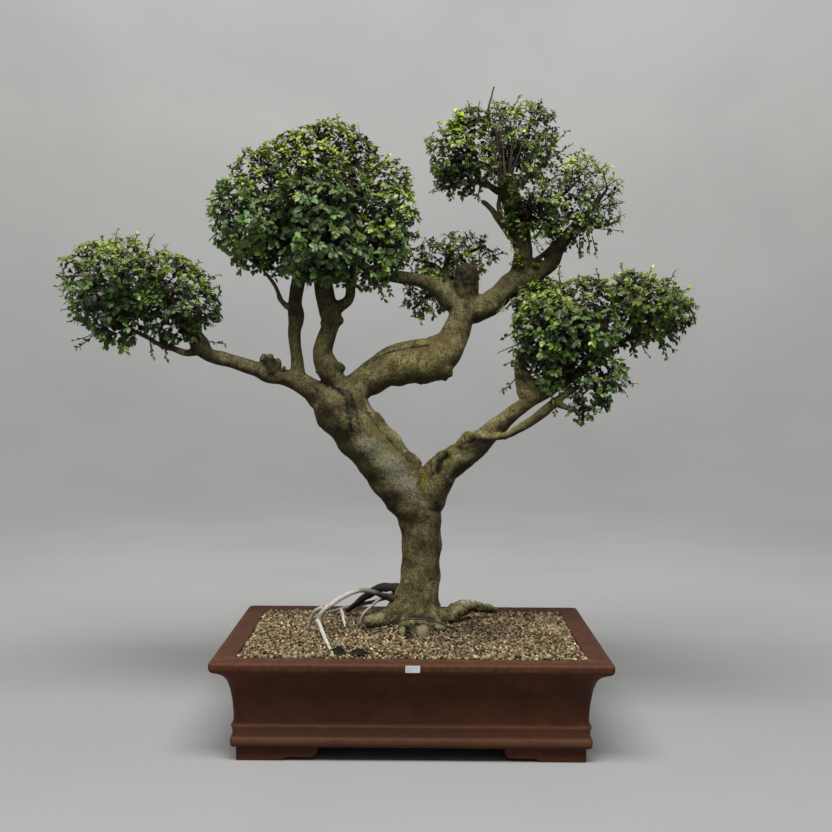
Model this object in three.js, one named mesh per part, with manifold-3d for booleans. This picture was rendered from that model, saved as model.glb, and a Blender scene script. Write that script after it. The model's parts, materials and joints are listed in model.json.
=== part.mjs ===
// A chinese elm bonsai in its rectangular stoneware tray.
// Millimetres, +Z up, +Y away from the viewer. The geometry is laid out about
// the middle of the tray at ground level; the finished group is shifted so that
// the origin is the middle of the underside of the whole object's box.
import * as THREE from 'three';
import { mergeVertices } from 'three/addons/utils/BufferGeometryUtils.js';
import Module from 'manifold-3d';

const wasm = await Module();
wasm.setup();

// ---------------------------------------------------------------- dimensions
const POT_LENGTH = 600;        // over the lip, along X
const POT_DEPTH = 420;         // over the lip, along Y
const POT_HEIGHT = 156;        // ground to the top of the lip
const LIP_WIDTH = 35;          // outer edge of the lip to the inner edge
const BASE_Z = 22.5;           // underside of the tray above the ground
const FLOOR_Z = 36;            // top of the tray's floor
const FOOT_INSET = 36.5;       // outer edge of the lip to the foot, in plan
const FOOT_THICK = 24;
const DRAIN_X = 125;           // drainage holes, left and right of the middle
const DRAIN_R = 18;
const WIRE_HOLE = { x: 78, y: -16, r: 5.4 };
const SOIL_Z = 154;            // gravel level at the rim
const MOUND_H = 13;            // how much the gravel rises at the trunk
const GAP = 0.45;              // clearance kept between neighbouring solids
const TAG = { w: 21.6, h: 10.4, t: 0.7, x: 1.6, z: 149.2 };
const TIE_WIRE_R = 1.5;
const CLIP_WIRE_R = 1.0;
const MESH_SIDE = 58;
const MESH_T = 1.6;

// ------------------------------------------------------------------- helpers
function toSolid(geometry) {
  const g = geometry.clone();
  for (const name of Object.keys(g.attributes)) if (name !== 'position') g.deleteAttribute(name);
  const m = mergeVertices(g, 1e-4);
  return new wasm.Manifold(new wasm.Mesh({
    numProp: 3,
    vertProperties: new Float32Array(m.attributes.position.array),
    triVerts: new Uint32Array(m.index.array),
  }));
}

function toGeometry(solid) {
  const mesh = solid.getMesh();
  const g = new THREE.BufferGeometry();
  const p = new Float32Array(mesh.numVert * 3);
  for (let i = 0; i < mesh.numVert; i++)
    for (let k = 0; k < 3; k++) p[i * 3 + k] = mesh.vertProperties[i * mesh.numProp + k];
  g.setAttribute('position', new THREE.BufferAttribute(p, 3));
  g.setIndex(new THREE.BufferAttribute(new Uint32Array(mesh.triVerts), 1));
  g.computeVertexNormals();
  return g;
}

const joinAll = (list) => list.reduce((a, b) => a.add(b));

// Closed surface through a list of rings that all have the same point count.
// A ring is an array of Vector3; the two ends are closed with fans.
function skin(rings, capStart, capEnd) {
  const n = rings[0].length;
  const pos = [];
  for (const ring of rings) for (const p of ring) pos.push(p.x, p.y, p.z);
  const a = rings.length * n;
  pos.push(capStart.x, capStart.y, capStart.z, capEnd.x, capEnd.y, capEnd.z);
  const idx = [];
  for (let i = 0; i < rings.length - 1; i++)
    for (let j = 0; j < n; j++) {
      const k = (j + 1) % n;
      const p = i * n + j, q = i * n + k, r = (i + 1) * n + j, s = (i + 1) * n + k;
      if ((i + j) % 2) idx.push(p, q, s, p, s, r);
      else idx.push(p, q, r, q, s, r);
    }
  for (let j = 0; j < n; j++) {
    const k = (j + 1) % n;
    idx.push(a, k, j);
    idx.push(a + 1, (rings.length - 1) * n + j, (rings.length - 1) * n + k);
  }
  let volume = 0;
  for (let i = 0; i < idx.length; i += 3) {
    const [A, B, C] = [idx[i], idx[i + 1], idx[i + 2]].map((q) => new THREE.Vector3(pos[q * 3], pos[q * 3 + 1], pos[q * 3 + 2]));
    volume += A.dot(B.cross(C)) / 6;
  }
  if (volume < 0) for (let i = 0; i < idx.length; i += 3) [idx[i], idx[i + 1]] = [idx[i + 1], idx[i]];
  const g = new THREE.BufferGeometry();
  g.setAttribute('position', new THREE.BufferAttribute(new Float32Array(pos), 3));
  g.setIndex(idx);
  return g;
}

// A limb: a tapering, slightly uneven tube along a smooth curve.
// points are [x, y, z, radius]; flat is the depth radius over the width radius.
function limb(points, { sides = 8, steps = 1, flat = 0.9, grow = 0, seed = 0, uneven = 0.05 } = {}) {
  const curve = new THREE.CatmullRomCurve3(points.map((p) => new THREE.Vector3(p[0], p[1], p[2])), false, 'centripetal');
  const n = (points.length - 1) * steps;
  const full = 1 / Math.sqrt(Math.sin((2 * Math.PI) / sides) / ((2 * Math.PI) / sides));   // same section area as a round bar
  const rings = [];
  for (let i = 0; i <= n; i++) {
    const t = i / n;
    const c = curve.getPoint(t);
    const tan = curve.getTangent(t).normalize();
    const f = t * (points.length - 1), lo = Math.min(Math.floor(f), points.length - 2);
    const r = points[lo][3] + (points[lo + 1][3] - points[lo][3]) * (f - lo);
    const depth = new THREE.Vector3(0, 1, 0).addScaledVector(tan, -tan.y).normalize();
    const side = new THREE.Vector3().crossVectors(depth, tan).normalize();
    const ring = [];
    for (let j = 0; j < sides; j++) {
      const th = (j / sides) * Math.PI * 2 + 0.2;
      const u = 1 + uneven * (Math.sin(2 * th + i * 0.9 / steps + seed) * 0.6 + Math.sin(3 * th - i * 0.7 / steps + seed * 2.3) * 0.5);
      const rw = r * u * full + grow, rd = r * u * full * flat + grow;
      ring.push(new THREE.Vector3().copy(c)
        .addScaledVector(side, Math.cos(th) * rw)
        .addScaledVector(depth, Math.sin(th) * rd));
    }
    rings.push(ring);
  }
  const first = curve.getPoint(0).addScaledVector(curve.getTangent(0).normalize(), -(points[0][3] * 0.35 + grow));
  const last = curve.getPoint(1).addScaledVector(curve.getTangent(1).normalize(), points[points.length - 1][3] * 0.45 + grow);
  return skin(rings, first, last);
}

// A ring of the tray: a rounded rectangle, inset from the lip's outer edge.
function trayRing(inset, z, radius, cornerSteps = 3, onSides = 0) {
  const hx = POT_LENGTH / 2 - inset, hy = POT_DEPTH / 2 - inset;
  const corners = [];
  for (const [sx, sy, a0] of [[1, 1, 0], [-1, 1, 90], [-1, -1, 180], [1, -1, 270]])
    for (let k = 0; k <= cornerSteps; k++) {
      const a = THREE.MathUtils.degToRad(a0 + (90 * k) / cornerSteps);
      corners.push(new THREE.Vector3(sx * (hx - radius) + Math.cos(a) * radius, sy * (hy - radius) + Math.sin(a) * radius, z));
    }
  const ring = [];
  for (let i = 0; i < corners.length; i++) {
    ring.push(corners[i]);
    if (i % (cornerSteps + 1) === cornerSteps)
      for (let k = 1; k <= onSides; k++) ring.push(corners[i].clone().lerp(corners[(i + 1) % corners.length], k / (onSides + 1)));
  }
  return ring;
}

function box(w, d, h, x, y, z) {
  const g = new THREE.BoxGeometry(w, d, h);
  g.translate(x, y, z);
  return g;
}

function upright(radius, z0, z1, x, y, sides) {
  const g = new THREE.CylinderGeometry(radius, radius, z1 - z0, sides);
  g.rotateX(Math.PI / 2);
  g.translate(x, y, (z0 + z1) / 2);
  return g;
}

// Round bar bent along points, as an extruded section.
function bentWire(points, radius, sides, steps) {
  const curve = new THREE.CatmullRomCurve3(points.map((p) => new THREE.Vector3(...p)), false, 'centripetal');
  const section = new THREE.Shape();
  for (let i = 0; i < sides; i++) {
    const a = (i / sides) * Math.PI * 2;
    if (i === 0) section.moveTo(Math.cos(a) * radius, Math.sin(a) * radius);
    else section.lineTo(Math.cos(a) * radius, Math.sin(a) * radius);
  }
  section.closePath();
  return new THREE.ExtrudeGeometry(section, { steps, extrudePath: curve, bevelEnabled: false, curveSegments: 1 });
}

// ----------------------------------------------------------------------- pot
// [inset, z, corner radius] from the underside, up the outside, over the lip
// and down the inside.
const TRAY_PROFILE = [
  [32.0, BASE_Z, 6], [29.4, 24.2, 6], [27.8, 28, 7], [27.4, 32.4, 7], [28.4, 35.8, 7], [30.3, 37.2, 8],
  [30.7, 44.5, 9], [29.7, 51.2, 9], [29.1, 54.4, 9], [31.0, 56.4, 14], [31.3, 61, 18], [30.4, 78, 19],
  [28.4, 95, 20], [25.8, 110, 20], [22.3, 121.5, 18], [17.5, 130, 15], [11.5, 135.4, 11], [5.0, 139.2, 8],
  [1.6, 142, 6.5], [0.2, 146, 6], [0.2, 152.4, 6], [1.4, 154.7, 6], [7.6, POT_HEIGHT, 6],
  [LIP_WIDTH - 1, POT_HEIGHT, 6], [LIP_WIDTH + 0.4, 154.6, 6], [36.4, 148, 7], [38.2, 112, 9],
  [40.6, 62, 12], [44.5, 43, 14], [54, FLOOR_Z, 17],
];
const potRings = TRAY_PROFILE.map(([s, z, r]) => trayRing(s, z, r));
let pot = toSolid(skin(potRings, new THREE.Vector3(0, 0, BASE_Z), new THREE.Vector3(0, 0, FLOOR_Z)));

// One leg of a stepped foot seen square on: full height at the corner, then a
// step up, then a rounded end. Extruded through the foot's thickness.
function footLeg(contact, reach) {
  const s = new THREE.Shape();
  s.moveTo(0, 25);
  s.lineTo(0, 2);
  s.lineTo(1.6, 0);
  s.lineTo(contact, 0);
  s.lineTo(contact + 5, 1.6);
  s.lineTo(contact + 9, 4.6);
  s.lineTo(reach - 8, 4.9);
  s.lineTo(reach - 3, 7.4);
  s.lineTo(reach, 13);
  s.lineTo(reach + 1.5, 25);
  s.closePath();
  return new THREE.ExtrudeGeometry(s, { depth: FOOT_THICK, bevelEnabled: false, curveSegments: 1 });
}
const FX = POT_LENGTH / 2 - FOOT_INSET, FY = POT_DEPTH / 2 - FOOT_INSET;
for (const sx of [-1, 1])
  for (const sy of [-1, 1]) {
    // legs run along +x and +y from the corner; negative scales turn the
    // drawing for the other three corners
    for (const [contact, reach, along] of [[66, 122, 'x'], [56, 100, 'y']]) {
      const g = footLeg(contact, reach);
      g.rotateX(Math.PI / 2);
      g.translate(0, FOOT_THICK, 0);
      const p = g.attributes.position;
      for (let i = 0; i < p.count; i++) {
        let x = p.getX(i), y = p.getY(i);
        if (along === 'y') [x, y] = [y, x];
        p.setXYZ(i, sx * (FX - x), sy * (FY - y), p.getZ(i));
      }
      // a mirrored drawing has its faces turned: reverse their winding
      if ((along === 'y') !== (sx * sy < 0)) {
        for (let i = 0; i < p.count; i += 3) {
          const a = [p.getX(i), p.getY(i), p.getZ(i)];
          p.setXYZ(i, p.getX(i + 1), p.getY(i + 1), p.getZ(i + 1));
          p.setXYZ(i + 1, ...a);
        }
      }
      pot = pot.add(toSolid(g));
    }
  }
for (const sx of [-1, 1]) {
  pot = pot.subtract(toSolid(upright(DRAIN_R, BASE_Z - 5, FLOOR_Z + 5, sx * DRAIN_X, 0, 20)));
  pot = pot.subtract(toSolid(upright(WIRE_HOLE.r, BASE_Z - 5, FLOOR_Z + 5, sx * WIRE_HOLE.x, WIRE_HOLE.y, 8)));
}

// ---------------------------------------------------------------------- tree
// Trunk, branches and roots of the one tree. Each limb starts inside the limb
// that carries it: [x, y, z, radius].
const LIMBS = {
  trunk: [[13.1, 50, 110.5, 39], [11.2, 50, 137.8, 42.4], [8.5, 49, 162, 44], [6.7, 47, 182.8, 41.4], [7.1, 46, 203.5, 37.5], [10.6, 45, 224.1, 34.4], [13.6, 44, 258.3, 32.7], [14, 43, 297.4, 33.4], [11.5, 41, 336.6, 35.6], [-2.1, 39, 370.4, 40.3], [-24.1, 37, 404.1, 44.4], [-48.5, 34, 437.8, 43.8], [-79.5, 31, 471.2, 42], [-106.2, 29, 502.9, 43.3], [-126.2, 28, 532.7, 44.9], [-138, 28, 552.6, 36.6]],
  left: [[-121, 26, 516.2, 29.9], [-150.7, 22, 541, 24.2], [-176.1, 18, 559.8, 18.2], [-199.8, 15, 571.4, 15.5], [-220.9, 12, 577, 13.7], [-240.4, 10, 581, 15.1], [-261.5, 8, 589.1, 12.5], [-289.2, 6, 597.9, 11.8], [-315.3, 5, 605.1, 11.5], [-336.6, 5, 611.5, 11.8], [-351.6, 6, 627, 15.4], [-362, 9, 646.7, 12.3], [-375.8, 12, 671.4, 8.6], [-395.9, 14, 696, 6.6], [-418.5, 12, 717, 4.9], [-445.4, 8, 736.1, 3.6]],
  left_low: [[-354.7, 5, 618.8, 9], [-370.1, 0, 613.7, 5.9], [-389.6, -8, 619.1, 4.9]],
  left_back: [[-365.9, 12, 651.7, 7.4], [-390.2, 34, 669, 6], [-417.5, 52, 688.1, 4.7]],
  left_knob: [[-233.1, 4, 583.5, 10.7], [-235.8, 0, 599.9, 10.1], [-239.6, -3, 608, 7.5]],
  sub1: [[-188.7, 20, 564, 14.9], [-192.3, 22, 582.2, 12.6], [-193.9, 24, 600.4, 10.4], [-197.8, 26, 633.5, 10.3], [-199, 27, 651.7, 10.9], [-196, 28, 673.3, 13.6], [-198.2, 28, 696.5, 11.6], [-195.7, 27, 717.9, 11.6], [-191.3, 24, 742.4, 10.9], [-192.4, 18, 771.4, 8.9], [-205, 12, 803.4, 6.9], [-221, 8, 835.4, 4.9]],
  sub1_b: [[-190.9, 20, 765.1, 7.6], [-185.4, 30, 792.5, 6.6], [-191.7, 42, 826.9, 5.3]],
  sub1_twig: [[-199.8, 28, 689.8, 7.3], [-212.7, 24, 693.7, 5], [-221.5, 22, 704.2, 4]],
  sub2: [[-119.4, 24, 544.5, 23.2], [-129.8, 18, 569.4, 18.8], [-141.8, 12, 589.9, 19.1], [-150.5, 8, 613.7, 17.1], [-145.4, 5, 636.6, 14.8], [-139, 4, 656.2, 14.7], [-136.5, 3, 672.5, 17], [-142.2, 2, 693.6, 16.4], [-147, 0, 713, 15.3], [-150.9, -4, 738.7, 13.7], [-150.6, -8, 769.1, 11], [-144.3, -8, 801.4, 8.8], [-138.2, -4, 837.5, 6.8], [-138.8, 2, 874, 5.2], [-146, 8, 910.6, 3.6]],
  sub2_stub: [[-133.3, 3, 684, 12.3], [-121.6, 0, 692, 10.1], [-109.2, -3, 700, 8.8], [-104.2, -6, 712.9, 8.1], [-104.9, -10, 732, 7.5], [-98.3, -14, 755.9, 5.5]],
  sub2_c: [[-150.8, -6, 762.8, 8.1], [-163.7, -26, 786.4, 6.8], [-173, -46, 812.5, 5.4]],
  sub2_e: [[-150.9, -4, 753.3, 7.5], [-163.1, 22, 785.2, 6.6], [-162.4, 50, 821.5, 5.4]],
  sub2_knob: [[-133.5, 12, 579.3, 9.9], [-123.6, 11, 588.4, 8.9], [-116.2, 10, 594.2, 6.6]],
  s_limb: [[-114.6, 28, 541.1, 28.3], [-89.9, 30, 562.9, 25.8], [-68.4, 33, 576.3, 27.7], [-43.6, 37, 590.7, 31.1], [-12, 42, 598.4, 34.5], [19.8, 47, 605.4, 36.9], [44.9, 51, 617.4, 32.8], [59.2, 54, 632.6, 27.9], [69.2, 57, 651.3, 23.3], [77.7, 61, 671.7, 22.6], [83.6, 66, 692.2, 24.7], [90.4, 70, 706, 20.3]],
  s_elbow: [[6.4, 47, 601.9, 36.1], [29.9, 51, 603, 35], [46.8, 53, 604, 31.3], [55.2, 54, 606.5, 25.3]],
  s_roll: [[-66.9, 33, 601.3, 5], [-53.8, 37, 613.9, 6], [-37.2, 41, 623.3, 6.4], [-15.6, 46, 630.3, 6], [9.5, 50, 635.5, 6], [33.1, 53, 637.5, 5.4]],
  stub: [[83.6, 66, 693.9, 22], [85.9, 66, 714.1, 21.3], [86.6, 65, 734.3, 20.6], [87.1, 64, 749.3, 20.6], [87.7, 64, 759.4, 18.9], [88, 64, 765.3, 13.8]],
  bare_left: [[76.8, 67, 697.3, 21.2], [58.1, 68, 709, 18.6], [42.8, 70, 723.4, 15.2], [24.2, 72, 734.1, 12.4], [0.4, 74, 741.9, 11.2], [-25.2, 76, 745.6, 10.9], [-49, 78, 748.6, 10], [-72.8, 78, 754.6, 8.5], [-96.5, 74, 767.6, 6.1], [-119.8, 66, 786.8, 4.7], [-132.8, 58, 809.3, 3.4]],
  right_limb: [[87, 66, 687.2, 22], [104, 69, 692.5, 23.7], [122.9, 73, 698.8, 21.4], [145.2, 79, 717.1, 19.4], [167.6, 85, 736.4, 20.8], [191.9, 90, 748, 17.8], [217.8, 94, 761.3, 14.1], [235.2, 97, 775.4, 12.7], [245.5, 99, 796.1, 11.3], [255.7, 100, 813.4, 11.3], [267.5, 100, 830.6, 8.6], [282.4, 98, 849.2, 5.1], [302.3, 95, 867.6, 3.8]],
  crown_up: [[171.1, 86, 738.2, 18.8], [181.3, 88, 763.9, 16.7], [185.1, 90, 788, 15.7], [181.2, 92, 810.3, 17.4], [176.8, 94, 832.6, 18.8], [169, 96, 860.1, 16.4], [162.1, 98, 885.8, 15.8], [157.6, 98, 909.6, 15.1], [154.8, 98, 930, 9.6], [149.3, 96, 956.8, 5.8], [140.4, 94, 981.7, 4.1], [128, 92, 1008.3, 2.7], [120.9, 91, 1031.6, 2]],
  crown_stub: [[167.4, 92, 818.7, 10.3], [150.8, 90, 835.3, 6.5], [136.9, 88, 852.8, 5.1], [125.5, 86, 867.7, 4.6]],
  crown_left1: [[158.6, 98, 890.9, 8.6], [140.9, 90, 894.6, 6.8], [123.1, 80, 903.1, 5.4]],
  crown_left2: [[158.4, 98, 914.7, 7.5], [140.1, 108, 930, 5.8], [119.9, 118, 943.6, 4.5]],
  crown_r1: [[158.3, 98, 924.9, 6.8], [171.2, 92, 949.4, 4.8], [182.1, 84, 974.9, 3.7]],
  crown_r2: [[165.4, 98, 899.5, 7.2], [182.9, 104, 915.9, 5], [202.3, 111, 930.1, 3.8]],
  crown_spike1: [[134.2, 93, 996.7, 3.4], [123.7, 92, 1020.1, 2.4], [125.2, 92, 1043.7, 1.7], [133.1, 92, 1070.7, 1.2]],
  cross: [[189.8, 89, 769.2, 5.8], [203.7, 92, 776.4, 4.6], [221.2, 96, 788.8, 4.6], [241.9, 99, 806.4, 5.8]],
  j_fork1: [[252.2, 99, 808.1, 7.2], [242.2, 104, 830.9, 5.5], [237.3, 108, 855.4, 4.1]],
  j_fork2: [[262.4, 100, 822, 6.5], [281.2, 88, 829.1, 4.4], [303.2, 76, 832.8, 3.4]],
  back: [[73.5, 72, 707.7, 13.6], [63.7, 88, 722.3, 10.9], [57.2, 104, 737.1, 8.6], [54, 120, 755.7, 6.9], [55.9, 134, 777.8, 5.2]],
  back_b: [[57.2, 102, 733.5, 7.6], [43.7, 116, 727.6, 6.2], [26.6, 130, 718.1, 4.9]],
  right: [[18, 38, 370.7, 33.6], [34.5, 33, 398.2, 30.1], [49.2, 27, 424, 27.3], [67.3, 21, 437.9, 24.9], [85.1, 14, 450.2, 22.8], [107.7, 6, 469, 19.8], [131.6, -3, 491.9, 16], [153.7, -10, 512, 13.7], [171.2, -14, 526.9, 11.7], [193.4, -18, 541, 9.7], [214.1, -20, 551.2, 8.4], [233.9, -16, 562.3, 6.8], [260.3, 0, 577.8, 5.2], [290.9, 20, 597, 4.1]],
  right_fork: [[86.1, 2, 477.4, 9], [98.8, -6, 481.2, 7.5], [114.7, -13, 479.6, 5.2], [133.8, -19, 480.2, 5.5], [152.9, -24, 485, 6.3], [171.7, -29, 495.9, 7.3], [192.2, -33, 509.1, 7.9], [207.7, -37, 521.4, 8.5], [223.4, -39, 535.3, 8], [237.8, -38, 546.6, 6.1]],
  right_knot: [[79.8, 8, 462.1, 13.2], [90.1, 1, 478.3, 11.8], [91.6, -2, 485, 9.2]],
  right_stub: [[193.5, -17, 537.7, 14], [185.7, -12, 555.4, 17.9], [179.6, -6, 571.6, 15.7], [175, 0, 589.5, 10.8], [175.4, 6, 607.6, 7.2]],
  right_up: [[204.7, -18, 545.9, 8.1], [215.2, -8, 573.5, 7.2], [219.7, 6, 606.2, 6.2], [217.7, 20, 639.4, 5.3]],
  right_up3: [[260, -14, 578.7, 6.5], [287.3, -2, 613.1, 5.6], [309.1, 14, 649.7, 4.6]],
  r_right: [[26.2, 46, 178.9, 14.5], [43.1, 44, 173.2, 14.5], [58.3, 43, 173.2, 15.2], [70.1, 46, 178.7, 14.2]],
  r_left: [[-7.8, 46, 196.6, 25.4], [-24.5, 38, 183.7, 21], [-40.9, 24, 174.7, 16], [-55.5, 12, 172.2, 13], [-68.5, 4, 172.5, 10.6], [-76.9, 0, 173.3, 7.9]],
  r_back: [[19.3, 60, 197.3, 20.4], [29.9, 82, 182.6, 17.2], [37.2, 104, 169.3, 13.1], [44.6, 124, 158.1, 8.8]],
  r_f1: [[-2.4, 26, 173.7, 15.1], [-12.8, 2, 168.9, 9.6], [-15.8, -18, 164.2, 8.2], [-16.6, -34, 159.7, 6.5]],
  r_f2: [[10.9, 26, 177.2, 18.4], [15.1, 0, 167.8, 13.5], [15.9, -20, 162.4, 14.4], [17.5, -38, 156.8, 11.6]],
  r_f3: [[29.3, 26, 180.7, 16.7], [37.4, 4, 169.6, 10.9], [44.7, -8, 164.9, 9.2], [51.1, -16, 161.8, 6.2]],
  r_dark: [[-18.1, 52, 215.8, 10.2], [-35.2, 56, 218.3, 8.5], [-52.4, 62, 217.9, 7.8], [-64.5, 70, 210.3, 7.5], [-78.6, 80, 199.6, 6.9], [-91.1, 90, 188.8, 5.9]],
  r_white: [[-11.3, 56, 197.9, 10.2], [-26.4, 46, 200.7, 8.1], [-41.2, 30, 207.2, 5.7], [-54.2, 14, 215.6, 4.5], [-69.6, 4, 222.6, 4], [-84.9, -4, 225.6, 3.9], [-99.3, -10, 223.3, 3.9], [-113.8, -14, 216.3, 4], [-130, -16, 206.2, 4.1], [-143, -16, 196.7, 4.1], [-150.5, -14, 186.3, 4.1], [-155.2, -12, 172.6, 3.8]],
  r_white2: [[-155.5, -13, 177.8, 3.9], [-149.5, -25, 167.3, 3.4], [-141.7, -50, 160.1, 3.1], [-131.9, -93, 156.8, 2.7], [-123.5, -141, 158.4, 2.3], [-117.4, -172, 157, 1.5]],
  r_white3: [[-147.2, -15, 198.9, 3.6], [-158.3, -10, 192.8, 3.3], [-164.6, -4, 182.4, 3], [-169.8, 0, 169.9, 2.8], [-172.5, 2, 159.4, 2.5]],
  r_grey: [[-21.6, 58, 211.2, 7.5], [-45.6, 66, 200, 4.1], [-63.2, 82, 190.6, 3.4], [-84.6, 98, 182.3, 3.1], [-104.3, 110, 175.9, 3], [-126.1, 122, 168.6, 2.6], [-146.2, 132, 160.3, 2.1]],
  r_short: [[-124.9, 118, 167.9, 3], [-119.5, 76, 162, 2.7], [-114.8, 44, 158.8, 2.5], [-111.7, 22, 157, 2]],
  r_thin: [[-35.1, 52, 212.2, 4.1], [-55.3, 50, 201.4, 2.7], [-69.5, 48, 188.9, 2.4], [-81.2, 46, 177.3, 2.4], [-87, 44, 165.8, 2.2], [-89.4, 42, 154.3, 1.9]],
  sub2_nub: [[-131.6, 3, 667.6, 10.5], [-121.6, 1, 668.4, 8.2], [-117.3, 0, 668.4, 5.9]],
  stub_b: [[77.9, 58, 727, 10.1], [74.4, 57, 741.9, 9.8], [75.2, 57, 752, 7.7]],
  r_f4: [[-15.5, 2, 169.7, 6.3], [-4.8, 0, 172.7, 6.6], [6, 0, 169.4, 7.3]],
  r_f5: [[-4.1, 20, 176.7, 10.8], [-6.4, 4, 168.5, 10.3], [-6.2, -12, 162.1, 10.2], [-5.3, -22, 155.3, 8.8]],
  r_fuzzy: [[58.3, 46, 176.6, 10.1], [71.9, 50, 181.8, 12.9], [82.3, 56, 184.9, 12.6], [92.9, 66, 185.8, 10.6], [109.2, 84, 182.2, 8.6], [125.8, 100, 176, 8], [138.8, 112, 171.3, 6.6], [148.1, 120, 166.7, 4.2]],
};
// Roots that spread under the gravel.
const BURIED = {
  b_left: [[-10, 48, 158, 26], [-44, 34, 138, 17], [-92, 18, 122, 12], [-150, 10, 106, 8], [-204, 14, 94, 4.5]],
  b_front: [[10, 36, 156, 24], [18, -14, 136, 15], [34, -62, 118, 10], [60, -108, 104, 6]],
  b_right: [[30, 50, 158, 24], [78, 40, 138, 15], [134, 26, 120, 10], [190, 20, 102, 5]],
  b_back: [[16, 60, 156, 24], [-6, 98, 134, 14], [-50, 128, 116, 8]],
  b_down: [[10, 50, 150, 34], [12, 46, 118, 24], [4, 36, 88, 13], [-12, 24, 66, 6]],
};
const THICK = { trunk: [12, 1, 0.86], s_limb: [10, 1, 0.84], left: [8, 1, 0.92], right: [9, 1, 0.88], right_limb: [9, 1, 0.9],
  crown_up: [7, 1, 0.92], sub1: [7, 1, 0.95], sub2: [8, 1, 0.92], stub: [8, 1, 0.95], bare_left: [7, 1, 0.95], r_left: [7, 1, 0.8],
  r_right: [7, 1, 0.9], right_stub: [7, 1, 0.8] };
function buildTree(grow) {
  const parts = [];
  let seed = 1;
  for (const [name, pts] of Object.entries({ ...LIMBS, ...BURIED })) {
    const most = Math.max(...pts.map((p) => p[3]));
    const [sides, steps, flat] = THICK[name] ?? [most > 12 ? 6 : most > 7.5 ? 5 : 4, 1, 0.95];
    parts.push(toSolid(limb(pts, { sides, steps, flat, grow, seed: seed++ })));
  }
  return joinAll(parts);
}
const tree = buildTree(0);
const treeGrown = buildTree(GAP);

// ------------------------------------------------------------------ tie wire
// One wire comes up through a hole in the floor, crosses the roots in front of
// the trunk and goes down through the other hole; its ends are bent flat.
const TIE_PATH = [
  [-WIRE_HOLE.x - 26, WIRE_HOLE.y, 20.2], [-WIRE_HOLE.x - 11, WIRE_HOLE.y, 20.2], [-WIRE_HOLE.x - 4, WIRE_HOLE.y, 20.2], [-WIRE_HOLE.x - 0.8, WIRE_HOLE.y, 22],
  [-WIRE_HOLE.x, WIRE_HOLE.y, 30], [-WIRE_HOLE.x, WIRE_HOLE.y, 60], [-WIRE_HOLE.x, -17, 110], [-79, -19, 148], [-74.5, -21.5, 162],
  [-66, -22, 165.2], [-55, -22.5, 165.2], [-40.5, -23.5, 168.4], [-30, -25, 174.4], [-19.5, -26, 180.1], [-8.8, -26, 182.8], [3, -26, 183.8],
  [14, -26, 183.2], [24, -26, 182], [34, -25.5, 180], [44, -25, 177.2], [54, -24, 172.8], [63, -22, 169], [71.5, -19.5, 164.6], [77, -17.5, 154],
  [WIRE_HOLE.x, -16.5, 140], [WIRE_HOLE.x, WIRE_HOLE.y, 110], [WIRE_HOLE.x, WIRE_HOLE.y, 60], [WIRE_HOLE.x, WIRE_HOLE.y, 30],
  [WIRE_HOLE.x + 0.8, WIRE_HOLE.y, 22], [WIRE_HOLE.x + 4, WIRE_HOLE.y, 20.2], [WIRE_HOLE.x + 11, WIRE_HOLE.y, 20.2], [WIRE_HOLE.x + 26, WIRE_HOLE.y, 20.2],
];
const tieWire = toSolid(bentWire(TIE_PATH, TIE_WIRE_R, 5, 50));
const tieWireGrown = toSolid(bentWire(TIE_PATH, TIE_WIRE_R + GAP, 5, 50));

// --------------------------------------------------- mesh over the drain holes
function drainMesh(x) {
  const z = FLOOR_Z + GAP + MESH_T / 2;
  let solid = toSolid(box(MESH_SIDE, MESH_SIDE, MESH_T, x, 0, z));
  const cells = 4, bar = 2.8, pitch = (MESH_SIDE - bar) / cells, open = pitch - bar;
  for (let i = 0; i < cells; i++)
    for (let j = 0; j < cells; j++)
      solid = solid.subtract(toSolid(box(open, open, MESH_T * 3,
        x + (i - (cells - 1) / 2) * pitch, (j - (cells - 1) / 2) * pitch, z)));
  return toGeometry(solid);
}
// Wire staple that holds the mesh: flat on the mesh, legs down through the
// drain hole, ends bent out under the tray.
function meshClip(x) {
  const top = FLOOR_Z + GAP + MESH_T + GAP + CLIP_WIRE_R, low = BASE_Z - GAP - CLIP_WIRE_R, a = 6.9, y = 6.9;
  return bentWire([
    [x - 27, y, low], [x - 17, y, low], [x - a - 3, y, low], [x - a, y, low + 3], [x - a, y, 30], [x - a, y, top - 2.5], [x - a + 2, y, top],
    [x, y, top], [x + a - 2, y, top], [x + a, y, top - 2.5], [x + a, y, 30], [x + a, y, low + 3], [x + a + 3, y, low], [x + 17, y, low], [x + 27, y, low],
  ], CLIP_WIRE_R, 5, 34);
}

// ---------------------------------------------------------------------- soil
const mound = (x, y) => MOUND_H * Math.exp(-((x - 4) ** 2) / (2 * 88 ** 2) - ((y - 42) ** 2) / (2 * 74 ** 2))
  + 2.6 * Math.exp(-((y + 176) ** 2) / (2 * 30 ** 2)) + 0.9 * Math.sin(x * 0.031 + 1) * Math.cos(y * 0.043);
const soilRings = [];
for (const [s, z, r] of [[54.6, FLOOR_Z + GAP, 17], [45.1, 43.4, 14], [41.2, 62, 12], [38.8, 112, 9], [37.0, 148, 7], [36.2, 152.4, 6.5]])
  soilRings.push(trayRing(s, z, r, 2, 3));
for (const f of [0.975, 0.88, 0.7, 0.5, 0.3, 0.14]) {
  // the inner rings drift from the rectangle of the rim towards an oval
  soilRings.push(trayRing(36.2, 0, 6.5, 2, 3).map((p) => {
    const e = f * (1 - (1 - f) * 0.2 * (Math.abs(p.x) > 200 && Math.abs(p.y) > 130 ? 1 : 0));
    const q = new THREE.Vector3(p.x * e, p.y * e, 0);
    q.z = SOIL_Z + mound(q.x, q.y);
    return q;
  }));
}
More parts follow.
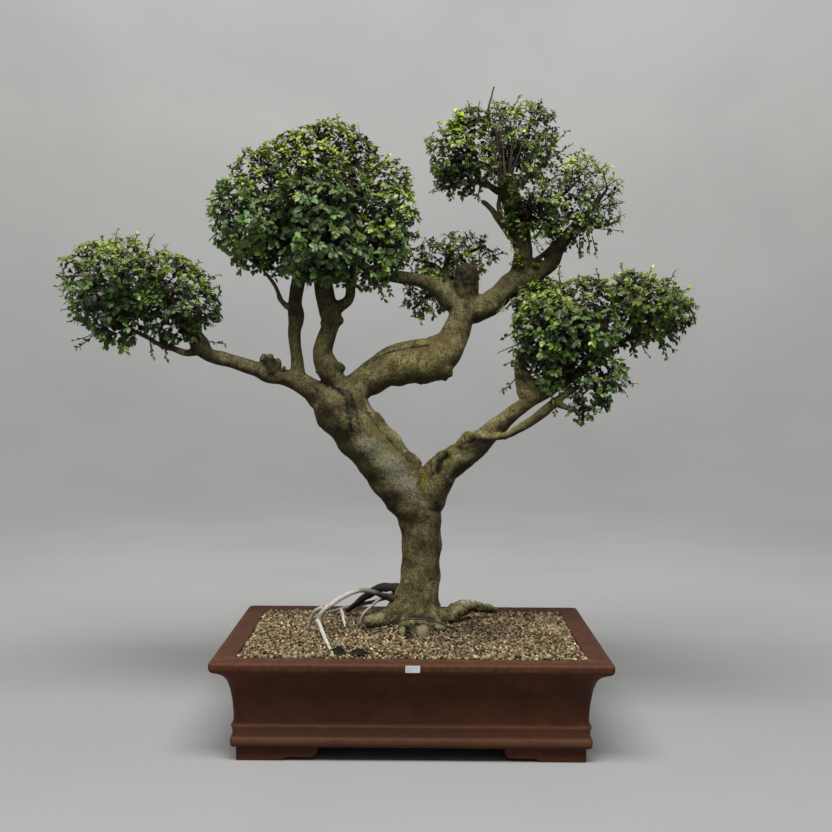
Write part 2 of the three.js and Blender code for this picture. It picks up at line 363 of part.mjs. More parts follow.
let soil = toSolid(skin(soilRings, new THREE.Vector3(0, 0, FLOOR_Z + GAP), new THREE.Vector3(0, 0, SOIL_Z + mound(0, 0))));
soil = soil.subtract(treeGrown).subtract(tieWireGrown);
for (const sx of [-1, 1])
  soil = soil.subtract(toSolid(box(MESH_SIDE + 2 * GAP, MESH_SIDE + 2 * GAP, 6, sx * DRAIN_X, 0, FLOOR_Z + 2)));

// ------------------------------------------------------------------- foliage
// The leaves that one branch carries, as the closed outline of their mass: the
// furthest reach of a few overlapping lobes, seen from the middle of the mass.
// lobes are [x, y, z, radius x, radius y, radius z].
const FOLIAGE = {
  foliage_left_outer: { centre: [-495, 2, 713], lobes: [[-504, 0, 712, 69, 96, 82], [-467, -28, 743, 58, 80, 58], [-477, 34, 745, 60, 80, 60], [-541, 4, 743, 41, 60, 34], [-473, -6, 670, 59, 80, 49], [-522, 20, 763, 43, 60, 40]] },
  foliage_left_inner: { centre: [-386, 14, 698], lobes: [[-386, 14, 701, 66, 96, 66], [-402, -18, 737, 55, 66, 44], [-407, 48, 740, 57, 66, 44], [-357, 18, 692, 43, 70, 43], [-398, 8, 658, 53, 66, 33]] },
  foliage_center_left: { centre: [-264, 14, 839], lobes: [[-268, 14, 842, 69, 110, 75], [-288, 0, 818, 47, 80, 49], [-241, 10, 904, 62, 90, 56], [-242, 18, 784, 59, 80, 43], [-258, 66, 873, 57, 66, 67]] },
  foliage_center_top: { centre: [-152, 0, 864], lobes: [[-152, 0, 870, 98, 128, 101], [-186, -20, 928, 61, 84, 51], [-114, 14, 935, 62, 90, 52], [-148, -36, 785, 74, 84, 67], [-153, 56, 819, 74, 84, 74], [-155, 30, 950, 56, 84, 50]] },
  foliage_center_right: { centre: [-48, 26, 832], lobes: [[-51, 26, 839, 59, 96, 76], [-60, 6, 784, 56, 80, 56], [-42, 28, 892, 41, 70, 46], [-69, -8, 753, 42, 56, 36], [-28, 44, 828, 40, 60, 57]] },
  foliage_crown_left: { centre: [79, 84, 939], lobes: [[75, 84, 942, 58, 84, 54], [54, 66, 955, 40, 60, 44], [106, 90, 994, 51, 70, 44], [83, 104, 919, 58, 66, 34]] },
  foliage_crown_top: { centre: [176, 90, 978], lobes: [[176, 90, 974, 65, 88, 68], [204, 80, 999, 41, 62, 47], [150, 96, 1009, 41, 62, 38], [169, 60, 932, 54, 60, 44], [178, 128, 958, 52, 56, 52]] },
  foliage_crown_right: { centre: [272, 98, 885], lobes: [[272, 98, 888, 72, 92, 79], [307, 84, 873, 48, 66, 58], [242, 112, 942, 48, 60, 41], [257, 84, 835, 65, 66, 44], [252, 128, 875, 59, 60, 59], [194, 70, 860, 44, 36, 34]] },
  foliage_back: { centre: [61, 138, 771], lobes: [[65, 138, 778, 70, 58, 54], [16, 142, 722, 42, 40, 46], [110, 144, 797, 42, 40, 35], [37, 150, 790, 46, 40, 42]] },
  foliage_right_main: { centre: [244, 20, 653], lobes: [[244, 20, 653, 83, 120, 83], [214, 54, 697, 60, 80, 54], [291, 10, 702, 59, 90, 49], [210, -20, 603, 62, 70, 55], [276, 10, 603, 56, 84, 53], [214, -40, 654, 61, 70, 64]] },
  foliage_right_tip: { centre: [385, 20, 693], lobes: [[385, 20, 693, 73, 96, 56], [350, -10, 714, 52, 70, 42], [420, 26, 677, 43, 66, 46], [378, 50, 678, 57, 60, 44], [337, 6, 653, 52, 60, 33]] },
  foliage_right_low: { centre: [304, -24, 574], lobes: [[304, -24, 581, 52, 62, 36], [286, -34, 555, 42, 46, 32], [335, -30, 581, 24, 40, 23], [265, -50, 526, 21, 22, 21]] },
};
function leafMass({ centre, lobes }, seed, grow = 0) {
  const g = new THREE.SphereGeometry(1, 12, 8);
  for (const name of ['normal', 'uv']) g.deleteAttribute(name);
  const m = mergeVertices(g, 1e-4);
  const p = m.attributes.position;
  for (let i = 0; i < p.count; i++) {
    // the sphere's poles are turned to +-Z
    const d = new THREE.Vector3(p.getX(i), -p.getZ(i), p.getY(i)).normalize();
    let reach = 0;
    for (const [x, y, z, rx, ry, rz] of lobes) {
      const o = new THREE.Vector3(centre[0] - x, centre[1] - y, centre[2] - z);
      const a = (d.x / rx) ** 2 + (d.y / ry) ** 2 + (d.z / rz) ** 2;
      const b = 2 * (d.x * o.x / rx ** 2 + d.y * o.y / ry ** 2 + d.z * o.z / rz ** 2);
      const c = (o.x / rx) ** 2 + (o.y / ry) ** 2 + (o.z / rz) ** 2 - 1;
      const disc = b * b - 4 * a * c;
      if (disc > 0) reach = Math.max(reach, (-b + Math.sqrt(disc)) / (2 * a));
    }
    const u = 1 + 0.035 * Math.sin(d.x * 5.1 + seed) + 0.035 * Math.sin(d.y * 4.7 + seed * 1.7) + 0.03 * Math.sin(d.z * 6.3 - seed);
    d.multiplyScalar(reach * u * 0.975 + grow);
    p.setXYZ(i, centre[0] + d.x, centre[1] + d.y, centre[2] + d.z);
  }
  return m;
}

// -------------------------------------------------------------------- debris
// A fallen leaf, dried and curled: a thin closed cup with pointed ends.
function dryLeaf(length, width, curl, thick) {
  const rings = [];
  const n = 7, across = 5;
  for (let i = 0; i <= n; i++) {
    const t = i / n, x = (t - 0.5) * length;
    const half = Math.max(0.9, Math.sin(Math.PI * Math.min(1, t * 0.94 + 0.03)) ** 0.8 * width / 2);
    const lift = curl * (2 * t - 1) ** 2;
    const ring = [];
    for (let j = 0; j <= across; j++) {
      const s = (j / across) * 2 - 1;
      ring.push(new THREE.Vector3(x, s * half * 0.86, lift + Math.abs(s) ** 1.6 * half * 0.62 + thick));
    }
    for (let j = across; j >= 0; j--) {
      const s = (j / across) * 2 - 1;
      ring.push(new THREE.Vector3(x, s * (half * 0.86 + (Math.abs(s) > 0.99 ? 0.05 : 0)), lift + Math.abs(s) ** 1.6 * half * 0.62));
    }
    rings.push(ring);
  }
  const mid = (r) => r.reduce((a, b) => a.add(b), new THREE.Vector3()).multiplyScalar(1 / r.length);
  return skin(rings, mid(rings[0]), mid(rings[n]));
}

// ------------------------------------------------------------------ assembly
const group = new THREE.Group();
function add(name, geometry, color, roughness, metalness = 0) {
  const mesh = new THREE.Mesh(geometry, new THREE.MeshStandardMaterial({ color, roughness, metalness }));
  mesh.name = name;
  group.add(mesh);
  return mesh;
}

add('pot', toGeometry(pot), 0x4a2a1e, 0.72);
add('soil', toGeometry(soil), 0xa08a66, 0.95);
add('tree', toGeometry(tree), 0x5c5640, 0.9);
add('tie_wire', toGeometry(tieWire), 0x3a2f24, 0.45, 0.6);
add('drain_mesh_left', drainMesh(-DRAIN_X), 0x1c2a20, 0.6);
add('drain_mesh_right', drainMesh(DRAIN_X), 0x1c2a20, 0.6);
add('mesh_clip_left', meshClip(-DRAIN_X), 0x9a9a98, 0.4, 0.9);
add('mesh_clip_right', meshClip(DRAIN_X), 0x9a9a98, 0.4, 0.9);
add('label_tag', box(TAG.w, TAG.t, TAG.h, TAG.x, -POT_DEPTH / 2 + 0.2 - TAG.t / 2 - 0.35, TAG.z), 0xd9dcda, 0.5);

let seed = 0.5;
let taken = null;
for (const [name, mass] of Object.entries(FOLIAGE)) {
  let solid = toSolid(leafMass(mass, seed)).subtract(treeGrown);
  const grown = toSolid(leafMass(mass, seed, GAP));
  if (taken) solid = solid.subtract(taken);
  taken = taken ? taken.add(grown) : grown;
  add(name, toGeometry(solid), 0x3c5a2c, 0.6);
  seed += 1.1;
}

const DEBRIS = [
  ['dry_leaf_left', 20, 17, 8.5, [-107, -152, 158], 0.5],
  ['dry_leaf_right', 25, 17, 9, [-76, -163, 158.9], -0.2],
];
for (const [name, len, wid, curl, at, turn] of DEBRIS) {
  const mesh = add(name, dryLeaf(len, wid, curl, 0.9), 0x2e2a20, 0.8);
  mesh.position.set(...at);
  mesh.rotation.z = turn;
}
add('dry_twig', bentWire([[-66, -162, 165.6], [-57, -159.5, 163.8], [-44, -158.4, 160.6], [-28, -163, 159.8], [-12, -171, 159.8], [-2, -177, 160.4]], 1.0, 5, 12), 0x5a4a34, 0.85);

// Shift everything so that the origin is the middle of the underside of the box.
group.updateMatrixWorld(true);
const whole = new THREE.Box3().setFromObject(group, true);
const middle = whole.getCenter(new THREE.Vector3());
for (const child of group.children) {
  child.position.x -= middle.x;
  child.position.y -= middle.y;
  child.position.z -= whole.min.z;
}
group.updateMatrixWorld(true);

export default group;
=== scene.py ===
# Looks of a chinese elm bonsai in a footed stoneware tray, built round the
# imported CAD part. Tables are in millimetres about the middle of the tray;
# everything is turned into metres in the part's own frame.
import json
import math
import random

import bmesh
import bpy
import numpy as np
from mathutils import Matrix, Vector, kdtree
from mathutils.bvhtree import BVHTree
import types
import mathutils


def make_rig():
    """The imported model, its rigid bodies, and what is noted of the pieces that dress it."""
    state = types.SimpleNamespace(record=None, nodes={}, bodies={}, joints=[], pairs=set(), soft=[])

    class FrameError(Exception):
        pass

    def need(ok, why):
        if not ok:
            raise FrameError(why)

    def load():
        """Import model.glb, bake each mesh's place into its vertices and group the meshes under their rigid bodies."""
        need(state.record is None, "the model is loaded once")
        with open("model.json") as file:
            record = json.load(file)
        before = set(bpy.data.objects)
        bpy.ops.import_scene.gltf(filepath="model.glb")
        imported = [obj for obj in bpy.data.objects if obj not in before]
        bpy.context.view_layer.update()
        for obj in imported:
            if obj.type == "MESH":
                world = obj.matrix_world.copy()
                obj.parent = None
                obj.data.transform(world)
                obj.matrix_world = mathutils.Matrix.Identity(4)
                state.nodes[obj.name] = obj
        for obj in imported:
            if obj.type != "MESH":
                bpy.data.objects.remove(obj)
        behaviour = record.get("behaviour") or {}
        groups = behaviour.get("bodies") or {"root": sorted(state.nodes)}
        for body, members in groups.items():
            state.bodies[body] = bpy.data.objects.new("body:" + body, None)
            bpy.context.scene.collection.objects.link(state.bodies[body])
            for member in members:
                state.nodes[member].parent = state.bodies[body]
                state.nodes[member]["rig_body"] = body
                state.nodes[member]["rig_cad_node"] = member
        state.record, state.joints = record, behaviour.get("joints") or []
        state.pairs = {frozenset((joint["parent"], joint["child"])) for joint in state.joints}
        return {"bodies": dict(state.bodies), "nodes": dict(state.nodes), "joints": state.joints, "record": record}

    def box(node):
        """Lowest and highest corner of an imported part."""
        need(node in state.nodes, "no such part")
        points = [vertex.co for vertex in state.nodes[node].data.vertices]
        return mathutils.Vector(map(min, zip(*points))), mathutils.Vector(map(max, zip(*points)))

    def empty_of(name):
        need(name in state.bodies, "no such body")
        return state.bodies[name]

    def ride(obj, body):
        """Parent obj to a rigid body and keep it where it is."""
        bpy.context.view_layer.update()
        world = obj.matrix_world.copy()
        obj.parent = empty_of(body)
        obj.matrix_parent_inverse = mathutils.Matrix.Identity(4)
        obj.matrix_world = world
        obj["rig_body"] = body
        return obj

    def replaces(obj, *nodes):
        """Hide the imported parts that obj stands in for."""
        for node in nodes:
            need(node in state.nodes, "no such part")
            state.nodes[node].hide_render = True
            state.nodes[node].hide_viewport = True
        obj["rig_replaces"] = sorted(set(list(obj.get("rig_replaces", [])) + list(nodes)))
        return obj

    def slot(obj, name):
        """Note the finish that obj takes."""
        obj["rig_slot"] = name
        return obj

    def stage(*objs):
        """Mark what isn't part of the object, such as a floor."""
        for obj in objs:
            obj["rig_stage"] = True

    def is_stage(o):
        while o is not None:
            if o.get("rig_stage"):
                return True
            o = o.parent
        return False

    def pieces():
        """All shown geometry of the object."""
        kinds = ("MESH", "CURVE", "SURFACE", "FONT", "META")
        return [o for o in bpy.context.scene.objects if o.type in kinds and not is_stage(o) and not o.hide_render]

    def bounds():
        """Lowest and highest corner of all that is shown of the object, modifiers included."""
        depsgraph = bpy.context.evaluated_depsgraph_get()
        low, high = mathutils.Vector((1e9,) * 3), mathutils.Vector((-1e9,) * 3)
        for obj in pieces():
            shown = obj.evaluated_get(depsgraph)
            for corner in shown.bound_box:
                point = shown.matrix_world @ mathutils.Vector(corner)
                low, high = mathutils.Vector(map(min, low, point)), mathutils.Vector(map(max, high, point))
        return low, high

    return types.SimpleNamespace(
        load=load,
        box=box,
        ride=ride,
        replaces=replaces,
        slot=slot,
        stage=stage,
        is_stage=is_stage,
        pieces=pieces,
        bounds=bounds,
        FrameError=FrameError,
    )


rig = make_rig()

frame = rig.load()
size_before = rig.bounds()
rng = np.random.default_rng(20)
random.seed(20)
scene = bpy.context.scene

pot_lo, pot_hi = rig.box("pot")
OFF = np.array([(pot_lo[0] + pot_hi[0]) / 2, (pot_lo[1] + pot_hi[1]) / 2, 0.0])


# ------------------------------------------------------------------- helpers
def M(p):
    """Tray millimetres to metres in the part's frame."""
    return np.asarray(p, float) * 0.001 + OFF


def make(name, co, polys, material, attrs=None, smooth=True, slot=None, in_mm=True):
    """A mesh object from points and lists of equal-length polygons."""
    me = bpy.data.meshes.new(name)
    co = M(co) if in_mm else np.asarray(co, float)
    polys = [np.asarray(p, np.int32) for p in polys if len(p)]
    me.vertices.add(len(co))
    me.vertices.foreach_set("co", co.astype(np.float32).ravel())
    loops = np.concatenate([p.ravel() for p in polys])
    totals = np.concatenate([np.full(len(p), p.shape[1], np.int32) for p in polys])
    starts = np.concatenate([[0], np.cumsum(totals)[:-1]]).astype(np.int32)
    me.loops.add(len(loops))
    me.loops.foreach_set("vertex_index", loops)
    me.polygons.add(len(totals))
    me.polygons.foreach_set("loop_start", starts)
    me.update(calc_edges=True)
    me.validate()
    me.polygons.foreach_set("use_smooth", np.full(len(me.polygons), smooth, bool))
    for k, v in (attrs or {}).items():
        a = me.attributes.new(k, "FLOAT_COLOR", "POINT")
        v = np.asarray(v, np.float32)
        if v.shape[1] == 3:
            v = np.concatenate([v, np.ones((len(v), 1), np.float32)], 1)
        a.data.foreach_set("color", v.ravel())
    me.materials.append(material)
    ob = bpy.data.objects.new(name, me)
    scene.collection.objects.link(ob)
    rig.ride(ob, "root")
    if slot:
        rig.slot(ob, slot)
    return ob


def _hash(ix, iy, iz, seed):
    with np.errstate(over="ignore"):
        n = (ix.astype(np.uint32) * np.uint32(374761393) + iy.astype(np.uint32) * np.uint32(668265263)
             + iz.astype(np.uint32) * np.uint32(2246822519) + np.uint32((seed * 3266489917) & 0xFFFFFFFF))
        n = (n ^ (n >> np.uint32(13))) * np.uint32(1274126177)
        n = (n ^ (n >> np.uint32(16))) * np.uint32(2654435761)
        n = n ^ (n >> np.uint32(15))
    return n.astype(np.float64) / 4294967295.0


def noise(p, scale, seed=0):
    """Smooth value noise, 0 to 1. p in mm; scale is one number or three."""
    q = np.asarray(p, float) / np.asarray(scale, float) + 1000.0
    i = np.floor(q)
    f = q - i
    f = f * f * (3 - 2 * f)
    i = i.astype(np.int64)
    out = 0
    for dx in (0, 1):
        for dy in (0, 1):
            for dz in (0, 1):
                w = (f[:, 0] if dx else 1 - f[:, 0]) * (f[:, 1] if dy else 1 - f[:, 1]) * (f[:, 2] if dz else 1 - f[:, 2])
                out = out + w * _hash(i[:, 0] + dx, i[:, 1] + dy, i[:, 2] + dz, seed)
    return out


def fbm(p, scale, octaves=4, seed=0):
    out, amp, tot = 0, 1.0, 0
    s = np.asarray(scale, float)
    for k in range(octaves):
        out = out + amp * noise(p, s, seed + 17 * k)
        tot += amp
        amp *= 0.5
        s = s * 0.5
    return out / tot


def smooth(p, step, wrap=False):
    """Catmull-Rom through [x, y, z, r] points, sampled about every step."""
    p = np.asarray(p, float)
    e = np.vstack([2 * p[0] - p[1], p, 2 * p[-1] - p[-2]])
    out = []
    for i in range(1, len(e) - 2):
        a, b, c, d = e[i - 1], e[i], e[i + 1], e[i + 2]
        t0 = 0.0
        t1 = t0 + max(1e-6, np.linalg.norm((b - a)[:3])) ** 0.5
        t2 = t1 + max(1e-6, np.linalg.norm((c - b)[:3])) ** 0.5
        t3 = t2 + max(1e-6, np.linalg.norm((d - c)[:3])) ** 0.5
        n = max(1, int(math.ceil(np.linalg.norm((c - b)[:3]) / step)))
        for t in np.linspace(t1, t2, n, endpoint=False):
            A1 = (t1 - t) / (t1 - t0) * a + (t - t0) / (t1 - t0) * b
            A2 = (t2 - t) / (t2 - t1) * b + (t - t1) / (t2 - t1) * c
            A3 = (t3 - t) / (t3 - t2) * c + (t - t2) / (t3 - t2) * d
            B1 = (t2 - t) / (t2 - t0) * A1 + (t - t0) / (t2 - t0) * A2
            B2 = (t3 - t) / (t3 - t1) * A2 + (t - t1) / (t3 - t1) * A3
            out.append((t2 - t) / (t2 - t1) * B1 + (t - t1) / (t2 - t1) * B2)
    out.append(p[-1])
    return np.array(out)


def unit(v):
    v = np.asarray(v, float)
    return v / np.maximum(1e-9, np.linalg.norm(v, axis=-1, keepdims=True))


def frames(c):
    """Tangent, side and depth along a centre line; depth leans to +Y."""
    t = np.gradient(c, axis=0)
    t = unit(t)
    y = np.array([0.0, 1.0, 0.0]) - t * t[:, 1:2]
    bad = np.linalg.norm(y, axis=1) < 0.15
    y[bad] = np.array([1.0, 0.0, 0.0]) - t[bad] * t[bad][:, 0:1]
    y = unit(y)
    return t, np.cross(y, t), y


def tube(pts, sides, flat=1.0, uneven=0.0, seed=0, closed_ends=True):
    """Points and polygons of a bar along [x, y, z, r] rows."""
    c, r = pts[:, :3], pts[:, 3]
    t, s, d = frames(c)
    th = np.arange(sides) / sides * 2 * math.pi
    n = len(c)
    u = np.ones((n, sides))
    if uneven:
        ph = np.linspace(0, n * 0.5, n)[:, None]
        u = 1 + uneven * (0.6 * np.sin(2 * th[None] + ph * 0.8 + seed) + 0.5 * np.sin(3 * th[None] - ph * 0.6 + seed * 2.3))
    ring = (c[:, None] + s[:, None] * (np.cos(th)[None, :, None] * (r[:, None] * u)[..., None])
            + d[:, None] * (np.sin(th)[None, :, None] * (r[:, None] * u * flat)[..., None]))
    co = ring.reshape(-1, 3)
    i = np.arange(n - 1)[:, None] * sides
    j = np.arange(sides)[None]
    k = (j + 1) % sides
    quads = np.stack([i + j, i + k, i + sides + k, i + sides + j], -1).reshape(-1, 4)
    a, b = len(co), len(co) + 1
    co = np.vstack([co, c[0] - t[0] * r[0] * 0.35, c[-1] + t[-1] * r[-1] * 0.45])
    jj = np.arange(sides)
    kk = (jj + 1) % sides
    tris = np.vstack([np.stack([np.full(sides, a), kk, jj], 1),
                      np.stack([np.full(sides, b), (n - 1) * sides + jj, (n - 1) * sides + kk], 1)])
    return co, quads, tris


class Parts:
    """Collects many small meshes into one."""

    def __init__(self):
        self.co, self.q, self.t, self.n, self.attr = [], [], [], 0, []

    def add(self, co, quads=None, tris=None, attr=None):
        self.co.append(co)
        if quads is not None and len(quads):
            self.q.append(np.asarray(quads) + self.n)
        if tris is not None and len(tris):
            self.t.append(np.asarray(tris) + self.n)
        if attr is not None:
            self.attr.append(np.broadcast_to(np.asarray(attr, float), (len(co), len(np.atleast_1d(attr)) if np.ndim(attr) < 2 else np.shape(attr)[1])))
        self.n += len(co)

    def done(self):
        co = np.vstack(self.co)
        polys = []
        if self.q:
            polys.append(np.vstack(self.q))
        if self.t:
            polys.append(np.vstack(self.t))
        return co, polys, (np.vstack(self.attr) if self.attr else None)


# ----------------------------------------------------------------- materials
def material(name):
    m = bpy.data.materials.new(name)
    m.use_nodes = True
    nt = m.node_tree
    nt.nodes.clear()
    out = nt.nodes.new("ShaderNodeOutputMaterial")
    p = nt.nodes.new("ShaderNodeBsdfPrincipled")
    nt.links.new(p.outputs[0], out.inputs[0])
    return m, nt, p


def node(nt, kind, **kw):
    n = nt.nodes.new(kind)
    for k, v in kw.items():
        if k.startswith("in_"):
            key = k[3:]
            n.inputs[int(key) if key.isdigit() else key.replace("_", " ")].default_value = v
        else:
            setattr(n, k, v)
    return n


def coords(nt, scale=1.0):
    """Object coordinates (objects sit at the origin, so these are the part's)."""
    tc = nt.nodes.new("ShaderNodeTexCoord")
    mp = nt.nodes.new("ShaderNodeMapping")
    mp.inputs["Scale"].default_value = (scale,) * 3 if np.isscalar(scale) else scale
    nt.links.new(tc.outputs["Object"], mp.inputs[0])
    return mp.outputs[0]


def tex(nt, vec, scale, detail=3.0, rough=0.55, distortion=0.0):
    n = node(nt, "ShaderNodeTexNoise", in_Scale=scale, in_Detail=detail, in_Roughness=rough, in_Distortion=distortion)
    nt.links.new(vec, n.inputs["Vector"])
    return n.outputs["Fac"]


def ramp(nt, fac, stops, smooth_it=True):
    n = nt.nodes.new("ShaderNodeValToRGB")
    el = n.color_ramp.elements
    while len(el) < len(stops):
        el.new(0.5)
    for e, (pos, col) in zip(el, stops):
        e.position = pos
        e.color = (*col, 1.0) if not np.isscalar(col) else (col, col, col, 1.0)
    n.color_ramp.interpolation = "EASE" if smooth_it else "LINEAR"
    nt.links.new(fac, n.inputs[0])
    return n.outputs[0]


def mix(nt, fac, a, b, mode="MIX"):
    n = nt.nodes.new("ShaderNodeMix")
    n.data_type = "RGBA"
    n.blend_type = mode
    for sock, val in ((n.inputs[0], fac), (n.inputs[6], a), (n.inputs[7], b)):
        if hasattr(val, "links"):
            nt.links.new(val, sock)
        elif np.isscalar(val):
            sock.default_value = val
        else:
            sock.default_value = (*val, 1.0)
    return n.outputs[2]


def math_node(nt, op, a, b=None):
    n = nt.nodes.new("ShaderNodeMath")
    n.operation = op
    for sock, val in ((n.inputs[0], a), (n.inputs[1], b)):
        if val is None:
            continue
        if hasattr(val, "links"):
            nt.links.new(val, sock)
        else:
            sock.default_value = val
    return n.outputs[0]


def attribute(nt, name):
    n = nt.nodes.new("ShaderNodeAttribute")
    n.attribute_name = name
    return n


def split(nt, col):
    n = nt.nodes.new("ShaderNodeSeparateColor")
    nt.links.new(col, n.inputs[0])
    return n.outputs


def bump(nt, height, strength, distance, p):
    n = node(nt, "ShaderNodeBump", in_Strength=strength, in_Distance=distance)
    nt.links.new(height, n.inputs["Height"])
    nt.links.new(n.outputs[0], p.inputs["Normal"])
    return n


def bark_material():
    m, nt, p = material("bark")
    v = coords(nt, 1.0)
    big = tex(nt, v, 22, 4, 0.6)
    mid = tex(nt, v, 110, 4, 0.62)
    fine = tex(nt, v, 420, 3, 0.65)
    grit = tex(nt, v, 900, 2, 0.6)
    base = ramp(nt, big, [(0.32, (0.086, 0.070, 0.030)), (0.46, (0.120, 0.107, 0.048)), (0.58, (0.146, 0.137, 0.066)), (0.72, (0.104, 0.102, 0.038))])
    blot = tex(nt, coords(nt, (90, 90, 60)), 1.0, 6, 0.70, 0.4)
    base = mix(nt, ramp(nt, blot, [(0.40, 0.75), (0.52, 0.0)]), base, mix(nt, 1.0, base, (0.60, 0.50, 0.40), "MULTIPLY"))
    base = mix(nt, ramp(nt, blot, [(0.54, 0.0), (0.66, 0.7)]), base, mix(nt, 1.0, base, (1.26, 1.26, 1.34), "MULTIPLY"))
    base = mix(nt, ramp(nt, mid, [(0.36, 0.0), (0.62, 1.0)]), mix(nt, 1.0, base, (0.78, 0.74, 0.68), "MULTIPLY"), mix(nt, 1.0, base, (1.14, 1.14, 1.13), "MULTIPLY"))
    base = mix(nt, ramp(nt, fine, [(0.40, 0.0), (0.58, 1.0)]), mix(nt, 1.0, base, (0.52, 0.47, 0.40), "MULTIPLY"), mix(nt, 1.0, base, (1.30, 1.30, 1.33), "MULTIPLY"))
    a4 = split(nt, attribute(nt, "m4").outputs["Color"])
    # painted light and a yellower tone on the upper limb, from the second channel
    base = mix(nt, a4[1], base, mix(nt, 1.0, base, (1.60, 1.58, 1.38), "MULTIPLY"))
    # pale flecks, and short dark lenticels lying across the trunk
    base = mix(nt, ramp(nt, tex(nt, coords(nt, (230, 230, 260)), 1.0, 3, 0.6), [(0.60, 0.0), (0.72, 0.45)]), base, (0.24, 0.23, 0.15))
    speck = tex(nt, coords(nt, (105, 105, 330)), 1.0, 2, 0.55)
    base = mix(nt, ramp(nt, speck, [(0.63, 0.0), (0.70, 0.85)]), base, (0.035, 0.026, 0.012))
    dots = tex(nt, coords(nt, (300, 300, 340)), 1.0, 2, 0.5)
    base = mix(nt, ramp(nt, dots, [(0.64, 0.0), (0.72, 0.75)]), base, (0.045, 0.034, 0.016))
    a1 = split(nt, attribute(nt, "m1").outputs["Color"])
    a2 = split(nt, attribute(nt, "m2").outputs["Color"])
    a3 = split(nt, attribute(nt, "m3").outputs["Color"])

    def edge(mask, by, much, lo, hi, top):
        e = math_node(nt, "ADD", mask, math_node(nt, "MULTIPLY", math_node(nt, "SUBTRACT", by, 0.5), much))
        return ramp(nt, e, [(lo, 0.0), (hi, top)])
    # grey lichen film with dark pits
    crust = mix(nt, ramp(nt, fine, [(0.36, 0.0), (0.62, 1.0)]), (0.125, 0.116, 0.074), (0.268, 0.254, 0.184))
    crust = mix(nt, ramp(nt, dots, [(0.60, 0.0), (0.66, 1.0)]), crust, (0.045, 0.036, 0.02))
    base = mix(nt, edge(a1[0], mid, 1.2, 0.15, 0.95, 0.80), base, crust)
    # orange-brown weathering, and smooth tan bark
    base = mix(nt, edge(a2[0], mid, 1.5, 0.30, 1.0, 0.75), base, mix(nt, mid, (0.056, 0.033, 0.011), (0.165, 0.112, 0.038)))
    base = mix(nt, edge(a2[1], fine, 0.9, 0.30, 0.80, 0.72), base, mix(nt, fine, (0.165, 0.145, 0.070), (0.31, 0.285, 0.170)))
    # moss: yellow-green, and a dull dark green
    mosscol = mix(nt, ramp(nt, fine, [(0.38, 0.0), (0.62, 1.0)]), (0.036, 0.036, 0.005), (0.170, 0.165, 0.022))
    base = mix(nt, edge(a1[1], mid, 1.1, 0.30, 0.72, 0.82), base, mosscol)
    base = mix(nt, edge(a3[1], fine, 1.1, 0.32, 0.85, 0.85), base, mix(nt, fine, (0.011, 0.014, 0.007), (0.052, 0.062, 0.028)))
    # faint green algae in broad patches
    algae = tex(nt, v, 19, 4, 0.6)
    base = mix(nt, math_node(nt, "MULTIPLY", ramp(nt, algae, [(0.50, 0.0), (0.68, 0.45)]), ramp(nt, mid, [(0.3, 0.4), (0.6, 1.0)])), base, mix(nt, 1.0, base, (0.82, 0.96, 0.46), "MULTIPLY"))
    # rough brown heartwood of the sawn stub
    rough = mix(nt, ramp(nt, mid, [(0.35, 0.0), (0.65, 1.0)]), (0.024, 0.0165, 0.0065), (0.094, 0.068, 0.029))
    base = mix(nt, edge(a3[0], mid, 0.5, 0.30, 0.60, 0.95), base, rough)
    # greenish-white fuzz
    fuzz = mix(nt, ramp(nt, grit, [(0.36, 0.0), (0.62, 1.0)]), (0.075, 0.072, 0.034), (0.44, 0.44, 0.30))
    base = mix(nt, edge(a3[2], fine, 1.3, 0.45, 0.95, 0.80), base, fuzz)
    # painted shade from the first channel: undersides, wood among the leaves and the shaded strokes are darkened
    base = mix(nt, a4[0], base, mix(nt, 1.0, base, (0.27, 0.25, 0.22), "MULTIPLY"))
    # dark cracks and shaded hollows
    base = mix(nt, edge(a1[2], fine, 0.5, 0.22, 0.85, 0.94), base, (0.016, 0.012, 0.007))
    # young wood is plain brown
    base = mix(nt, a2[2], base, mix(nt, mid, (0.030, 0.021, 0.012), (0.088, 0.062, 0.036)))
    nt.links.new(base, p.inputs["Base Color"])
    p.inputs["Roughness"].default_value = 0.80
    p.inputs["Specular IOR Level"].default_value = 0.22
    h = math_node(nt, "ADD", math_node(nt, "MULTIPLY", mid, 0.55), math_node(nt, "MULTIPLY", fine, 0.55))
    h = math_node(nt, "SUBTRACT", h, math_node(nt, "MULTIPLY", ramp(nt, speck, [(0.58, 0.0), (0.70, 1.0)]), 0.35))
    bump(nt, h, 0.60, 0.0017, p)
    return m


def root_material():
    m, nt, p = material("pale_root")
    v = coords(nt, 1.0)
    big = tex(nt, v, 60, 4, 0.6)
    fine = tex(nt, v, 600, 3, 0.6)
    pale = ramp(nt, big, [(0.30, (0.33, 0.305, 0.24)), (0.44, (0.53, 0.51, 0.44)), (0.62, (0.68, 0.665, 0.60))])
    pale = mix(nt, ramp(nt, tex(nt, coords(nt, (300, 300, 300)), 1.0, 3, 0.6), [(0.60, 0.0), (0.72, 0.6)]), pale, (0.17, 0.14, 0.10))
    a = split(nt, attribute(nt, "m1").outputs["Color"])
    dark = mix(nt, big, (0.008, 0.006, 0.0045), (0.030, 0.024, 0.018))
    col = mix(nt, a[0], dark, pale)
    col = mix(nt, math_node(nt, "MULTIPLY", a[1], 0.75), col, mix(nt, 1.0, col, (0.86, 0.90, 0.40), "MULTIPLY"))
    nt.links.new(col, p.inputs["Base Color"])
    p.inputs["Roughness"].default_value = 0.75
    p.inputs["Specular IOR Level"].default_value = 0.25
    bump(nt, fine, 0.5, 0.0009, p)
    return m


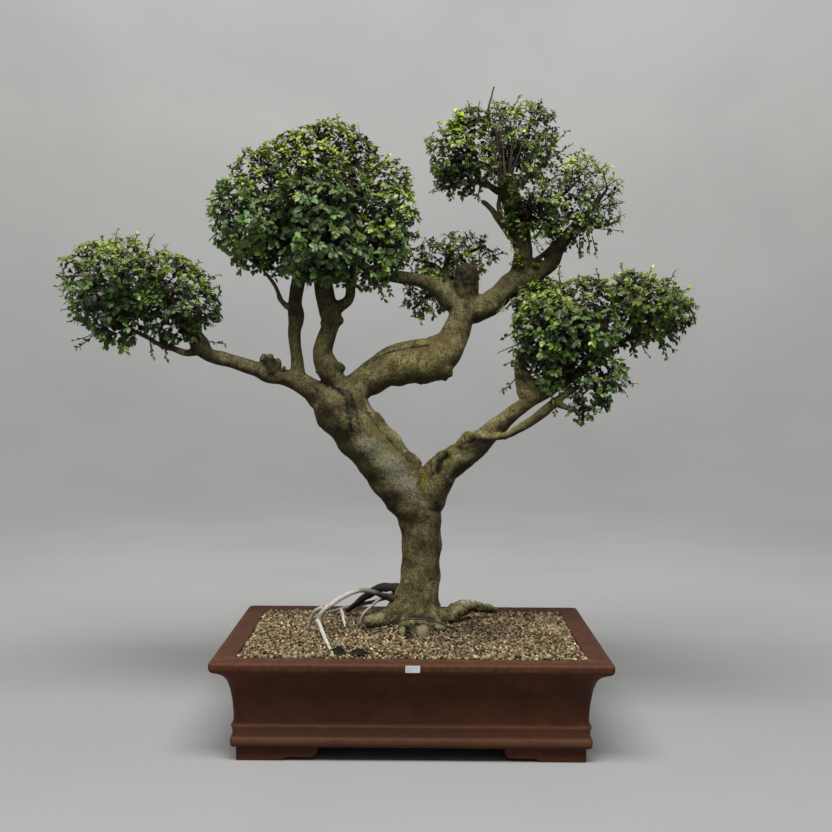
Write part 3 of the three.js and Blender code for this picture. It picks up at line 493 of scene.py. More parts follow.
def leaf_material(name):
    m, nt, p = material(name)
    a = attribute(nt, "leaf")
    b = split(nt, attribute(nt, "blade").outputs["Color"])   # along, across, wear
    v = coords(nt, 1.0)
    n1 = tex(nt, v, 300, 3, 0.6)
    col = mix(nt, ramp(nt, n1, [(0.35, 0.0), (0.65, 1.0)]), mix(nt, 1.0, a.outputs["Color"], (0.78, 0.80, 0.78), "MULTIPLY"), mix(nt, 1.0, a.outputs["Color"], (1.18, 1.14, 1.1), "MULTIPLY"))
    # paler midrib and side veins
    rib = ramp(nt, b[1], [(0.0, 1.0), (0.10, 0.0)])
    col = mix(nt, math_node(nt, "MULTIPLY", rib, 0.45), col, mix(nt, 1.0, col, (1.9, 1.6, 1.6), "MULTIPLY"))
    wave = math_node(nt, "SINE", math_node(nt, "MULTIPLY", math_node(nt, "SUBTRACT", b[0], math_node(nt, "MULTIPLY", b[1], 0.22)), 50.0))
    col = mix(nt, math_node(nt, "MULTIPLY", ramp(nt, wave, [(0.80, 0.0), (1.0, 1.0)]), 0.22), col, mix(nt, 1.0, col, (1.5, 1.4, 1.3), "MULTIPLY"))
    col = mix(nt, math_node(nt, "MULTIPLY", b[2], ramp(nt, n1, [(0.5, 0.0), (0.62, 1.0)])), col, (0.20, 0.13, 0.035))
    nt.links.new(col, p.inputs["Base Color"])
    p.inputs["Roughness"].default_value = 0.42
    p.inputs["Specular IOR Level"].default_value = 0.42
    p.inputs["Coat Weight"].default_value = 0.18
    p.inputs["Coat Roughness"].default_value = 0.22
    out = [n for n in nt.nodes if n.type == "OUTPUT_MATERIAL"][0]
    tr = nt.nodes.new("ShaderNodeBsdfTranslucent")
    nt.links.new(mix(nt, 1.0, col, (1.5, 1.7, 0.7), "MULTIPLY"), tr.inputs[0])
    ms = nt.nodes.new("ShaderNodeMixShader")
    ms.inputs[0].default_value = 0.14
    nt.links.new(p.outputs[0], ms.inputs[1])
    nt.links.new(tr.outputs[0], ms.inputs[2])
    nt.links.new(ms.outputs[0], out.inputs[0])
    bump(nt, math_node(nt, "ADD", math_node(nt, "MULTIPLY", wave, 0.3), n1), 0.35, 0.0006, p)
    return m


def gravel_material():
    m, nt, p = material("gravel")
    a = attribute(nt, "grain")
    v = coords(nt, 1.0)
    n1 = tex(nt, v, 900, 3, 0.65)
    n2 = tex(nt, v, 60, 3, 0.6)
    col = mix(nt, ramp(nt, n1, [(0.32, 0.0), (0.66, 1.0)]), mix(nt, 1.0, a.outputs["Color"], (0.66, 0.63, 0.60), "MULTIPLY"), mix(nt, 1.0, a.outputs["Color"], (1.18, 1.15, 1.12), "MULTIPLY"))
    col = mix(nt, ramp(nt, n2, [(0.45, 0.0), (0.70, 0.35)]), col, mix(nt, 1.0, col, (0.66, 0.62, 0.58), "MULTIPLY"))
    nt.links.new(col, p.inputs["Base Color"])
    p.inputs["Roughness"].default_value = 0.85
    p.inputs["Specular IOR Level"].default_value = 0.3
    bump(nt, n1, 0.5, 0.0008, p)
    return m


def dry_material():
    m, nt, p = material("dry_leaf")
    v = coords(nt, 1.0)
    a = split(nt, attribute(nt, "rimmed").outputs["Color"])
    n1 = tex(nt, v, 260, 4, 0.6)
    col = ramp(nt, n1, [(0.34, (0.006, 0.006, 0.004)), (0.66, (0.034, 0.031, 0.018))])
    e = math_node(nt, "ADD", a[0], math_node(nt, "MULTIPLY", math_node(nt, "SUBTRACT", n1, 0.5), 0.8))
    # painted highlight: the raised far edge is pale
    col = mix(nt, ramp(nt, e, [(0.55, 0.0), (0.95, 1.0)]), col, mix(nt, n1, (0.10, 0.095, 0.055), (0.36, 0.35, 0.25)))
    nt.links.new(col, p.inputs["Base Color"])
    p.inputs["Roughness"].default_value = 0.85
    p.inputs["Specular IOR Level"].default_value = 0.15
    bump(nt, n1, 0.4, 0.0008, p)
    return m


def bed_material():
    m, nt, p = material("gravel_bed")
    v = coords(nt, 1.0)
    n1 = tex(nt, v, 330, 4, 0.7)
    h = split(nt, attribute(nt, "hole").outputs["Color"])
    col = ramp(nt, n1, [(0.35, (0.018, 0.013, 0.009)), (0.52, (0.055, 0.040, 0.026)), (0.66, (0.12, 0.088, 0.055))])
    # painted shade: the bed in the pit between the front roots is nearly black
    nt.links.new(mix(nt, h[0], col, (0.006, 0.005, 0.004)), p.inputs["Base Color"])
    p.inputs["Roughness"].default_value = 0.95
    bump(nt, n1, 0.8, 0.002, p)
    return m


def clay_material():
    m, nt, p = material("stoneware")
    v = coords(nt, 1.0)
    big = tex(nt, v, 7.0, 4, 0.55)
    mid = tex(nt, v, 42, 4, 0.6)
    fine = tex(nt, v, 700, 3, 0.6)
    streak = tex(nt, coords(nt, (22, 22, 3.2)), 1.0, 4, 0.6)
    base = ramp(nt, big, [(0.32, (0.059, 0.0176, 0.0070)), (0.50, (0.072, 0.0207, 0.0080)), (0.68, (0.092, 0.0250, 0.0092))])
    base = mix(nt, ramp(nt, mid, [(0.35, 0.0), (0.68, 0.5)]), base, mix(nt, 1.0, base, (0.72, 0.74, 0.80), "MULTIPLY"))
    base = mix(nt, ramp(nt, streak, [(0.48, 0.0), (0.70, 0.5)]), base, mix(nt, 1.0, base, (1.30, 1.14, 1.00), "MULTIPLY"))
    a = split(nt, attribute(nt, "wear").outputs["Color"])     # rubbed edge, soil dust, dark
    rub = math_node(nt, "MULTIPLY", a[0], ramp(nt, mid, [(0.30, 0.55), (0.62, 1.0)]))
    base = mix(nt, rub, base, (0.152, 0.065, 0.028))
    dust = math_node(nt, "MULTIPLY", a[1], ramp(nt, tex(nt, v, 120, 4, 0.65), [(0.40, 0.0), (0.62, 1.0)]))
    base = mix(nt, dust, base, (0.190, 0.091, 0.038))
    # painted shade under the lip and near the ground, and a darker tone elsewhere, from the third channel
    base = mix(nt, math_node(nt, "MULTIPLY", a[2], 0.75), base, mix(nt, 1.0, base, (0.42, 0.50, 0.60), "MULTIPLY"))
    spots = tex(nt, coords(nt, (240, 240, 240)), 1.0, 2, 0.5)
    base = mix(nt, ramp(nt, spots, [(0.70, 0.0), (0.76, 0.7)]), base, (0.028, 0.014, 0.010))
    nt.links.new(base, p.inputs["Base Color"])
    rough = ramp(nt, mid, [(0.3, 0.60), (0.7, 0.76)])
    nt.links.new(rough, p.inputs["Roughness"])
    p.inputs["Specular IOR Level"].default_value = 0.20
    h = math_node(nt, "ADD", math_node(nt, "MULTIPLY", fine, 0.35), mid)
    bump(nt, h, 0.22, 0.0012, p)
    return m


def simple_material(name, dark, light, scale, roughness, metallic=0.0, bump_mm=0.2):
    m, nt, p = material(name)
    v = coords(nt, 1.0)
    n1 = tex(nt, v, scale, 4, 0.6)
    nt.links.new(ramp(nt, n1, [(0.34, dark), (0.66, light)]), p.inputs["Base Color"])
    nt.links.new(ramp(nt, n1, [(0.3, max(0.0, roughness - 0.06)), (0.7, min(1.0, roughness + 0.06))]), p.inputs["Roughness"])
    p.inputs["Metallic"].default_value = metallic
    bump(nt, n1, 0.3, bump_mm * 0.001, p)
    return m


BARK = bark_material()
ROOT = root_material()
GRAVEL = gravel_material()
BED = bed_material()
CLAY = clay_material()
LEAF = leaf_material("leaves")
WIRE = simple_material("tie_wire", (0.022, 0.017, 0.013), (0.075, 0.058, 0.045), 300, 0.42, 0.5)
MESH = simple_material("drain_mesh", (0.012, 0.028, 0.018), (0.03, 0.055, 0.035), 200, 0.6)
CLIP = simple_material("clip_wire", (0.38, 0.38, 0.37), (0.55, 0.55, 0.54), 400, 0.38, 0.9)
TAG = simple_material("tag", (0.50, 0.545, 0.55), (0.66, 0.70, 0.705), 160, 0.42)
DRY = dry_material()
DRYTWIG = simple_material("dry_twig", (0.028, 0.018, 0.011), (0.10, 0.070, 0.045), 260, 0.8, 0.0, 0.4)

# -------------------------------------------------------------------- tables
LIMBS = {
    "trunk": [[13.1, 50, 110.5, 39], [11.2, 50, 137.8, 42.4], [8.5, 49, 162, 44], [6.7, 47, 182.8, 41.4], [7.1, 46, 203.5, 37.5], [10.6, 45, 224.1, 34.4], [13.6, 44, 258.3, 32.7], [14, 43, 297.4, 33.4], [11.5, 41, 336.6, 35.6], [-2.1, 39, 370.4, 40.3], [-24.1, 37, 404.1, 44.4], [-48.5, 34, 437.8, 43.8], [-79.5, 31, 471.2, 42], [-106.2, 29, 502.9, 43.3], [-126.2, 28, 532.7, 44.9], [-138, 28, 552.6, 36.6]],
    "left": [[-121, 26, 516.2, 29.9], [-150.7, 22, 541, 24.2], [-176.1, 18, 559.8, 18.2], [-199.8, 15, 571.4, 15.5], [-220.9, 12, 577, 13.7], [-240.4, 10, 581, 15.1], [-261.5, 8, 589.1, 12.5], [-289.2, 6, 597.9, 11.8], [-315.3, 5, 605.1, 11.5], [-336.6, 5, 611.5, 11.8], [-351.6, 6, 627, 15.4], [-362, 9, 646.7, 12.3], [-375.8, 12, 671.4, 8.6], [-395.9, 14, 696, 6.6], [-418.5, 12, 717, 4.9], [-445.4, 8, 736.1, 3.6], [-469.4, 6, 752.1, 2.6]],
    "left_low": [[-354.7, 5, 618.8, 9], [-370.1, 0, 613.7, 5.9], [-389.6, -8, 619.1, 4.9], [-412.7, -14, 626.9, 3.9], [-434.5, -18, 638.8, 3.2], [-463.1, -20, 653.1, 2.6], [-496.5, -16, 669.2, 1.9]],
    "left_back": [[-365.9, 12, 651.7, 7.4], [-390.2, 34, 669, 6], [-417.5, 52, 688.1, 4.7], [-450.6, 64, 703.7, 3.5], [-489.3, 70, 714, 2.5]],
    "left_front": [[-368.6, 9, 659.8, 6.9], [-386.2, -16, 674.8, 5.5], [-410.4, -38, 687.9, 4.2], [-442.1, -52, 696.3, 3], [-478.6, -58, 700.4, 2.1]],
    "left_right": [[-358.9, 10, 646.8, 7.4], [-355.1, 16, 668.4, 5.6], [-357.9, 22, 695.1, 4.3], [-371.9, 26, 718.3, 3]],
    "left_knob": [[-233.1, 4, 583.5, 10.7], [-235.8, 0, 599.9, 10.1], [-239.6, -3, 608, 7.5]],
    "sub1": [[-188.7, 20, 564, 14.9], [-192.3, 22, 582.2, 12.6], [-193.9, 24, 600.4, 10.4], [-197.8, 26, 633.5, 10.3], [-199, 27, 651.7, 10.9], [-196, 28, 673.3, 13.6], [-198.2, 28, 696.5, 11.6], [-195.7, 27, 717.9, 11.6], [-191.3, 24, 742.4, 10.9], [-192.4, 18, 771.4, 8.9], [-205, 12, 803.4, 6.9], [-221, 8, 835.4, 4.9], [-240.4, 6, 864.2, 3.3]],
    "sub1_b": [[-190.9, 20, 765.1, 7.6], [-185.4, 30, 792.5, 6.6], [-191.7, 42, 826.9, 5.3], [-209.4, 50, 862.8, 4], [-223.3, 54, 891.6, 2.8]],
    "sub1_c": [[-194.2, 20, 761.8, 7.3], [-212.6, 8, 773.5, 5.9], [-238.9, -4, 785.1, 4.6], [-267, -12, 796.9, 3.2], [-289.1, -16, 809.2, 2.3]],
    "sub1_twig": [[-199.8, 28, 689.8, 7.3], [-212.7, 24, 693.7, 5], [-221.5, 22, 704.2, 4], [-227.2, 21, 718.9, 3.3], [-236.2, 20, 733.6, 3], [-246, 19, 747.4, 2]],
    "sub2": [[-119.4, 24, 544.5, 23.2], [-129.8, 18, 569.4, 18.8], [-141.8, 12, 589.9, 19.1], [-150.5, 8, 613.7, 17.1], [-145.4, 5, 636.6, 14.8], [-139, 4, 656.2, 14.7], [-136.5, 3, 672.5, 17], [-142.2, 2, 693.6, 16.4], [-147, 0, 713, 15.3], [-150.9, -4, 738.7, 13.7], [-150.6, -8, 769.1, 11], [-144.3, -8, 801.4, 8.8], [-138.2, -4, 837.5, 6.8], [-138.8, 2, 874, 5.2], [-146, 8, 910.6, 3.6], [-153, 12, 943.7, 2.5]],
    "sub2_stub": [[-133.3, 3, 684, 12.3], [-121.6, 0, 692, 10.1], [-109.2, -3, 700, 8.8], [-104.2, -6, 712.9, 8.1], [-104.9, -10, 732, 7.5], [-98.3, -14, 755.9, 5.5], [-85.3, -18, 784.6, 4.2], [-72.5, -18, 810.3, 2.9]],
    "sub2_c": [[-150.8, -6, 762.8, 8.1], [-163.7, -26, 786.4, 6.8], [-173, -46, 812.5, 5.4], [-178, -60, 838.9, 3.8], [-180.6, -66, 863, 2.5]],
    "sub2_d": [[-147.5, -8, 788.5, 7.5], [-125.8, 6, 816.2, 6.2], [-104.1, 24, 848.1, 4.9], [-88.6, 40, 880.2, 3.7], [-82.5, 50, 908.4, 2.5]],
    "sub2_e": [[-150.9, -4, 753.3, 7.5], [-163.1, 22, 785.2, 6.6], [-162.4, 50, 821.5, 5.4], [-147.6, 72, 858, 4.1], [-131.7, 86, 883.8, 2.7]],
    "sub2_f": [[-141.1, -8, 811.1, 6.8], [-119.7, -36, 830, 5.4], [-102.5, -58, 846, 4.1], [-95.5, -72, 865.7, 2.8]],
    "sub2_knob": [[-133.5, 12, 579.3, 9.9], [-123.6, 11, 588.4, 8.9], [-116.2, 10, 594.2, 6.6]],
    "s_limb": [[-114.6, 28, 541.1, 28.3], [-89.9, 30, 562.9, 25.8], [-68.4, 33, 576.3, 27.7], [-43.6, 37, 590.7, 31.1], [-12, 42, 598.4, 34.5], [19.8, 47, 605.4, 36.9], [44.9, 51, 617.4, 32.8], [59.2, 54, 632.6, 27.9], [69.2, 57, 651.3, 23.3], [77.7, 61, 671.7, 22.6], [83.6, 66, 692.2, 24.7], [90.4, 70, 706, 20.3]],
    "s_elbow": [[6.4, 47, 601.9, 36.1], [29.9, 51, 603, 35], [46.8, 53, 604, 31.3], [55.2, 54, 606.5, 25.3]],
    "s_roll": [[-66.9, 33, 601.3, 5], [-53.8, 37, 613.9, 6], [-37.2, 41, 623.3, 6.4], [-15.6, 46, 630.3, 6], [9.5, 50, 635.5, 6], [33.1, 53, 637.5, 5.4]],
    "stub": [[83.6, 66, 693.9, 22], [85.9, 66, 714.1, 21.3], [86.6, 65, 734.3, 20.6], [87.1, 64, 749.3, 20.6], [87.7, 64, 759.4, 18.9], [88, 64, 765.3, 13.8]],
    "bare_left": [[76.8, 67, 697.3, 21.2], [58.1, 68, 709, 18.6], [42.8, 70, 723.4, 15.2], [24.2, 72, 734.1, 12.4], [0.4, 74, 741.9, 11.2], [-25.2, 76, 745.6, 10.9], [-49, 78, 748.6, 10], [-72.8, 78, 754.6, 8.5], [-96.5, 74, 767.6, 6.1], [-119.8, 66, 786.8, 4.7], [-132.8, 58, 809.3, 3.4]],
    "bare_left_b": [[-49, 78, 750.5, 6.8], [-65.7, 66, 770.4, 5.7], [-68.7, 54, 795.9, 4.7], [-58.6, 46, 825, 3.7], [-45.2, 42, 851.1, 2.5]],
    "right_limb": [[87, 66, 687.2, 22], [104, 69, 692.5, 23.7], [122.9, 73, 698.8, 21.4], [145.2, 79, 717.1, 19.4], [167.6, 85, 736.4, 20.8], [191.9, 90, 748, 17.8], [217.8, 94, 761.3, 14.1], [235.2, 97, 775.4, 12.7], [245.5, 99, 796.1, 11.3], [255.7, 100, 813.4, 11.3], [267.5, 100, 830.6, 8.6], [282.4, 98, 849.2, 5.1], [302.3, 95, 867.6, 3.8], [318.7, 92, 885.9, 2.7], [328.4, 90, 902.6, 2]],
    "crown_up": [[171.1, 86, 738.2, 18.8], [181.3, 88, 763.9, 16.7], [185.1, 90, 788, 15.7], [181.2, 92, 810.3, 17.4], [176.8, 94, 832.6, 18.8], [169, 96, 860.1, 16.4], [162.1, 98, 885.8, 15.8], [157.6, 98, 909.6, 15.1], [154.8, 98, 930, 9.6], [149.3, 96, 956.8, 5.8], [140.4, 94, 981.7, 4.1], [128, 92, 1008.3, 2.7], [120.9, 91, 1031.6, 2]],
    "crown_stub": [[167.4, 92, 818.7, 10.3], [150.8, 90, 835.3, 6.5], [136.9, 88, 852.8, 5.1], [125.5, 86, 867.7, 4.6], [113.5, 85, 875.9, 3.4]],
    "crown_thin": [[146.4, 89, 842, 5.5], [142.9, 90, 862.4, 3.8], [143.7, 92, 883.1, 3.4], [144.5, 94, 903.8, 2.7], [140.9, 95, 927.7, 2.1]],
    "crown_left1": [[158.6, 98, 890.9, 8.6], [140.9, 90, 894.6, 6.8], [123.1, 80, 903.1, 5.4], [104, 72, 906.6, 4.4], [83.5, 66, 905.5, 3.4], [61.5, 62, 899.7, 2.5], [43.1, 60, 890.9, 1.7]],
    "crown_left2": [[158.4, 98, 914.7, 7.5], [140.1, 108, 930, 5.8], [119.9, 118, 943.6, 4.5], [96, 126, 953.5, 3.5], [70.1, 132, 964.9, 2.3]],
    "crown_r1": [[158.3, 98, 924.9, 6.8], [171.2, 92, 949.4, 4.8], [182.1, 84, 974.9, 3.7], [191.5, 78, 998.9, 2.9], [197.6, 74, 1019.8, 2]],
    "crown_r2": [[165.4, 98, 899.5, 7.2], [182.9, 104, 915.9, 5], [202.3, 111, 930.1, 3.8], [220.1, 117, 945.8, 3.1], [232.4, 121, 968.9, 2.6], [246.1, 123, 995.2, 1.9]],
    "crown_f": [[163.6, 97, 894.2, 7.5], [156.6, 76, 914.4, 6.1], [144.8, 56, 937.5, 4.7], [140.2, 42, 961.2, 3.3], [142.7, 34, 985.9, 2.1]],
    "crown_b": [[158.5, 99, 914.9, 7.2], [166.7, 120, 946, 5.9], [171.4, 138, 980.5, 4.5], [168.6, 150, 1010.7, 3.2]],
    "crown_spike1": [[134.2, 93, 996.7, 3.4], [123.7, 92, 1020.1, 2.4], [125.2, 92, 1043.7, 1.7], [133.1, 92, 1070.7, 1.2]],
    "cross": [[189.8, 89, 769.2, 5.8], [203.7, 92, 776.4, 4.6], [221.2, 96, 788.8, 4.6], [241.9, 99, 806.4, 5.8]],
    "j_fork1": [[252.2, 99, 808.1, 7.2], [242.2, 104, 830.9, 5.5], [237.3, 108, 855.4, 4.1], [246.1, 112, 880, 3.3], [263.5, 115, 901.1, 2.6], [284.1, 116, 922, 1.9]],
    "j_fork2": [[262.4, 100, 822, 6.5], [281.2, 88, 829.1, 4.4], [303.2, 76, 832.8, 3.4], [325.6, 68, 836.2, 2.5], [343.3, 64, 841.6, 1.7]],
    "j_fork3": [[242.2, 103, 823.9, 6.2], [223.1, 88, 842.3, 5.1], [211.3, 76, 864.3, 4.1], [213.6, 68, 886.6, 3], [223.1, 64, 906.1, 2.2]],
    "j_fork4": [[272.6, 100, 830.6, 5.8], [291.9, 116, 853.4, 4.8], [310.7, 128, 875.9, 3.8], [321.9, 134, 897.6, 2.6]],
    "back": [[73.5, 72, 707.7, 13.6], [63.7, 88, 722.3, 10.9], [57.2, 104, 737.1, 8.6], [54, 120, 755.7, 6.9], [55.9, 134, 777.8, 5.2], [61.3, 144, 799.8, 3.5]],
    "back_b": [[57.2, 102, 733.5, 7.6], [43.7, 116, 727.6, 6.2], [26.6, 130, 718.1, 4.9], [9.2, 140, 706.4, 3.5], [-4.8, 146, 696.1, 2.3]],
    "back_c": [[54, 117, 750.2, 6.2], [40.2, 132, 767.1, 4.9], [19.3, 146, 778.7, 3.7], [-1.9, 154, 782.9, 2.5]],
    "back_d": [[55.9, 128, 766.8, 5.2], [78.8, 140, 785.5, 4.2], [103.7, 150, 800.7, 3.2], [125.2, 156, 808.5, 2.1]],
    "right": [[18, 38, 370.7, 33.6], [34.5, 33, 398.2, 30.1], [49.2, 27, 424, 27.3], [67.3, 21, 437.9, 24.9], [85.1, 14, 450.2, 22.8], [107.7, 6, 469, 19.8], [131.6, -3, 491.9, 16], [153.7, -10, 512, 13.7], [171.2, -14, 526.9, 11.7], [193.4, -18, 541, 9.7], [214.1, -20, 551.2, 8.4], [233.9, -16, 562.3, 6.8], [260.3, 0, 577.8, 5.2], [290.9, 20, 597, 4.1], [326.3, 36, 624, 3.3], [364.1, 44, 651.1, 2.8], [400.9, 46, 678.1, 2.3], [427.4, 46, 695, 1.8]],
    "right_fork": [[86.1, 2, 477.4, 9], [98.8, -6, 481.2, 7.5], [114.7, -13, 479.6, 5.2], [133.8, -19, 480.2, 5.5], [152.9, -24, 485, 6.3], [171.7, -29, 495.9, 7.3], [192.2, -33, 509.1, 7.9], [207.7, -37, 521.4, 8.5], [223.4, -39, 535.3, 8], [237.8, -38, 546.6, 6.1], [257.7, -32, 559.4, 4.2], [281.6, -22, 570.8, 2.9], [305.4, -14, 580.6, 2.3], [325.5, -10, 587.3, 1.8]],
    "right_droop": [[227.9, -41, 536.9, 6.4], [243.4, -46, 530.8, 4.8], [257.2, -50, 526.2, 3.8], [265, -52, 516.8, 2.5]],
    "right_knot": [[79.8, 8, 462.1, 13.2], [90.1, 1, 478.3, 11.8], [91.6, -2, 485, 9.2]],
    "right_stub": [[193.5, -17, 537.7, 14], [185.7, -12, 555.4, 17.9], [179.6, -6, 571.6, 15.7], [175, 0, 589.5, 10.8], [175.4, 6, 607.6, 7.2]],
    "right_up": [[204.7, -18, 545.9, 8.1], [215.2, -8, 573.5, 7.2], [219.7, 6, 606.2, 6.2], [217.7, 20, 639.4, 5.3], [212.2, 34, 673, 4.3], [209.9, 46, 703.6, 3]],
    "right_up2": [[223.8, -20, 555.8, 7.5], [238.9, -26, 586.7, 6.5], [251.1, -28, 618.9, 5.5], [260.6, -26, 654.4, 4.2], [264, -22, 690, 2.9]],
    "right_up3": [[260, -14, 578.7, 6.5], [287.3, -2, 613.1, 5.6], [309.1, 14, 649.7, 4.6], [324.1, 28, 686.7, 3.3], [331.8, 36, 713.7, 2.3]],
    "right_back": [[236.8, -19, 564, 6.8], [257.4, 16, 590.1, 5.9], [274.7, 48, 620.5, 5], [288.8, 78, 651.8, 4.1], [295.1, 100, 683.5, 2.9]],
    "right_front": [[263.5, -12, 580.3, 6.2], [291.9, -36, 606.2, 4.8], [313.8, -56, 631.5, 3.5], [330.4, -68, 653.3, 2.4]],
    "right_tip2": [[325, 9, 626.7, 4.9], [350.8, -8, 668.7, 3.9], [370.8, -20, 697.3, 2.9], [382.2, -26, 716.3, 1.9]],
    "right_tip3": [[328.4, 10, 628.4, 4.9], [369.3, 36, 650.9, 3.7], [406, 54, 671.9, 2.7], [431.2, 62, 679.1, 1.9]],
    "r_right": [[26.2, 46, 178.9, 14.5], [43.1, 44, 173.2, 14.5], [58.3, 43, 173.2, 15.2], [70.1, 46, 178.7, 14.2]],
    "r_left": [[-7.8, 46, 196.6, 25.4], [-24.5, 38, 183.7, 21], [-40.9, 24, 174.7, 16], [-55.5, 12, 172.2, 13], [-68.5, 4, 172.5, 10.6], [-76.9, 0, 173.3, 7.9]],
    "r_back": [[19.3, 60, 197.3, 20.4], [29.9, 82, 182.6, 17.2], [37.2, 104, 169.3, 13.1], [44.6, 124, 158.1, 8.8]],
    "r_f1": [[-2.4, 26, 173.7, 15.1], [-12.8, 2, 168.9, 9.6], [-15.8, -18, 164.2, 8.2], [-16.6, -34, 159.7, 6.5]],
    "r_f2": [[10.9, 26, 177.2, 18.4], [15.1, 0, 167.8, 13.5], [15.9, -20, 162.4, 14.4], [17.5, -38, 156.8, 11.6]],
    "r_f3": [[29.3, 26, 180.7, 16.7], [37.4, 4, 169.6, 10.9], [44.7, -8, 164.9, 9.2], [51.1, -16, 161.8, 6.2]],
    "r_dark": [[-18.1, 52, 215.8, 10.2], [-35.2, 56, 218.3, 8.5], [-52.4, 62, 217.9, 7.8], [-64.5, 70, 210.3, 7.5], [-78.6, 80, 199.6, 6.9], [-91.1, 90, 188.8, 5.9], [-103.9, 102, 177.5, 4.5], [-114.9, 112, 166.6, 3.8]],
    "r_white": [[-11.3, 56, 197.9, 10.2], [-26.4, 46, 200.7, 8.1], [-41.2, 30, 207.2, 5.7], [-54.2, 14, 215.6, 4.5], [-69.6, 4, 222.6, 4], [-84.9, -4, 225.6, 3.9], [-99.3, -10, 223.3, 3.9], [-113.8, -14, 216.3, 4], [-130, -16, 206.2, 4.1], [-143, -16, 196.7, 4.1], [-150.5, -14, 186.3, 4.1], [-155.2, -12, 172.6, 3.8]],
    "r_white2": [[-155.5, -13, 177.8, 3.9], [-149.5, -25, 167.3, 3.4], [-141.7, -50, 160.1, 3.1], [-131.9, -93, 156.8, 2.7], [-123.5, -141, 158.4, 2.3], [-117.4, -172, 157, 1.5]],
    "r_white3": [[-147.2, -15, 198.9, 3.6], [-158.3, -10, 192.8, 3.3], [-164.6, -4, 182.4, 3], [-169.8, 0, 169.9, 2.8], [-172.5, 2, 159.4, 2.5]],
    "r_grey": [[-21.6, 58, 211.2, 7.5], [-45.6, 66, 200, 4.1], [-63.2, 82, 190.6, 3.4], [-84.6, 98, 182.3, 3.1], [-104.3, 110, 175.9, 3], [-126.1, 122, 168.6, 2.6], [-146.2, 132, 160.3, 2.1]],
    "r_short": [[-124.9, 118, 167.9, 3], [-119.5, 76, 162, 2.7], [-114.8, 44, 158.8, 2.5], [-111.7, 22, 157, 2]],
    "r_thin": [[-35.1, 52, 212.2, 4.1], [-55.3, 50, 201.4, 2.7], [-69.5, 48, 188.9, 2.4], [-81.2, 46, 177.3, 2.4], [-87, 44, 165.8, 2.2], [-89.4, 42, 154.3, 1.9]],
    "sub2_nub": [[-131.6, 3, 667.6, 10.5], [-121.6, 1, 668.4, 8.2], [-117.3, 0, 668.4, 5.9]],
    "stub_b": [[77.9, 58, 727, 10.1], [74.4, 57, 741.9, 9.8], [75.2, 57, 752, 7.7]],
    "r_f4": [[-15.5, 2, 169.7, 6.3], [-4.8, 0, 172.7, 6.6], [6, 0, 169.4, 7.3]],
    "r_f5": [[-4.1, 20, 176.7, 10.8], [-6.4, 4, 168.5, 10.3], [-6.2, -12, 162.1, 10.2], [-5.3, -22, 155.3, 8.8]],
    "r_fuzzy": [[58.3, 46, 176.6, 10.1], [71.9, 50, 181.8, 12.9], [82.3, 56, 184.9, 12.6], [92.9, 66, 185.8, 10.6], [109.2, 84, 182.2, 8.6], [125.8, 100, 176, 8], [138.8, 112, 171.3, 6.6], [148.1, 120, 166.7, 4.2]],
}
BURIED = {
    "b_left": [[-10, 48, 158, 26], [-44, 34, 138, 17], [-92, 18, 122, 12], [-150, 10, 106, 8], [-204, 14, 94, 4.5]],
    "b_front": [[10, 36, 156, 24], [18, -14, 136, 15], [34, -62, 118, 10], [60, -108, 104, 6]],
    "b_right": [[30, 50, 158, 24], [78, 40, 138, 15], [134, 26, 120, 10], [190, 20, 102, 5]],
    "b_back": [[16, 60, 156, 24], [-6, 98, 134, 14], [-50, 128, 116, 8]],
}
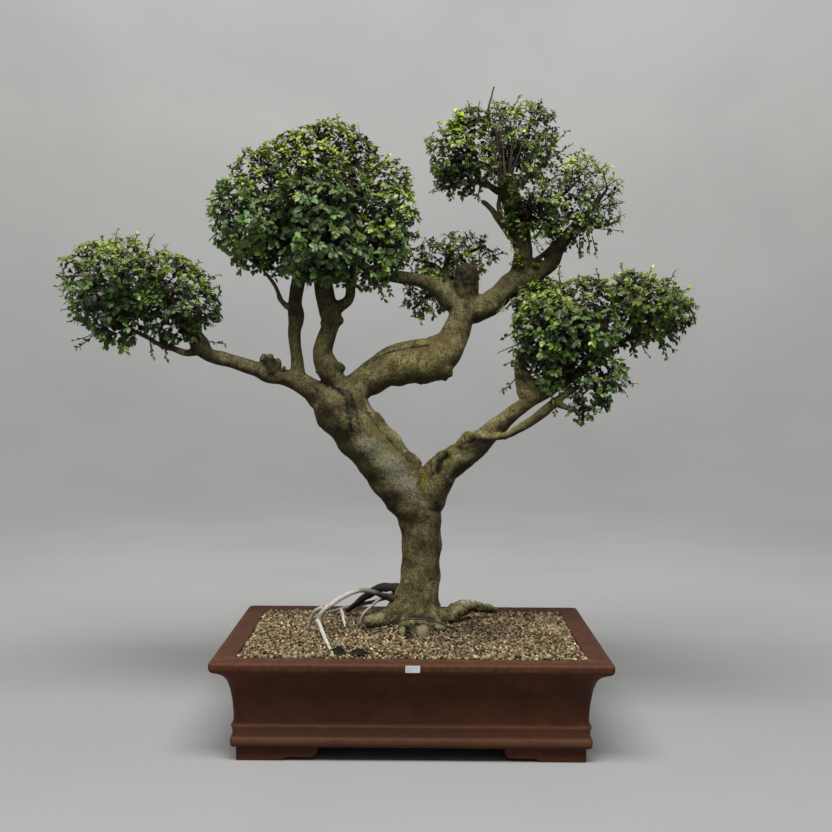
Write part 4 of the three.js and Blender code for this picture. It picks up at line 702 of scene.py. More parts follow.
LOBES = {
    "foliage_left_outer": {"centre": [-495, 2, 713], "lobes": [[-504, 0, 712, 69, 96, 82], [-467, -28, 743, 58, 80, 58], [-477, 34, 745, 60, 80, 60], [-541, 4, 743, 41, 60, 34], [-473, -6, 670, 59, 80, 49], [-522, 20, 763, 43, 60, 40]]},
    "foliage_left_inner": {"centre": [-386, 14, 698], "lobes": [[-386, 14, 701, 66, 96, 66], [-402, -18, 737, 55, 66, 44], [-407, 48, 740, 57, 66, 44], [-357, 18, 692, 43, 70, 43], [-398, 8, 658, 53, 66, 33]]},
    "foliage_center_left": {"centre": [-264, 14, 839], "lobes": [[-268, 14, 842, 69, 110, 75], [-288, 0, 818, 47, 80, 49], [-241, 10, 904, 62, 90, 56], [-242, 18, 784, 59, 80, 43], [-258, 66, 873, 57, 66, 67]]},
    "foliage_center_top": {"centre": [-152, 0, 864], "lobes": [[-152, 0, 870, 98, 128, 101], [-186, -20, 928, 61, 84, 51], [-114, 14, 935, 62, 90, 52], [-148, -36, 785, 74, 84, 67], [-153, 56, 819, 74, 84, 74], [-155, 30, 950, 56, 84, 50]]},
    "foliage_center_right": {"centre": [-48, 26, 832], "lobes": [[-51, 26, 839, 59, 96, 76], [-60, 6, 784, 56, 80, 56], [-42, 28, 892, 41, 70, 46], [-69, -8, 753, 42, 56, 36], [-28, 44, 828, 40, 60, 57]]},
    "foliage_crown_left": {"centre": [79, 84, 939], "lobes": [[75, 84, 942, 58, 84, 54], [54, 66, 955, 40, 60, 44], [106, 90, 994, 51, 70, 44], [83, 104, 919, 58, 66, 34]]},
    "foliage_crown_top": {"centre": [176, 90, 978], "lobes": [[176, 90, 974, 65, 88, 68], [204, 80, 999, 41, 62, 47], [150, 96, 1009, 41, 62, 38], [169, 60, 932, 54, 60, 44], [178, 128, 958, 52, 56, 52]]},
    "foliage_crown_right": {"centre": [272, 98, 885], "lobes": [[272, 98, 888, 72, 92, 79], [307, 84, 873, 48, 66, 58], [242, 112, 942, 48, 60, 41], [257, 84, 835, 65, 66, 44], [252, 128, 875, 59, 60, 59], [194, 70, 860, 44, 36, 34]]},
    "foliage_back": {"centre": [61, 138, 771], "lobes": [[65, 138, 778, 70, 58, 54], [16, 142, 722, 42, 40, 46], [110, 144, 797, 42, 40, 35], [37, 150, 790, 46, 40, 42]]},
    "foliage_right_main": {"centre": [244, 20, 653], "lobes": [[244, 20, 653, 83, 120, 83], [214, 54, 697, 60, 80, 54], [291, 10, 702, 59, 90, 49], [210, -20, 603, 62, 70, 55], [276, 10, 603, 56, 84, 53], [214, -40, 654, 61, 70, 64]]},
    "foliage_right_tip": {"centre": [385, 20, 693], "lobes": [[385, 20, 693, 73, 96, 56], [350, -10, 714, 52, 70, 42], [420, 26, 677, 43, 66, 46], [378, 50, 678, 57, 60, 44], [337, 6, 653, 52, 60, 33]]},
    "foliage_right_low": {"centre": [304, -24, 574], "lobes": [[304, -24, 581, 52, 62, 36], [286, -34, 555, 42, 46, 32], [335, -30, 581, 24, 40, 23], [265, -50, 526, 21, 22, 21]]},
}
# Marks on the bark, as strokes seen from the front camera: lists of
# (across, down, radius) in the 832-unit frame. They're carried onto the wood
# by rays from that camera.
MARKS = {
    "lichen": [[(364, 440, 7), (370, 446, 9), (379, 454, 10), (388, 463, 10.5), (397, 473, 10.5), (404, 483, 10), (410, 494, 9)], [(383, 446, 5), (396, 458, 6), (406, 470, 6)]],
    "moss": [[(421, 470, 2.6), (426, 477, 3.6), (423.5, 484, 3.4), (421, 490, 3)], [(431, 485, 2.6)], [(447, 457, 3.8), (445, 462.5, 4.6), (442.5, 469, 3.2)], [(450, 456, 3.2), (450.5, 461, 3.6), (448, 467, 3.0)], [(447, 463, 3.0)], [(380, 420, 2.5), (372, 430, 2.5)], [(378, 424, 2)],
             [(470, 602, 2)], [(402, 624, 2)], [(402, 608, 2.5)]],
    "mossdark": [[(263, 357, 5), (264, 363, 5)], [(276, 361, 5)], [(270, 358, 4)], [(346, 391, 4), (350, 396, 5.5), (351, 403, 6), (351, 411, 4.5), (350, 420, 3.5), (352, 431, 3)], [(346, 433, 3), (352, 444, 3)], [(509, 262, 3), (506, 268, 3)], [(515, 250, 4), (513, 242, 4)]],
    "crack": [[(326, 379.5, 1.3), (333, 386.5, 1.5), (340, 391.5, 1.4), (346, 396, 1.3)], [(347, 399, 1.3), (348.5, 407, 1.2), (350.5, 418, 1.2), (352, 428, 1.2), (354, 439, 1.0)], [(352.5, 394, 1.3), (352, 403, 1.4), (354, 412, 1.2), (356, 421, 1.0)],
              [(343, 405, 1.0), (345, 413, 1.0), (346.5, 421, 1.0)], [(348, 431, 1.0), (351, 441, 1.0)]],
    "groove": [[(369, 413, 2.0), (375, 421.5, 2.6), (382, 430, 2.9), (389, 438, 3.0), (396, 446, 3.0), (404, 455, 2.6), (412, 463, 2.0)]],
    "strand": [[(377, 414, 2.6), (384, 422, 3.0), (392, 431, 3.2), (400, 440, 3.2), (407, 448, 3.0), (414, 456, 2.6), (420, 463, 2.2)]],
    "orange": [[(320, 395, 6), (318, 403, 6), (328, 410, 5)], [(395, 352, 2.5), (410, 350, 3), (425, 348, 3.4)], [(452, 300, 4), (449, 312, 4)], [(430, 276, 4), (440, 282, 4)], [(370, 424, 4), (378, 434, 5), (386, 444, 5), (394, 453, 5), (402, 461, 4.6), (411, 469, 4)], [(398, 351, 3.5), (410, 350, 5), (422, 349, 6), (433, 348, 7)], [(438, 342, 6), (445, 337, 5)], [(417, 480, 3)], [(414, 474, 3)]],
    "tan": [[(377, 414, 2.0), (384, 422, 2.4), (392, 431, 2.6), (400, 441, 2.6), (408, 450, 2.4), (416, 459, 2)], [(447.5, 477, 2.6), (450.8, 470, 3.2), (454.5, 463, 3.4), (458, 457, 3.0)], [(458, 462, 2.5), (466, 458, 4), (473, 455, 3.5)], [(361, 383, 3), (364, 392, 3.6), (367, 402, 3.8), (370, 411, 3)],
            [(365, 618, 4), (373, 619, 5), (382, 616, 4)], [(402.5, 628, 4), (402.5, 633, 4)], [(420, 627, 6), (422, 633, 8)], [(412, 621, 3)], [(437, 628, 4)], [(452, 616, 4), (460, 608, 4)], [(406, 582, 3)], [(356, 386, 2.5), (362, 388, 3)], [(336, 412, 3), (338, 414, 2)]],
    "hollow": [[(439, 471, 3.0), (440.0, 465, 4.4), (442.5, 460, 4.4), (446.5, 456, 2.8)]],
    "slit": [[(437, 474, 1.8), (436.6, 467, 2.6), (437.6, 461.5, 2.6), (440.5, 457, 1.8), (446, 453.5, 1.2)]],
    "rib": [[(447.5, 477, 1.9), (450.5, 470, 2.4), (454, 463, 2.6), (458, 456.5, 2.2)], [(433.5, 471, 1.5), (433.2, 464, 1.6), (435.5, 457, 1.6), (441, 452.5, 1.5), (448, 451, 1.4)], [(344, 394, 1), (339, 388, 1)]],
    "sgroove": [[(372, 361.5, 1.0), (378, 357, 1.4), (384, 353.5, 1.7), (391, 350.8, 1.9), (399, 349, 2.0), (407, 347.5, 1.9), (415, 346.8, 1.7), (422, 346, 1.4), (428, 345, 1.0)]],
    "slip": [[(374, 357, 1.8), (382, 350.5, 2.4), (391, 346.2, 2.7), (402, 343.6, 2.8), (414, 342.2, 2.7), (426, 341.3, 2.3), (434, 340.3, 1.8)]],
    "trunkshade": [[(263, 357, 7), (270, 357, 7), (270, 364, 9), (279, 363, 7)], [(339, 370, 7), (343, 366, 6)], [(437, 505, 5), (438, 525, 4.5), (438, 548, 4.5), (438, 570, 4.5), (436, 598, 5)], [(470, 321, 6), (482, 319, 7), (494, 313, 6)], [(297, 372, 7), (296, 345, 8), (296, 315, 9), (296, 290, 9)], [(330, 325, 11), (328, 305, 12), (325, 290, 11)], [(337, 344, 5), (335, 335, 5)], [(310, 385, 5), (318, 392, 5)], [(313, 394, 5), (322, 403, 7), (331, 414, 8), (339, 427, 7), (346, 440, 5)], [(520, 262, 10), (522, 245, 10), (516, 225, 10)], [(548, 268, 6), (560, 250, 8), (565, 238, 8)], [(430, 286, 4), (438, 291, 4.5), (445, 298, 4.5), (450, 306, 4)]],
    "shade": [[(349, 391, 1.8), (354.5, 402, 1.6), (357, 414, 1.8), (358.5, 425, 1.7), (359, 436, 1.3)], [(345, 403, 1.3), (348.5, 416, 1.5), (353, 430, 1.3)], [(336, 386, 1.5), (343, 390, 1.8)], [(470, 444, 2.2), (480, 442.5, 2.6), (490, 441.5, 2.4), (499, 440, 1.4)], [(462, 449.5, 2.4), (470, 447, 2.4), (482, 445, 2.4)], [(412, 624, 3), (420, 624.5, 3)], 
              [(421, 474, 1.3), (418, 474, 1.3)], [(433, 476, 1.2), (430, 478, 1.0)], [(400, 484, 1.0), (403, 487, 1.0)], [(401, 494, 1.2)], [(457, 475, 2.0)],],
    "crease": [[(447.5, 611, 1.0), (452, 612, 1.0), (455, 616, 1.0), (455, 621, 1.0)], [(449.5, 611.5, 1.1), (453.5, 613.5, 1.2), (456, 617.5, 1.2)], [(316, 389, 1.0), (321, 392, 1.0), (324, 398, 1.0), (323, 405, 1.0), (319, 409, 1.0)], [(320, 398, 0.9), (317, 402, 0.9), (319, 405, 0.9)], [(333, 416, 1.2), (337, 422, 1.2), (340, 428, 1.2), (338, 432, 1.0)],
               [(422, 478, 1.0), (420, 484, 1.0)], [(366, 398, 1.0), (362, 394, 1.0)], [(479, 427, 1.0), (482, 432, 1.0), (486, 434, 1.0)], [(430, 470, 1), (432, 476, 1)]],
    "ring": [[(469, 437.5, 3.6)]],
    "eye": [[(408.3, 627.5, 2.2), (408.5, 632, 2.8), (408.5, 636, 2.4)]],
    "nub": [[(373, 407, 1.8)], [(317.5, 372, 2.2)], [(444, 379.5, 2.2)], [(453, 377, 2.6)], [(311, 409, 1.8)], [(322, 322, 2)], [(474, 432.5, 2)], [(506, 437.5, 2.2)], [(296, 318, 3.4)], [(301, 291, 2.6)], [(421, 383, 1.8)], [(398, 596, 2.2)], [(381, 612, 2.4)]],
    "brownrough": [[(466, 266, 8), (466, 275, 13), (467, 285, 13), (467, 292, 10)], [(457, 270, 5), (456, 282, 5), (457, 290, 4)], [(476, 270, 5), (477, 282, 5), (477, 290, 4)]],
    "undercut": [[(404, 617, 2.6), (410, 616, 3.4), (418, 616, 3.8), (427, 617.5, 3.6), (434, 619.5, 3.0)]],
    "dark": [[(270, 357, 6), (270, 364, 5)], [(267, 360, 3), (267, 366, 3)], [(273.5, 360, 2), (273.5, 367, 2)], [(338, 370, 6), (343, 366, 5)], [(332, 386, 3), (340, 391, 3.4), (347, 397, 3.6), (350, 405, 3.6)], [(345, 440, 4)], [(340, 446, 3)], [(512, 255, 5), (515, 270, 5)], [(500, 427, 3), (507, 421, 3), (512, 416, 2)], [(500, 302, 4)], [(327, 305, 5), (330, 296, 5)], [(405, 590, 2)]],
    # the last pale stroke, along the top of the right branch, is pale bark and partly painted highlight
    "pale": [[(436, 350, 7), (444, 358, 8), (447, 366, 6)], [(398, 362, 3)], [(462, 302, 4), (458, 297, 3)], [(445, 283, 3), (450, 288, 3)], [(402, 276, 3), (392, 273, 3)], [(472, 431, 3), (480, 427, 3.4), (488, 420.5, 4), (498, 412.5, 4.2), (508, 404.5, 4.2), (520, 397, 3.8)]],
}
CAM_MM = np.array([6.3, -1857.7, 583.2])
CAM_F = 1134.0
CAM_R = (Matrix.Rotation(math.radians(0.080), 3, "Z") @ Matrix.Rotation(math.radians(-2.163), 3, "X") @ Matrix.Rotation(math.radians(-0.383), 3, "Y"))
SOIL_Z = 154.0


def mound(x, y):
    return (13 * np.exp(-((x - 4) ** 2) / (2 * 88 ** 2) - ((y - 42) ** 2) / (2 * 74 ** 2))
            + 2.6 * np.exp(-((y + 176) ** 2) / (2 * 30 ** 2)) + 0.9 * np.sin(x * 0.031 + 1) * np.cos(y * 0.043))


# ---------------------------------------------------------------------- wood
PALE = {"r_white": 1.0, "r_white2": 1.0, "r_white3": 0.72, "r_grey": 0.42, "r_thin": 0.55, "r_short": 0.85, "r_dark": 0.0}
FLAT = {"trunk": 0.86, "s_limb": 0.84, "s_elbow": 0.84, "left": 0.92, "right": 0.88, "right_limb": 0.9, "r_left": 0.8, "r_right": 0.9, "r_fuzzy": 0.95, "right_stub": 0.8}
CUT = 5.2                        # below this radius a limb is a plain bar, not part of the remeshed wood
samples = []                     # [x, y, z, r] of every limb, for growth and for keeping things clear
thick, thin, pale, deep = Parts(), Parts(), Parts(), Parts()
def px(u, v, y, r):
    return [(u - 416) * 1.65 + 6, y, 583 + (373 - v) * 1.62, r]


BURLS = {"left_burl1": [px(264, 366, 4, 6.0), px(262.5, 360, 4, 6.4), px(264, 355.5, 3, 4.6)], "left_burl2": [px(276, 370, 4, 6.0), px(277, 364, 4, 6.4), px(276, 359.5, 3, 4.4)],
         "left_burl3": [px(270, 364, -4, 6.0), px(270, 358, -5, 5.6), px(270.5, 355, -4, 4.4)], "left_burl4": [px(281, 371, 3, 3.4), px(283, 368.5, 2, 3.0), px(284, 367, 2, 2.4)],
         "mid_block": [px(336, 374, 12, 8.0), px(337, 367, 11, 7.2), px(340, 364.5, 10, 6.0)]}
for k, (name, pts) in enumerate({**LIMBS, **BURLS, **BURIED}.items()):
    pts = np.asarray(pts, float)
    most = pts[:, 3].max()
    line = smooth(pts, 3.0 if most > 12 else 2.4)
    samples.append((name, line))
    flat = FLAT.get(name, 0.95)
    if name in BURIED:
        co, q, t = tube(smooth(pts, 12), 10, 1.0, 0.05, k)
        deep.add(co, q, t)
        continue
    if name in PALE:
        seg = smooth(pts, 3.0)
        seg[:, 3] *= 1 + 0.20 * (noise(seg[:, :3], 9, 5) - 0.5)
        seg[:, :3] += (np.stack([noise(seg[:, :3], 14, 6 + q) for q in range(3)], 1) - 0.5) * 1.5
        co, q, t = tube(seg, 12, 1.0, 0.05, k)
        fade = np.full((len(co), 3), PALE[name])
        if name == "r_white":          # darker where it leaves the trunk
            fade *= np.clip((-(co[:, 0:1]) - 52) / 62, 0.05, 1)
        if name == "r_grey":
            fade *= np.clip((-(co[:, 0:1]) - 20) / 60, 0.15, 1)
        if name == "r_white2":         # greenish where it meets the gravel
            fade[:, 1] = np.clip((-co[:, 1] - 60) / 90, 0, 1) * 1.0
        else:
            fade[:, 1] = 0
        pale.add(co, q, t, fade)
        continue
    big_ = line[:, 3] >= CUT
    if name in ("r_fuzzy", "stub_b", "sub2_nub", "r_f1", "r_f2", "r_f3", "r_f4", "r_f5", "r_left", "r_right", "s_roll", "left_knob", "sub2_knob"):
        big_[:] = True
    if big_.any():
        last = np.where(big_)[0].max() + 1
        first = np.where(big_)[0].min()
        part = line[first:last]
        if len(part) > 2:
            co, q, t = tube(part, int(np.clip(most * 1.9, 12, 64)), flat, 0.05, k + 1)
            thick.add(co, q, t)
    else:
        last = 0
    rest = line[max(0, last - 3):]
    if len(rest) > 3 and not big_.all():
        seg = rest.copy()
        seg[:, 3] *= 1 + 0.22 * (noise(seg[:, :3], 7, 15) - 0.45)
        seg[:, :3] += (np.stack([noise(seg[:, :3], 13, 16 + q) for q in range(3)], 1) - 0.5) * 2.0 * np.clip(np.arange(len(seg)) / 6, 0, 1)[:, None]
        co, q, t = tube(seg, 10 if seg[:, 3].max() > 3.4 else 8, 1.0, 0.06, k)
        yng = np.clip(1.0 - seg[:, 3] / 7.0, 0.1, 0.8)
        yv = np.concatenate([np.repeat(yng, (len(co) - 2) // len(seg)), [yng[0], yng[-1]]])
        thin.add(co, q, t, np.stack([0 * yv, 0 * yv, yv], 1))

co, polys, _ = thick.done()
raw = make("wood_raw", co, polys, BARK)
rm = raw.modifiers.new("r", "REMESH")
rm.mode = "VOXEL"
rm.voxel_size = 0.0022
rm.use_smooth_shade = True
sm = raw.modifiers.new("s", "SMOOTH")
sm.factor, sm.iterations = 0.5, 3
dg = bpy.context.evaluated_depsgraph_get()
wood_me = bpy.data.meshes.new_from_object(raw.evaluated_get(dg))
bpy.data.objects.remove(raw)
n = len(wood_me.vertices)
co = np.empty(n * 3, np.float32)
wood_me.vertices.foreach_get("co", co)
nor = np.empty(n * 3, np.float32)
wood_me.vertex_normals.foreach_get("vector", nor)
co = (co.reshape(-1, 3).astype(float) - OFF) * 1000.0
nor = nor.reshape(-1, 3).astype(float)
polys_w = [tuple(p.vertices) for p in wood_me.polygons]
tree_bvh = BVHTree.FromPolygons([tuple(v) for v in co], polys_w)

allp = np.vstack([l for _, l in samples])
kd = kdtree.KDTree(len(allp))
for i, p in enumerate(allp):
    kd.insert(p[:3], i)
kd.balance()
near = np.array([kd.find(p)[1] for p in co])
rad = allp[near, 3]


def on_wood(u, v):
    """Where the camera's ray through (u, v) meets the wood, or its nearest point."""
    d = (CAM_R @ Vector(((u - 416) / CAM_F, 1.0, -(v - 416) / CAM_F))).normalized()
    hit = tree_bvh.ray_cast(Vector(CAM_MM), d)[0]
    if hit is None:
        for yy in (0.0, 40.0, 80.0):
            q = Vector(CAM_MM) + d * ((yy - CAM_MM[1]) / d.y)
            got = tree_bvh.find_nearest(q, 14.0)
            if got[0] is not None:
                return np.array(got[0])
        print("no wood under mark", u, v)
        return None
    return np.array(hit)


CRISP = ("sgroove", "slip", "undercut", "eye", "groove", "strand", "rib", "slit")
frayed = co + (np.stack([noise(co, 8, 41 + q) for q in range(3)], 1) - 0.5) * 6.0 + (np.stack([noise(co, 3.8, 44 + q) for q in range(3)], 1) - 0.5) * 3.0


def reach(key, sharp=1.0):
    """1 on a stroke, falling to 0 at about 1.6 radii."""
    out = np.zeros(len(co))
    at_co = co if key in CRISP else frayed
    for stroke in MARKS[key]:
        pts_ = []
        for u, v, r_ in stroke:
            h = on_wood(u, v)
            if h is not None:
                pts_.append((h, r_ * (h[1] - CAM_MM[1]) / CAM_F))
        if not pts_:
            continue
        if len(pts_) == 1:
            pts_ = pts_ * 2
        for (a, ra), (b_, rb) in zip(pts_[:-1], pts_[1:]):
            ab = b_ - a
            L2 = max(1e-6, ab @ ab)
            if L2 > 40 ** 2:
                continue
            sel = np.where(np.linalg.norm(at_co - (a + b_) / 2, axis=1) < math.sqrt(L2) / 2 + 3 * max(ra, rb))[0]
            w = np.clip(((at_co[sel] - a) @ ab) / L2, 0, 1)
            d = np.linalg.norm(at_co[sel] - (a + w[:, None] * ab), axis=1) / (ra + (rb - ra) * w)
            out[sel] = np.maximum(out[sel], np.exp(-(d ** 2) * sharp))
    return out


# relief: broad swellings, flutes along the limbs, fissures and small pits
amp = np.clip(rad / 30, 0.14, 1.0) * np.where((co[:, 2] < 360) & (rad > 25), 0.55, 1.0)
warp = 30 * (np.stack([noise(co, 30, 21), noise(co, 30, 22), noise(co, 30, 23)], 1) - 0.5)
broad = fbm(co, 38, 2, 1) - 0.5
lumps = fbm(co, 12, 3, 2) - 0.5
pits = fbm(co, 4.4, 2, 3) - 0.5
ridge = 1 - np.abs(2 * fbm(co + warp, (13, 13, 52), 2, 4) - 1)
fiss = np.clip(0.30 - np.abs(fbm(co + warp * 0.6, (9, 9, 24), 2, 9) - 0.5) * 6, 0, 1) * np.clip((noise(co, 26, 12) - 0.45) * 5, 0, 1)
F_ = {k: reach(k) for k in MARKS}
lich = np.clip(reach("lichen", 0.8), 0, 1)
disp = amp * (2.4 * broad + 1.7 * lumps + 1.0 * pits + 1.5 * (ridge - 0.75) - 1.3 * fiss)
F_["crack"] = F_["crack"] * np.clip(0.35 + 1.1 * noise(co, 5, 33), 0, 1)
F_["groove"] = F_["groove"] * (0.55 + 0.6 * noise(co, 9, 34))
F_["orange"] = F_["orange"] * np.clip(0.2 + 1.5 * noise(co, 8, 35), 0, 1)
disp = disp * (1 - 0.45 * lich) * (1 - 0.4 * F_["slip"])
disp += (-3.4 * F_["crack"] - 4.6 * F_["groove"] + 3.6 * F_["strand"] - 3.2 * F_["sgroove"] + 1.4 * F_["slip"] - 8.5 * F_["hollow"] - 7.0 * F_["slit"]
         + 3.4 * F_["rib"] - 1.5 * F_["crease"] - 7.0 * F_["eye"] + 3.6 * F_["nub"] - 5.5 * F_["undercut"])
disp += F_["brownrough"] * (7.0 * (fbm(co, (6, 6, 19), 3, 52) - 0.5) + 4.5 * pits)
h_ = on_wood(*MARKS["ring"][0][0][:2])
d_ = np.linalg.norm(co - h_, axis=1)
disp += 1.5 * np.exp(-((d_ - 5.6) / 1.7) ** 2) - 2.6 * np.exp(-((d_ - 7.9) / 1.3) ** 2) - 1.6 * np.exp(-(d_ / 3.4) ** 2)
rootz = (co[:, 2] < 200) & (np.hypot(co[:, 0] - 10, co[:, 1] - 45) > 46)
disp += np.where(rootz, 3.4 * lumps + 2.6 * pits, 0.0) + np.where(rootz & (co[:, 0] > 62), 3.6 * lumps + 4.2 * pits, 0.0)
disp *= np.where(co[:, 2] < 148, 0.25, 1.0)
co2 = co + nor * disp[:, None]

m1 = np.zeros((n, 3))
m1[:, 0] = lich
m1[:, 1] = np.clip(F_["moss"] + 0.0, 0, 1)
# painted shade in the relief's recesses; with the dark cracks, the third channel also darkens grooves, hollows, the
# slit, creases, the undercut, the eye and the ring's groove as painted shade
recess_shade = np.clip(-(1.2 * lumps + 1.2 * pits + 0.4 * broad) * 2.2 - 0.05, 0, 1)
m1[:, 2] = np.clip(0.80 * F_["crack"] + 0.62 * F_["groove"] + 0.72 * F_["sgroove"] + 0.42 * F_["hollow"] + 0.95 * F_["slit"] + 0.8 * F_["shade"] + 0.7 * F_["crease"]
                   + 1.3 * F_["eye"] + 0.80 * F_["undercut"] + 0.40 * F_["dark"] + 0.30 * recess_shade + 0.55 * fiss + 0.75 * np.exp(-((d_ - 7.9) / 1.2) ** 2), 0, 1)
m2 = np.zeros((n, 3))
m2[:, 0] = np.clip(F_["orange"] + 0.35 * np.clip((noise(co, 34, 31) - 0.70) * 5, 0, 1), 0, 1)
m2[:, 1] = np.clip(F_["tan"] + F_["pale"] * 0.55 + 0.5 * F_["rib"], 0, 1)
m2[:, 2] = np.clip((6.0 - rad) / 4, 0, 0.7)
m3 = np.zeros((n, 3))
# painted shade: bark facing down is darker
m2[:, 1] = np.clip(m2[:, 1] + 0.35 * F_["slip"], 0, 1)
down = np.clip((-nor[:, 2] + 0.02) * 1.45, 0, 1) * np.where(co[:, 2] > 215, 1.0, 0.4)
m3[:, 0] = F_["brownrough"]
m3[:, 1] = F_["mossdark"]
m3[:, 2] = np.where(rootz, np.clip((co[:, 0] - 62) / 24, 0, 1) * np.clip(nor[:, 2] * 0.8 + 0.30, 0, 1) * np.clip(0.25 + 1.3 * noise(co, 9, 61), 0, 1), 0)      # fuzz on the right-hand root

lobe_of = []
lob = []
for gi, (gname, g) in enumerate(LOBES.items()):
    for l in g["lobes"]:
        lob.append(l)
        lobe_of.append(gi)
lob = np.array(lob, float)
lobe_of = np.array(lobe_of)
names = list(LOBES)
# each pad's lowest and highest leaf, and how full each mass is: twigs, leaves
PAD = {"left": (620.0, 810.0), "center": (725.0, 995.0), "crown": (800.0, 1035.0), "right": (540.0, 758.0), "back": (670.0, 810.0)}
FULL = {"foliage_left_outer": (1.0, 1.05), "foliage_left_inner": (1.0, 1.05), "foliage_center_left": (1.0, 1.1), "foliage_center_top": (1.05, 1.1),
        "foliage_center_right": (1.0, 1.1), "foliage_crown_left": (1.35, 1.65), "foliage_crown_top": (1.5, 1.1), "foliage_crown_right": (1.35, 0.80),
        "foliage_back": (1.25, 1.65), "foliage_right_main": (1.1, 1.25), "foliage_right_tip": (1.1, 1.35), "foliage_right_low": (1.0, 1.15)}


def inside(p):
    """(index of the mass, how far out: 0 middle to 1 edge) for each point."""
    q = np.stack([(((p - l[:3]) / l[3:]) ** 2).sum(1) for l in lob], 1)
    i = q.argmin(1)
    return lobe_of[i], np.sqrt(q.min(1))


def up_pad(z, g):
    lo_ = np.array([PAD[k_.split("_")[1]][0] for k_ in names])[g]
    hi_ = np.array([PAD[k_.split("_")[1]][1] for k_ in names])[g]
    return np.clip((z - lo_) / (hi_ - lo_), 0, 1)


# first channel, painted shade: undersides, wood inside the leaf masses, the trunkshade strokes, the upper limbs among
# the leaves and the far left limb; it also darkens the burls and the knob on the second leader, which are dark of their
# own, and is taken off the bare right branch
m4 = np.zeros((n, 3))
_, how = inside(co)
m4[:, 0] = np.clip(np.maximum(down, 0.85 * np.clip((1.12 - how) / 0.22, 0, 1)) + 0.60 * F_["trunkshade"], 0, 1)
m4[:, 0] = np.maximum(m4[:, 0], 0.85 * np.clip((co[:, 2] - 690) / 62, 0, 1) * (co[:, 0] > 60))
m4[:, 0] = np.maximum(m4[:, 0], 0.84 * np.clip((co[:, 2] - 625) / 85, 0, 1) * (co[:, 0] < -60))
m4[:, 0] = np.maximum(m4[:, 0], 0.92 * np.clip((-316 - co[:, 0]) / 18, 0, 1))
m4[:, 0] = np.maximum(m4[:, 0], 0.88 * np.clip(1.4 * np.exp(-((co[:, 0] + 235) / 22) ** 2 - ((co[:, 2] - 607) / 13) ** 2), 0, 1) * (co[:, 1] < 30))
m4[:, 0] = np.maximum(m4[:, 0], 0.70 * np.clip(1.4 * np.exp(-((co[:, 0] + 119) / 11) ** 2 - ((co[:, 2] - 592) / 9) ** 2), 0, 1))
m4[:, 0] *= 1 - 0.95 * np.exp(-((co[:, 0] - 187) / 34) ** 2 - ((co[:, 2] - 560) / 38) ** 2)
# second channel: the upper limb and the right branch are yellower and painted brighter, partly as painted light on
# faces turned up
m4[:, 1] = 0.6 * np.exp(-((co[:, 0] - 187) / 30) ** 2 - ((co[:, 2] - 560) / 34) ** 2) + np.exp(-(((co[:, 0] - 0) / 95) ** 2 + ((co[:, 2] - 606) / 42) ** 2)) + 0.95 * np.exp(-(((co[:, 0] - 148) / 62) ** 2 + ((co[:, 2] - 500) / 55) ** 2)) * np.clip(nor[:, 2] * 1.2 + 0.35, 0, 1)     # the brighter, yellower upper limb
# two pieces, lower and upper wood, with shared normals along the cut
wood_me.vertices.foreach_set("co", M(co2).astype(np.float32).ravel())
wood_me.update()
nor2 = np.empty(n * 3, np.float32)
wood_me.vertex_normals.foreach_get("vector", nor2)
nor2 = nor2.reshape(-1, 3)
faces = np.array([p for p in polys_w if len(p) == 4])
tris_w = np.array([p for p in polys_w if len(p) == 3], dtype=np.int64).reshape(-1, 3)
SPLIT = 575.0


def wood_piece(name, pick):
    keep_q = faces[pick(co[faces].mean(1))]
    keep_t = tris_w[pick(co[tris_w].mean(1))] if len(tris_w) else tris_w
    used = np.unique(np.concatenate([keep_q.ravel(), keep_t.ravel()]))
    remap = np.full(n, -1)
    remap[used] = np.arange(len(used))
    polys_ = [remap[keep_q]] + ([remap[keep_t]] if len(keep_t) else [])
    ob = make(name, co2[used], polys_, BARK, {"m1": m1[used], "m2": m2[used], "m3": m3[used], "m4": m4[used]}, slot="bark")
    ob.data.normals_split_custom_set_from_vertices([tuple(v) for v in nor2[used]])
    print(name, "tris", len(keep_q) * 2 + len(keep_t))
    return ob


wood = wood_piece("wood_lower", lambda c: c[:, 2] < SPLIT)
wood_piece("wood_upper", lambda c: c[:, 2] >= SPLIT)
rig.replaces(wood, "tree")

c, polys, at = thin.done()
_, how = inside(c)
# painted shade on thin limbs inside the leaf masses, and on all thin limbs at the far left and right
shade4 = np.zeros_like(at)
shade4[:, 0] = np.clip(0.9 * np.clip((1.15 - how) / 0.25, 0, 1), 0, 1)
shade4[:, 0] = np.maximum(shade4[:, 0], 1.0 * ((c[:, 0] < -385) | (c[:, 0] > 285)))
make("limb_ends", c, polys, BARK, {"m1": np.zeros_like(at), "m2": at, "m3": np.zeros_like(at), "m4": shade4}, slot="bark")
print("thin tris", sum(len(p) * (p.shape[1] - 2) for p in polys))
c, polys, _ = deep.done()
zero = np.zeros((len(c), 3))
make("buried_roots", c, polys, BARK, {"m1": zero, "m2": zero, "m3": zero, "m4": zero}, slot="bark")
c, polys, at = pale.done()
make("pale_roots", c, polys, ROOT, {"m1": at}, slot="bark")

